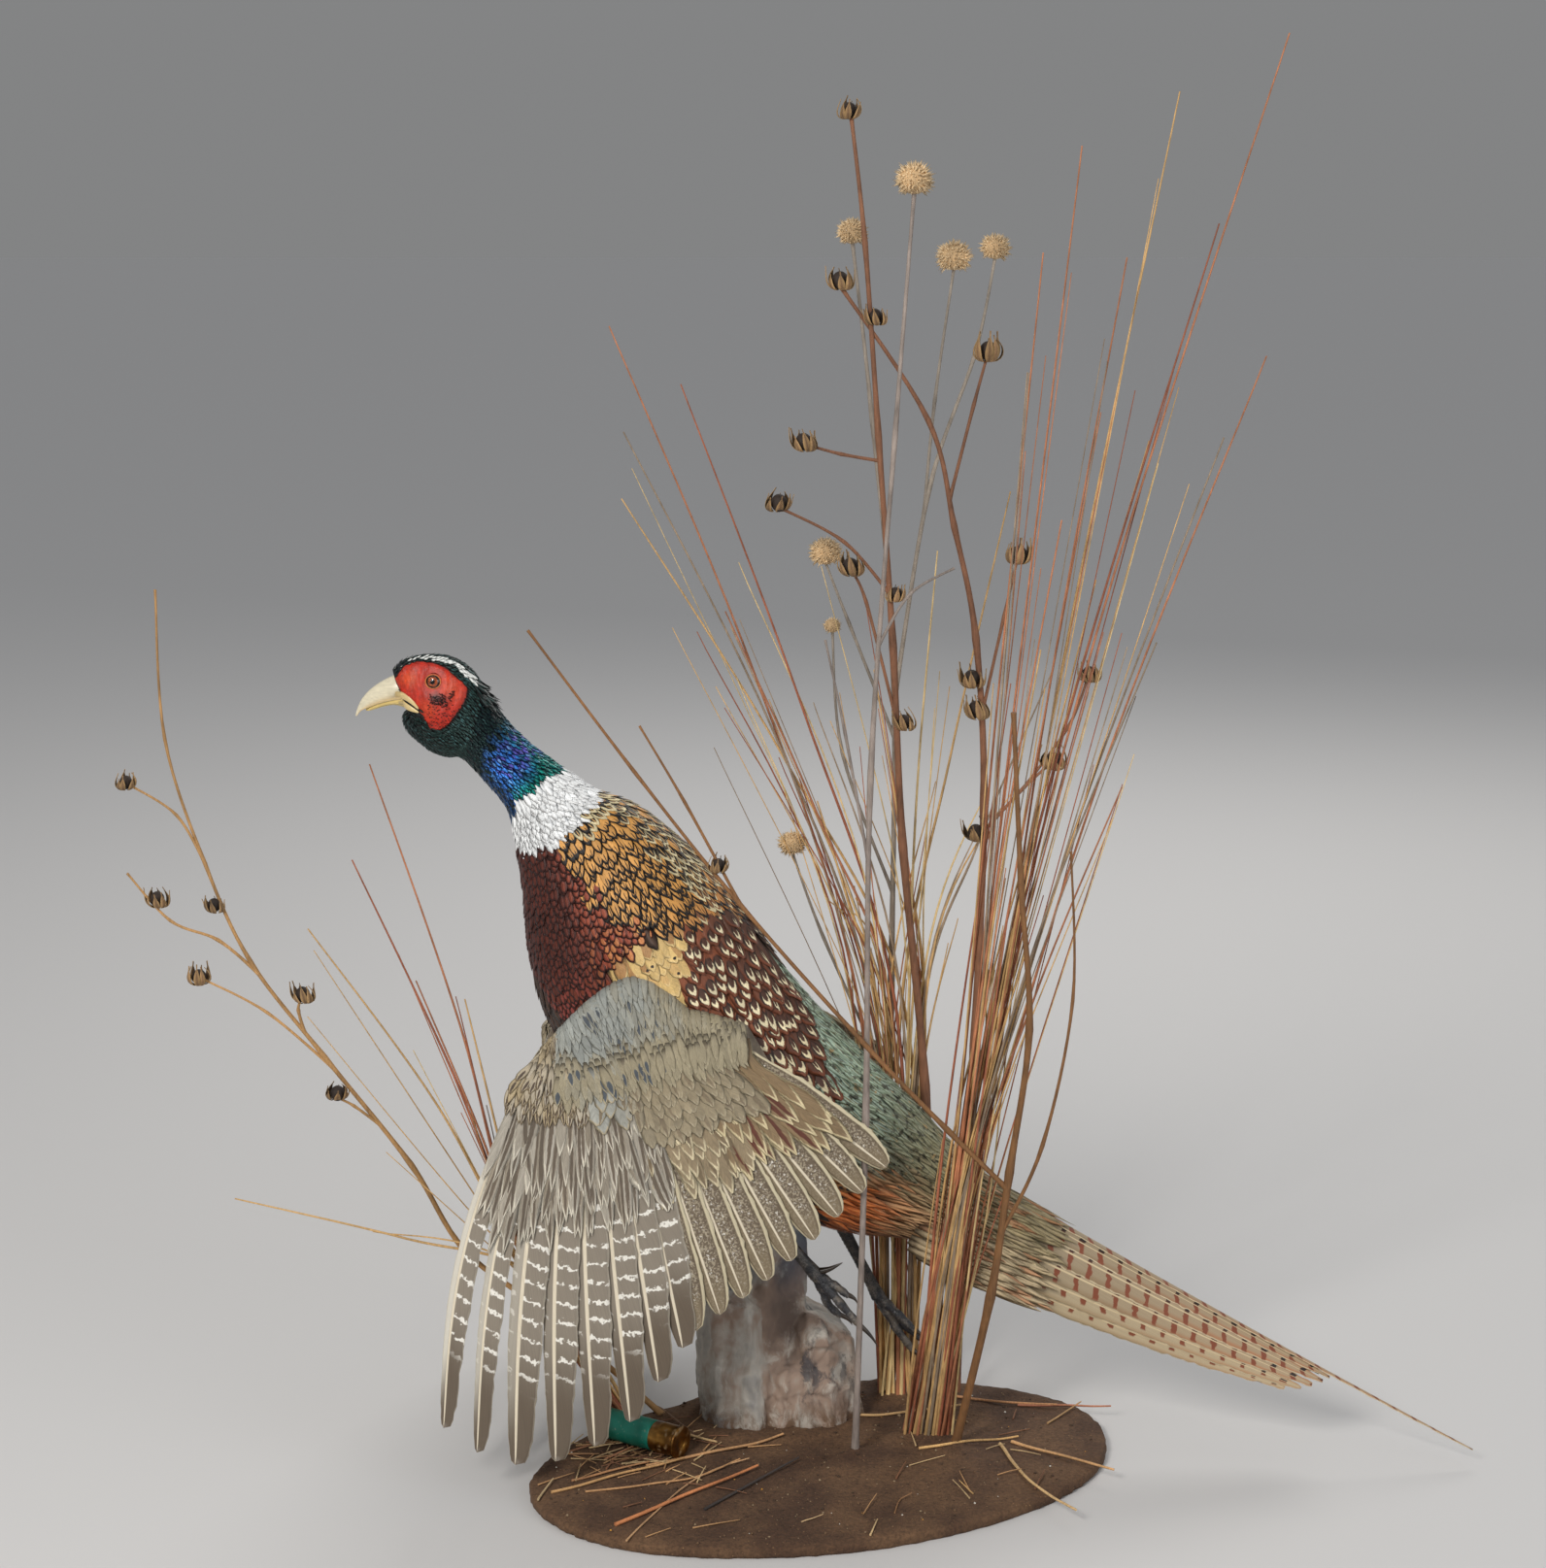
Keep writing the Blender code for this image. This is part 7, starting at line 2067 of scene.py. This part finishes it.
def makeShell():
    # a spent shell: bronzed head with its primer, then the ribbed plastic case and its folded mouth
    way = np.array(shell["way"]) / np.linalg.norm(shell["way"])
    up = np.array((0.0, 0.0, 1.0))
    basis = np.array([np.cross(up, way), up, way])
    head = np.array(shell["head"])
    r, rim, brassEnd, last = shell["radius"], shell["rim"], shell["brass"], shell["length"]
    brassLine = [(0.0, 0.5), (2.6, 0.5), (3.0, 0.15), (3.3, 0.6), (3.6, 0.1), (10.3, 0.0), (10.9, 0.15),
                 (11.2, 0.6), (11.2, 1.2), (10.9, rim), (r - 0.2, rim + 0.3), (r - 0.2, rim + 0.9),
                 (r + 0.05, rim + 1.6), (r + 0.1, 8.0), (r + 0.1, 14.0), (r + 0.25, 14.6), (r + 0.1, 15.2),
                 (r + 0.1, brassEnd - 0.5), (r - 0.3, brassEnd), (0.0, brassEnd)]
    brass = turnedForm("shell_head", head, basis, brassLine, 72)
    tree = Finish("bronzed_brass", tone(150, 108, 56), 0.38, metallic=1.0)
    place = tree.objectPlace()
    colour = tree.mix(tree.step(tree.noise(place, 90.0, 4.0), 0.35, 0.65), tone(104, 72, 38),
                      tone(168, 124, 62))
    dirt = tree.step(tree.noise(place, 190.0, 5.0), 0.56, 0.70)
    colour = tree.mix(tree.times(dirt, 0.7), colour, tone(150, 130, 100))
    brass.data.materials.append(tree.finish(colour, Roughness=tree.scaleAdd(dirt, 0.35, 0.34),
                                            Metallic=tree.scaleAdd(dirt, -0.8, 1.0)))
    settle(brass, "brass", "shell_brass")
    caseLine = [(0.0, brassEnd - 0.6), (r - 0.5, brassEnd - 0.6)]
    caseLine += [(r + 0.07 * math.sin(0.9 * z), z) for z in np.linspace(brassEnd + 0.05, last - 4.0, 40)]
    caseLine += [(r - 0.25, last - 2.6), (r - 1.0, last - 1.2), (r - 2.3, last - 0.1), (r - 3.4, last - 0.3),
                 (r - 5.2, last - 2.0), (r - 7.0, last - 3.4), (1.2, last - 4.6), (0.0, last - 4.8)]
    case = turnedForm("shell_tube", head, basis, caseLine, 96)
    local = (pointsOf(case) - head) @ basis.T
    angle = np.arctan2(local[:, 1], local[:, 0])
    away = np.hypot(local[:, 0], local[:, 1])
    fold = np.where(local[:, 2] > last - 5.0,
                    np.abs(np.sin(angle * 3.0)) * 1.3 * (away < 7.6) * (away > 0.4), 0.0)
    ribs = 0.05 * np.sin(angle * 60.0) * (local[:, 2] < last - 5.0) * (away > 9.5)
    grow = 1.0 + ribs / np.maximum(away, 0.1)
    local = np.stack([local[:, 0] * grow, local[:, 1] * grow, local[:, 2] + fold], -1)
    case.data.vertices.foreach_set("co", ((head + local @ basis) * mm).astype(np.float32).ravel())
    tree = Finish("shell_plastic", tone(16, 118, 98), 0.42)
    place = tree.objectPlace()
    colour = tree.mix(tree.step(tree.noise(place, 60.0, 3.0), 0.35, 0.7), tone(12, 112, 92),
                      tone(22, 132, 112))
    scuff = tree.step(tree.noise(tree.scaled(place, (1.0, 1.0, 1.0)), 420.0, 4.0), 0.62, 0.72)
    colour = tree.mix(tree.times(scuff, 0.45), colour, tone(150, 170, 150))
    case.data.materials.append(tree.finish(colour, Roughness=tree.scaleAdd(scuff, 0.25, 0.40)))
    settle(case, "shell_plastic", "shell_case")

plants = {  # stems are points with a radius at the foot and the tip, heads and pods are place and size
    "stalk_front": {
        "plug": (17, 15, 6), "paint": (136, 124, 116),
        "stems": (
            (((17, 15, 12), (22, 9, 245), (26, 4, 473), (38, -1, 689), (48, -4, 839)), 2.2, 1.1),
            (((25, 5, 430), (8, 8, 500), (-5, 12, 560)), 1.1, 0.7),
            (((29, 3, 550), (50, 6, 590), (76, 10, 606)), 1.1, 0.7),
        ),
        "heads": (
            (48, -4, 846, 13.5),
        ),
    },
    "stalk_rear": {
        "plug": (40, 130, 7), "paint": (142, 132, 120),
        "stems": (
            (((40, 130, 12), (44, 148, 300), (44, 144, 520), (27, 140, 690), (14, 138, 804)), 2.2, 1.1),
            (((44, 144, 505), (66, 142, 640), (96, 139, 730), (108, 138, 794)), 1.6, 0.9),
            (((64, 142, 628), (70, 141, 700), (81, 139, 787)), 1.2, 0.9),
            (((43, 147, 350), (8, 143, 460), (2, 140, 545)), 1.2, 0.8),
            (((42, 150, 240), (-4, 146, 330), (-25, 142, 392)), 1.2, 0.8),
            (((44, 145, 480), (14, 142, 550), (-3, 140, 592)), 1.2, 0.8),
        ),
        "heads": (
            (14, 138, 813, 11.5), (81, 139, 796, 13.5), (108, 138, 803, 11.5), (-3, 140, 601, 12.5),
            (2, 140, 552, 7), (-25, 142, 400, 11),
        ),
    },
    "pod_plant": {
        "plug": (84, 111, 13), "paint": (122, 82, 58),
        "stems": (
            (((79, 108, 12), (66, 122, 230), (50, 116, 400), (40, 108, 540), (28, 104, 680), (22, 103, 804),
              (12, 103, 884)), 3, 1.2),
            (((90, 112, 12), (99, 122, 260), (104, 112, 430), (97, 108, 545), (80, 106, 620), (62, 104, 690),
              (6, 103, 776)), 2.8, 1.2),
            (((30, 104, 660), (8, 104, 668), (-16, 104, 674)), 1.2, 0.9),
            (((38, 106, 570), (10, 104, 610), (-32, 104, 632)), 1.2, 0.9),
            (((44, 110, 490), (24, 104, 570), (13, 104, 592)), 1.2, 0.9),
            (((76, 105, 640), (92, 103, 700), (101, 104, 731)), 1.2, 0.9),
            (((100, 110, 500), (114, 106, 560), (123, 104, 599)), 1.2, 0.9),
            (((104, 112, 420), (130, 106, 444), (147, 104, 461)), 1.2, 0.9),
            (((130, 106, 444), (158, 104, 486), (171, 104, 519)), 1, 0.9),
        ),
        "pods": (
            (10, 104, 892, 8), (5, 104, 785, 9), (30, 104, 756, 8), (102, 104, 736, 10), (-18, 104, 677, 9),
            (-34, 104, 637, 9), (13, 104, 595, 9), (124, 104, 603, 9), (87, 106, 518, 9), (94, 108, 498, 9),
            (57, 112, 489, 8), (149, 104, 464, 9), (86, 114, 414, 9), (49, 108, 577, 7), (172, 104, 523, 8),
        ),
    },
    "stem_brown": {
        "plug": (85, 29, 6), "paint": (124, 86, 50),
        "stems": (
            (((85, 29, 12), (106, 14, 119), (117, 2, 209), (126, -10, 310), (120, -18, 409),
              (112, -24, 520)), 3, 1.4),
            (((115, 3, 200), (76, -4, 240), (20, -4, 298), (-60, 16, 386), (-128, 34, 470), (-196, 50, 560)),
             1.8, 0.8),
            (((-60, 16, 386), (-96, 26, 452), (-124, 36, 500)), 1.2, 0.7),
            (((112, 8, 160), (136, -2, 230), (154, -12, 330), (150, -20, 430)), 1.4, 0.7),
        ),
        "pods": (
            (-73, 20, 412, 7),
        ),
    },
    "stem_left": {
        "plug": (-112, 74, 6), "paint": (170, 130, 82),
        "stems": (
            (((-112, 74, 12), (-190, 64, 84), (-246, 60, 133), (-283, 60, 195), (-340, 60, 270),
              (-383, 60, 337), (-412, 60, 403), (-435, 60, 487), (-437, 60, 585)), 2.2, 0.7),
            (((-376, 60, 326), (-404, 56, 352), (-436, 54, 366), (-462, 54, 398)), 1.2, 0.7),
            (((-412, 60, 403), (-430, 58, 436), (-458, 58, 456)), 1, 0.7),
            (((-330, 60, 256), (-374, 64, 300), (-416, 66, 322)), 1.1, 0.7),
            (((-300, 60, 218), (-318, 54, 238), (-327, 52, 244)), 1.1, 0.7),
            (((-352, 60, 288), (-353, 54, 304), (-350, 50, 313)), 1.2, 0.8),
        ),
        "pods": (
            (-462, 58, 460, 7), (-440, 56, 384, 8), (-416, 56, 374, 7), (-421, 66, 326, 8),
            (-349, 52, 317, 8), (-328, 52, 249, 8),
        ),
    },
}

grasses = {  # foot x, y, spread; waist x, y, z, spread; how many; odds of the kinds; tips of the main blades
    "grass_front": {
        "foot": (68, 43, 17, 5), "waist": (86, 12, 200, 16, 5), "count": 80,
        "odds": (0.24, 0.26, 0.16, 0.18, 0.16),
        "tips": (
            (270, -22, 932), (206, -18, 898), (149, -8, 866), (262, -26, 741), (201, -16, 563),
            (127, -4, 802), (118, -12, 730), (240, -10, 690), (176, -24, 800), (164, 0, 600),
            (140, -20, 640), (182, -12, 470), (128, -26, 560), (232, -18, 820),
        ),
    },
    "grass_rear": {
        "foot": (50, 111, 13, 5), "waist": (52, 134, 280, 30, 3), "count": 60,
        "odds": (0.12, 0.40, 0.12, 0.12, 0.24),
        "tips": (
            (-146, 136, 749), (-99, 134, 711), (-137, 130, 680), (-139, 136, 635), (-70, 130, 560),
            (-8, 130, 430), (150, 130, 520), (120, 134, 640), (30, 132, 520), (72, 136, 600),
        ),
    },
    "grass_left": {
        "foot": (-134, 60, 5, 3), "waist": (-196, 42, 120, 8, 3), "count": 24,
        "odds": (0.15, 0.40, 0.15, 0.15, 0.15),
        "tips": (
            (-299, 40, 474), (-313, 46, 409), (-343, 44, 363), (-398, 46, 176), (-272, 36, 330),
            (-240, 34, 318),
        ),
    },
}


dry = {"branchFrom": 14.0, "footDepth": 7.0, "kink": 1.2, "bigHead": 9.0, "spikes": 340, "fewSpikes": 180,
       "goldenTurn": 2.399963, "spikePaint": (204, 178, 140), "corePaint": (178, 150, 112),
       "podPaint": (44, 32, 24), "core": (0.72, 0.72, 0.64),
       "bladeKinds": ((150, 88, 62), (196, 158, 104), (150, 130, 108), (172, 112, 78), (214, 186, 132)),
       "bits": 110, "heap": (-128.0, 18.0), "heapSpread": 26.0,
       "bitPaint": ((182, 140, 96), (128, 88, 62), (206, 176, 130))}


def strandGroup():
    # tubes along every path of the mesh, as thick as its girth says
    group = bpy.data.node_groups.new("strands", "GeometryNodeTree")
    group.interface.new_socket("Geometry", in_out="INPUT", socket_type="NodeSocketGeometry")
    sides = group.interface.new_socket("Sides", in_out="INPUT", socket_type="NodeSocketInt")
    finish = group.interface.new_socket("Finish", in_out="INPUT", socket_type="NodeSocketMaterial")
    sides.default_value = 6
    group.interface.new_socket("Geometry", in_out="OUTPUT", socket_type="NodeSocketGeometry")
    tree = Tree(group)
    start, end = group.nodes.new("NodeGroupInput"), group.nodes.new("NodeGroupOutput")
    girth = tree.add("GeometryNodeInputNamedAttribute", {"Name": "girth"}, data_type="FLOAT")
    line = tree.add("GeometryNodeMeshToCurve", {"Mesh": start.outputs["Geometry"]})
    ring = tree.add("GeometryNodeCurvePrimitiveCircle", {"Resolution": start.outputs["Sides"], "Radius": 1.0})
    tube = tree.add("GeometryNodeCurveToMesh", {"Curve": line, "Profile Curve": ring, "Scale": girth,
                                                "Fill Caps": True})
    smooth = tree.add("GeometryNodeSetShadeSmooth", {"Geometry": tube})
    made = tree.add("GeometryNodeSetMaterial", {"Geometry": smooth, "Material": start.outputs["Finish"]})
    group.links.new(made, end.inputs[0])
    return group, sides.identifier, finish.identifier


strands = strandGroup()


def growStrands(name, paths, girths, paints, material, sides, perSpan, knots=0.0):
    # girths are pairs (foot, tip); knots swells a stem where its points are
    verts, edges, girth, paint = [], [], [], []
    for path, (foot, tip), colour in zip(paths, girths, paints):
        rows = curveTable(path, perSpan)
        at = sum(len(v) for v in verts)
        share = np.linspace(0.0, 1.0, len(rows))
        away = np.abs(np.remainder(np.arange(len(rows)) / perSpan + 0.5, 1.0) - 0.5)
        swell = 1.0 + knots * np.exp(-(away * 9.0) ** 2)
        verts.append(rows * mm)
        edges.extend((at + k, at + k + 1) for k in range(len(rows) - 1))
        girth.append((foot + (tip - foot) * share) * swell * mm)
        paint.append(np.tile(colour, (len(rows), 1)))
    mesh = bpy.data.meshes.new(name)
    mesh.from_pydata(np.concatenate(verts), edges, [])
    item = placed(name, mesh)
    giveValue(item, "girth", np.concatenate(girth))
    giveColour(item, "paint", np.concatenate(paint))
    group, sidesKey, finishKey = strands
    nodes = item.modifiers.new("strands", "NODES")
    nodes.node_group = group
    nodes[sidesKey] = sides
    nodes[finishKey] = material
    graph = bpy.context.evaluated_depsgraph_get()
    made = bpy.data.meshes.new_from_object(item.evaluated_get(graph), depsgraph=graph)
    item.modifiers.remove(nodes)
    item.data = made
    return item


def dryMaterial(name):
    tree = Finish(name, tone(150, 120, 80), 0.75)
    place = tree.objectPlace()
    streak = tree.noise(tree.scaled(place, (1.0, 1.0, 0.12)), 900.0, 3.0)
    patch = tree.noise(place, 45.0, 3.0)
    shade = tree.scaleAdd(streak, 1.0, tree.scaleAdd(patch, 1.5, -0.25))
    return tree.finish(tree.grey(tree.attribute("paint"), shade), bump=(streak, 0.4, 0.0004))


def nearestOn(paths, point):
    # the point nearest to the given one on any of the stems
    point = np.array(point, float)
    best, least = point, 1e9
    for path in paths:
        rows = curveTable(path, 8)
        away = np.linalg.norm(rows - point, axis=1)
        k = int(away.argmin())
        if away[k] < least:
            best, least = rows[k], float(away[k])
    return best


def heldOn(paths, point, reach):
    # the point itself, drawn in to lie within reach of the stems
    held = nearestOn(paths, point)
    away = np.array(point, float) - held
    return held + away * min(1.0, reach / max(float(np.linalg.norm(away)), 0.001))


def bristles(centre, size, seed, count):
    # short spikes all round a dry head but at its foot
    rng = np.random.default_rng(seed)
    k = np.arange(count) + 0.5
    polar = np.arccos(1.0 - 1.78 * k / count)
    turn = k * dry["goldenTurn"]
    way = np.stack([np.sin(polar) * np.cos(turn), np.sin(polar) * np.sin(turn), np.cos(polar)], -1)
    way += rng.normal(0, 0.10, way.shape)
    way = unit(way)
    side = unit(np.cross(way, (0.31, 0.17, 0.93)))
    other = np.cross(way, side)
    flat = np.array((1.0, 1.0, 0.92))
    foot = way * (size * 0.62)
    reach = size * (0.94 + rng.normal(0, 0.07, count))[:, None]
    wide = size * 0.07
    corners = [foot + side * wide, foot - side * wide * 0.5 + other * wide * 0.9,
               foot - side * wide * 0.5 - other * wide * 0.9,
               way * reach + rng.normal(0, size * 0.03, way.shape)]
    verts = np.stack(corners, 1).reshape(-1, 3) * flat + centre
    face = np.array([(0, 1, 3), (1, 2, 3), (2, 0, 3), (2, 1, 0)])
    faces = (face[None] + (np.arange(count) * 4)[:, None, None]).reshape(-1, 3)
    shade = rng.uniform(0.75, 1.25, count)
    return verts, faces, np.repeat(tone(*dry["spikePaint"])[None] * shade[:, None], 4, 0)


def ballForm(centre, radii):
    rows, columns = 12, 16
    polar = np.linspace(0.02, math.pi - 0.02, rows)
    turn = roundTurn(columns)
    form = np.stack([np.outer(np.sin(polar), np.cos(turn)), np.outer(np.sin(polar), np.sin(turn)),
                     np.outer(np.cos(polar), np.ones(columns))], -1).reshape(-1, 3)
    return centre + form * np.array(radii, float), gridFaces(rows, columns, True)


def podStrips(centre, size, seed):
    # an open seed pod: dry strips that rise from its foot and curl outwards, round a dark middle
    rng = np.random.default_rng(seed)
    verts, faces, paint = [], [], []
    count, rows, wide = 8, 9, 3
    lean = rng.normal(0, 0.25, 2)
    for k in range(count):
        turn = 2 * math.pi * k / count + rng.normal(0, 0.12)
        t = np.linspace(0.0, 1.0, rows)[:, None]
        u = np.linspace(-1.0, 1.0, wide)[None, :]
        polar = 2.75 - t * rng.uniform(1.55, 2.25)
        radius = size * (0.90 + 0.14 * np.sin(t * 5.0) + 0.62 * t ** 3 * rng.uniform(0.1, 1.2))
        breadth = 0.27 * np.sin(np.minimum(t * 1.15, 1.0) * math.pi * 0.92 + 0.12) * u
        angle = turn + breadth / np.maximum(np.sin(polar), 0.35)
        reach = radius * np.sin(polar)
        x, y, z = reach * np.cos(angle), reach * np.sin(angle), radius * np.cos(polar)
        strip = np.stack(np.broadcast_arrays(x + z * lean[0], y + z * lean[1], z), -1).reshape(-1, 3)
        inner = strip * (1.0 - 0.5 / size)
        faces.append(sheetFaces(rows, wide) + sum(len(v) for v in verts))
        verts.append(np.concatenate([strip, inner]) + centre)
        colour = tone(112, 84, 58) * rng.uniform(0.6, 1.35)
        pale = np.broadcast_to(np.abs(u) > 0.5, (rows, wide)).ravel()
        tint = np.where(pale[:, None], tone(176, 142, 96) * 0.9, colour)
        # the inner sheet of each strip, facing the dark middle, takes half the colour: painted shade
        paint.append(np.concatenate([tint, tint * 0.5]))
    core, coreFaces = ballForm(centre - np.array((0.0, 0.0, size * 0.12)),
                               (size * 0.60, size * 0.60, size * 0.66))
    faces.append(coreFaces + sum(len(v) for v in verts))
    verts.append(core)
    paint.append(plain(len(core), *dry["podPaint"]))
    return np.concatenate(verts), np.concatenate(faces), np.concatenate(paint)


def formOf(name, parts, material):
    # one mesh from (verts, faces, paint) parts with the same number of corners to a face
    shift = np.cumsum([0] + [len(part[0]) for part in parts[:-1]])
    verts, faces, paint = zip(*parts)
    return closedForm(name, np.concatenate(verts),
                      np.concatenate([f + at for f, at in zip(faces, shift)]), (), material,
                      np.concatenate(paint))


def growPlant(name, plan, stemFinish, headFinish):
    rng = np.random.default_rng(len(name) * 7)
    colour = tone(*plan["paint"])
    paths, girths, paints = [], [], []
    for points, foot, tip in plan["stems"]:
        points = [np.array(p, float) for p in points]
        if points[0][2] > dry["branchFrom"]:
            points[0] = nearestOn(paths, points[0])
        else:
            points[0][2] = dry["footDepth"]
        # a dry stem is never quite straight: a small kink at each joint
        for k in range(1, len(points) - 1):
            points[k] = points[k] + rng.normal(0, dry["kink"], 3) * (1, 1, 0)
        paths.append(points)
        girths.append((foot, tip))
        paints.append(colour * rng.uniform(0.85, 1.15))
    items = [growStrands(name + "_stems", paths, girths, paints, stemFinish, 8, 8, 0.35)]
    if "heads" in plan:
        cores, spikes = [], []
        for k, (x, y, z, size) in enumerate(plan["heads"]):
            centre = heldOn(paths, (x, y, z), 0.5 * size)
            core, faces = ballForm(centre, tuple(size * share for share in dry["core"]))
            cores.append((core, faces, plain(len(core), *dry["corePaint"])))
            count = dry["spikes" if size > dry["bigHead"] else "fewSpikes"]
            spikes.append(bristles(centre, size, 30 + k, count))
        items += [formOf(name + "_cores", cores, headFinish), formOf(name + "_spikes", spikes, headFinish)]
    if "pods" in plan:
        pods = [podStrips(heldOn(paths, (x, y, z), 0.6 * size), size, 50 + k)
                for k, (x, y, z, size) in enumerate(plan["pods"])]
        items.append(formOf(name + "_pods", pods, headFinish))
    settle(joined("dry_" + name, items), "dry_stem", name)


def growGrass(name, plan, finish):
    # blades fan from a tight foot through a waist to their tips; those not in the table fill between
    rng = np.random.default_rng(len(name) * 11)
    footX, footY, wide, deep = plan["foot"]
    waistX, waistY, waistZ, waistWide, waistDeep = plan["waist"]
    tips = np.array(plan["tips"], float)
    kinds = [tone(*kind) for kind in dry["bladeKinds"]]
    chance = plan["odds"]
    paths, girths, paints = [], [], []
    for k, (x, y, z) in enumerate(tips):
        share = 2.0 * ((k * 0.618) % 1.0) - 1.0
        across = (x - waistX) / 200.0
        foot = (footX + wide * share, footY + deep * math.cos(2.4 * k), board["height"] - 0.5)
        waist = (waistX + waistWide * (0.6 * share + 0.4 * across),
                 waistY + waistDeep * math.cos(2.4 * k), waistZ)
        half = tuple(a + (b - a) * 0.5 for a, b in zip(waist, (x, y, z)))
        half = (half[0] - (x - waistX) * 0.06 + rng.normal(0, 1.5), half[1], half[2])
        paths.append((foot, waist, half, (x, y, z)))
        girths.append((rng.uniform(1.2, 1.7), 0.5))
        paints.append(kinds[int(rng.choice(len(kinds), p=chance))] * rng.uniform(0.8, 1.15))
    for k in range(plan["count"] - len(tips)):
        stalk = curveTable(paths[k % len(tips)], 10)
        if k % 5 < 3:
            # shorter blades stand beside a stalk from the foot up
            stop = int(rng.integers(9, 25))
            share = rng.uniform(-1, 1)
            foot = (footX + wide * share, footY + deep * rng.uniform(-1, 1), board["height"] - 0.5)
            half = stalk[int(stop * 0.55)] + rng.normal(0, 3.0, 3) * (1, 0.5, 0) + (wide * share * 0.4, 0, 0)
            end = stalk[stop] + rng.normal(0, 5.0, 3) * (1, 0.5, 0.2) + (wide * share * 0.8, 0, 0)
            paths.append((foot, tuple(half), tuple(end)))
            girths.append((rng.uniform(0.8, 1.5), 0.35))
        else:
            # thinner blades leave a stalk part way up and end among the tips
            at = int(rng.integers(3, 13))
            first, second = tips[k % len(tips)], tips[int(rng.integers(len(tips)))]
            tip = first + (second - first) * rng.random() * 0.5
            tip = stalk[at] + (tip - stalk[at]) * rng.uniform(0.6, 1.0) + rng.normal(0, 4.0, 3)
            tip[2] = max(tip[2], stalk[at][2] + 0.4 * (tips[k % len(tips)][2] - stalk[at][2]))
            along = stalk[at + 4]
            half = along * 0.5 + (stalk[at] + tip) * 0.25
            paths.append((tuple(stalk[at]), tuple(half), tuple(tip)))
            girths.append((rng.uniform(0.45, 0.85), 0.3))
        paints.append(kinds[int(rng.choice(len(kinds), p=chance))] * rng.uniform(0.8, 1.15))
    settle(growStrands("dry_" + name, paths, girths, paints, finish, 5, 10), "dry_grass", name)


# straws that lie on the soil: x and y of their points, colour, thickness
straws = (
    (((-138, -97), (-48, -12)), (204, 132, 84), 1.5),
    (((-130, -118), (-90, -31), (-54, 0)), (190, 150, 110), 0.7),
    (((-82, -75), (-21, 0)), (72, 64, 60), 1.1), (((-122, -9), (-31, 33)), (196, 150, 104), 1.4),
    (((-182, -49), (-97, 0)), (190, 148, 98), 1.2), (((-190, -60), (-182, -31)), (196, 170, 128), 0.8),
    (((123, 30), (187, -18)), (206, 160, 110), 1.3),
    (((115, 27), (129, -31), (156, -80)), (216, 180, 128), 1.3),
    (((89, 102), (159, 88)), (204, 150, 104), 1.1), (((132, 92), (196, 84)), (170, 112, 84), 1.0),
    (((60, 20), (128, 34)), (210, 168, 110), 1.2), (((-150, 2), (-112, 44)), (180, 128, 92), 0.9),
    (((-170, -30), (-120, -6)), (170, 124, 84), 1.0),
    (((-160, -48), (-96, -30), (-60, -2)), (176, 134, 92), 0.9),
    (((-128, 66), (-76, 24)), (200, 168, 122), 1.4), (((-120, 90), (-92, 40)), (120, 92, 70), 1.2),
    (((-176, 12), (-118, 58)), (150, 104, 74), 0.9), (((20, 70), (98, 88)), (196, 160, 112), 1.2),
    (((150, 60), (176, 92)), (176, 140, 96), 0.8), (((-20, -92), (-6, -84)), (190, 160, 120), 0.5),
    (((40, -78), (44, -60), (52, -52)), (150, 110, 74), 0.5), (((92, -50), (84, -34)), (196, 158, 104), 0.6),
)


def layStraws(finish):
    rng = np.random.default_rng(15)
    paths, girths, paints = [], [], []
    for points, colour, thick in straws:
        rows = curveTable(points, 4)
        x, y = rows[:, 0], rows[:, 1]
        lift = soilHeight(x, y) + thick * 0.8 + np.linspace(0, 1, len(rows)) * 2.0
        paths.append(np.stack([x, y, lift], -1))
        girths.append((thick, thick * 0.6))
        paints.append(tone(*colour) * rng.uniform(0.9, 1.1))
    # a loose heap of short bits to the left and behind the rock
    for k in range(dry["bits"]):
        angle, radius = rng.random() * 2 * math.pi, math.sqrt(rng.random()) * 0.93
        x, y = boardPoint(radius, angle)
        if k % 4:
            x, y = (rng.normal(middle, dry["heapSpread"]) for middle in dry["heap"])
            if math.hypot((x - board["centre"][0]) / 190, (y - board["centre"][1]) / 116) > 0.96:
                continue
        turn, half = rng.normal(0.5, 0.7), rng.uniform(4.0, 17.0)
        dx, dy = math.cos(turn) * half, math.sin(turn) * half
        z = float(soilHeight(np.array(x), np.array(y))) + 0.9
        tilt = rng.uniform(0.0, 2.5)
        paths.append(((x - dx, y - dy, z), (x, y, z + tilt * 0.7), (x + dx, y + dy, z + tilt)))
        girths.append((rng.uniform(0.35, 0.8), 0.3))
        paints.append(tone(*dry["bitPaint"][k % 3]) * rng.uniform(0.8, 1.1))
    settle(growStrands("litter", paths, girths, paints, finish, 5, 4), "dry_grass")


stemFinish, headFinish, bladeFinish = (dryMaterial("dry_" + kind) for kind in ("stem", "head", "blade"))
makeBoard()
scatterGrit()
makeRock()
makeShell()
for name, plan in plants.items():
    growPlant(name, plan, stemFinish, headFinish)
for name, plan in grasses.items():
    growGrass(name, plan, bladeFinish)
layStraws(bladeFinish)
print("mount is in place")
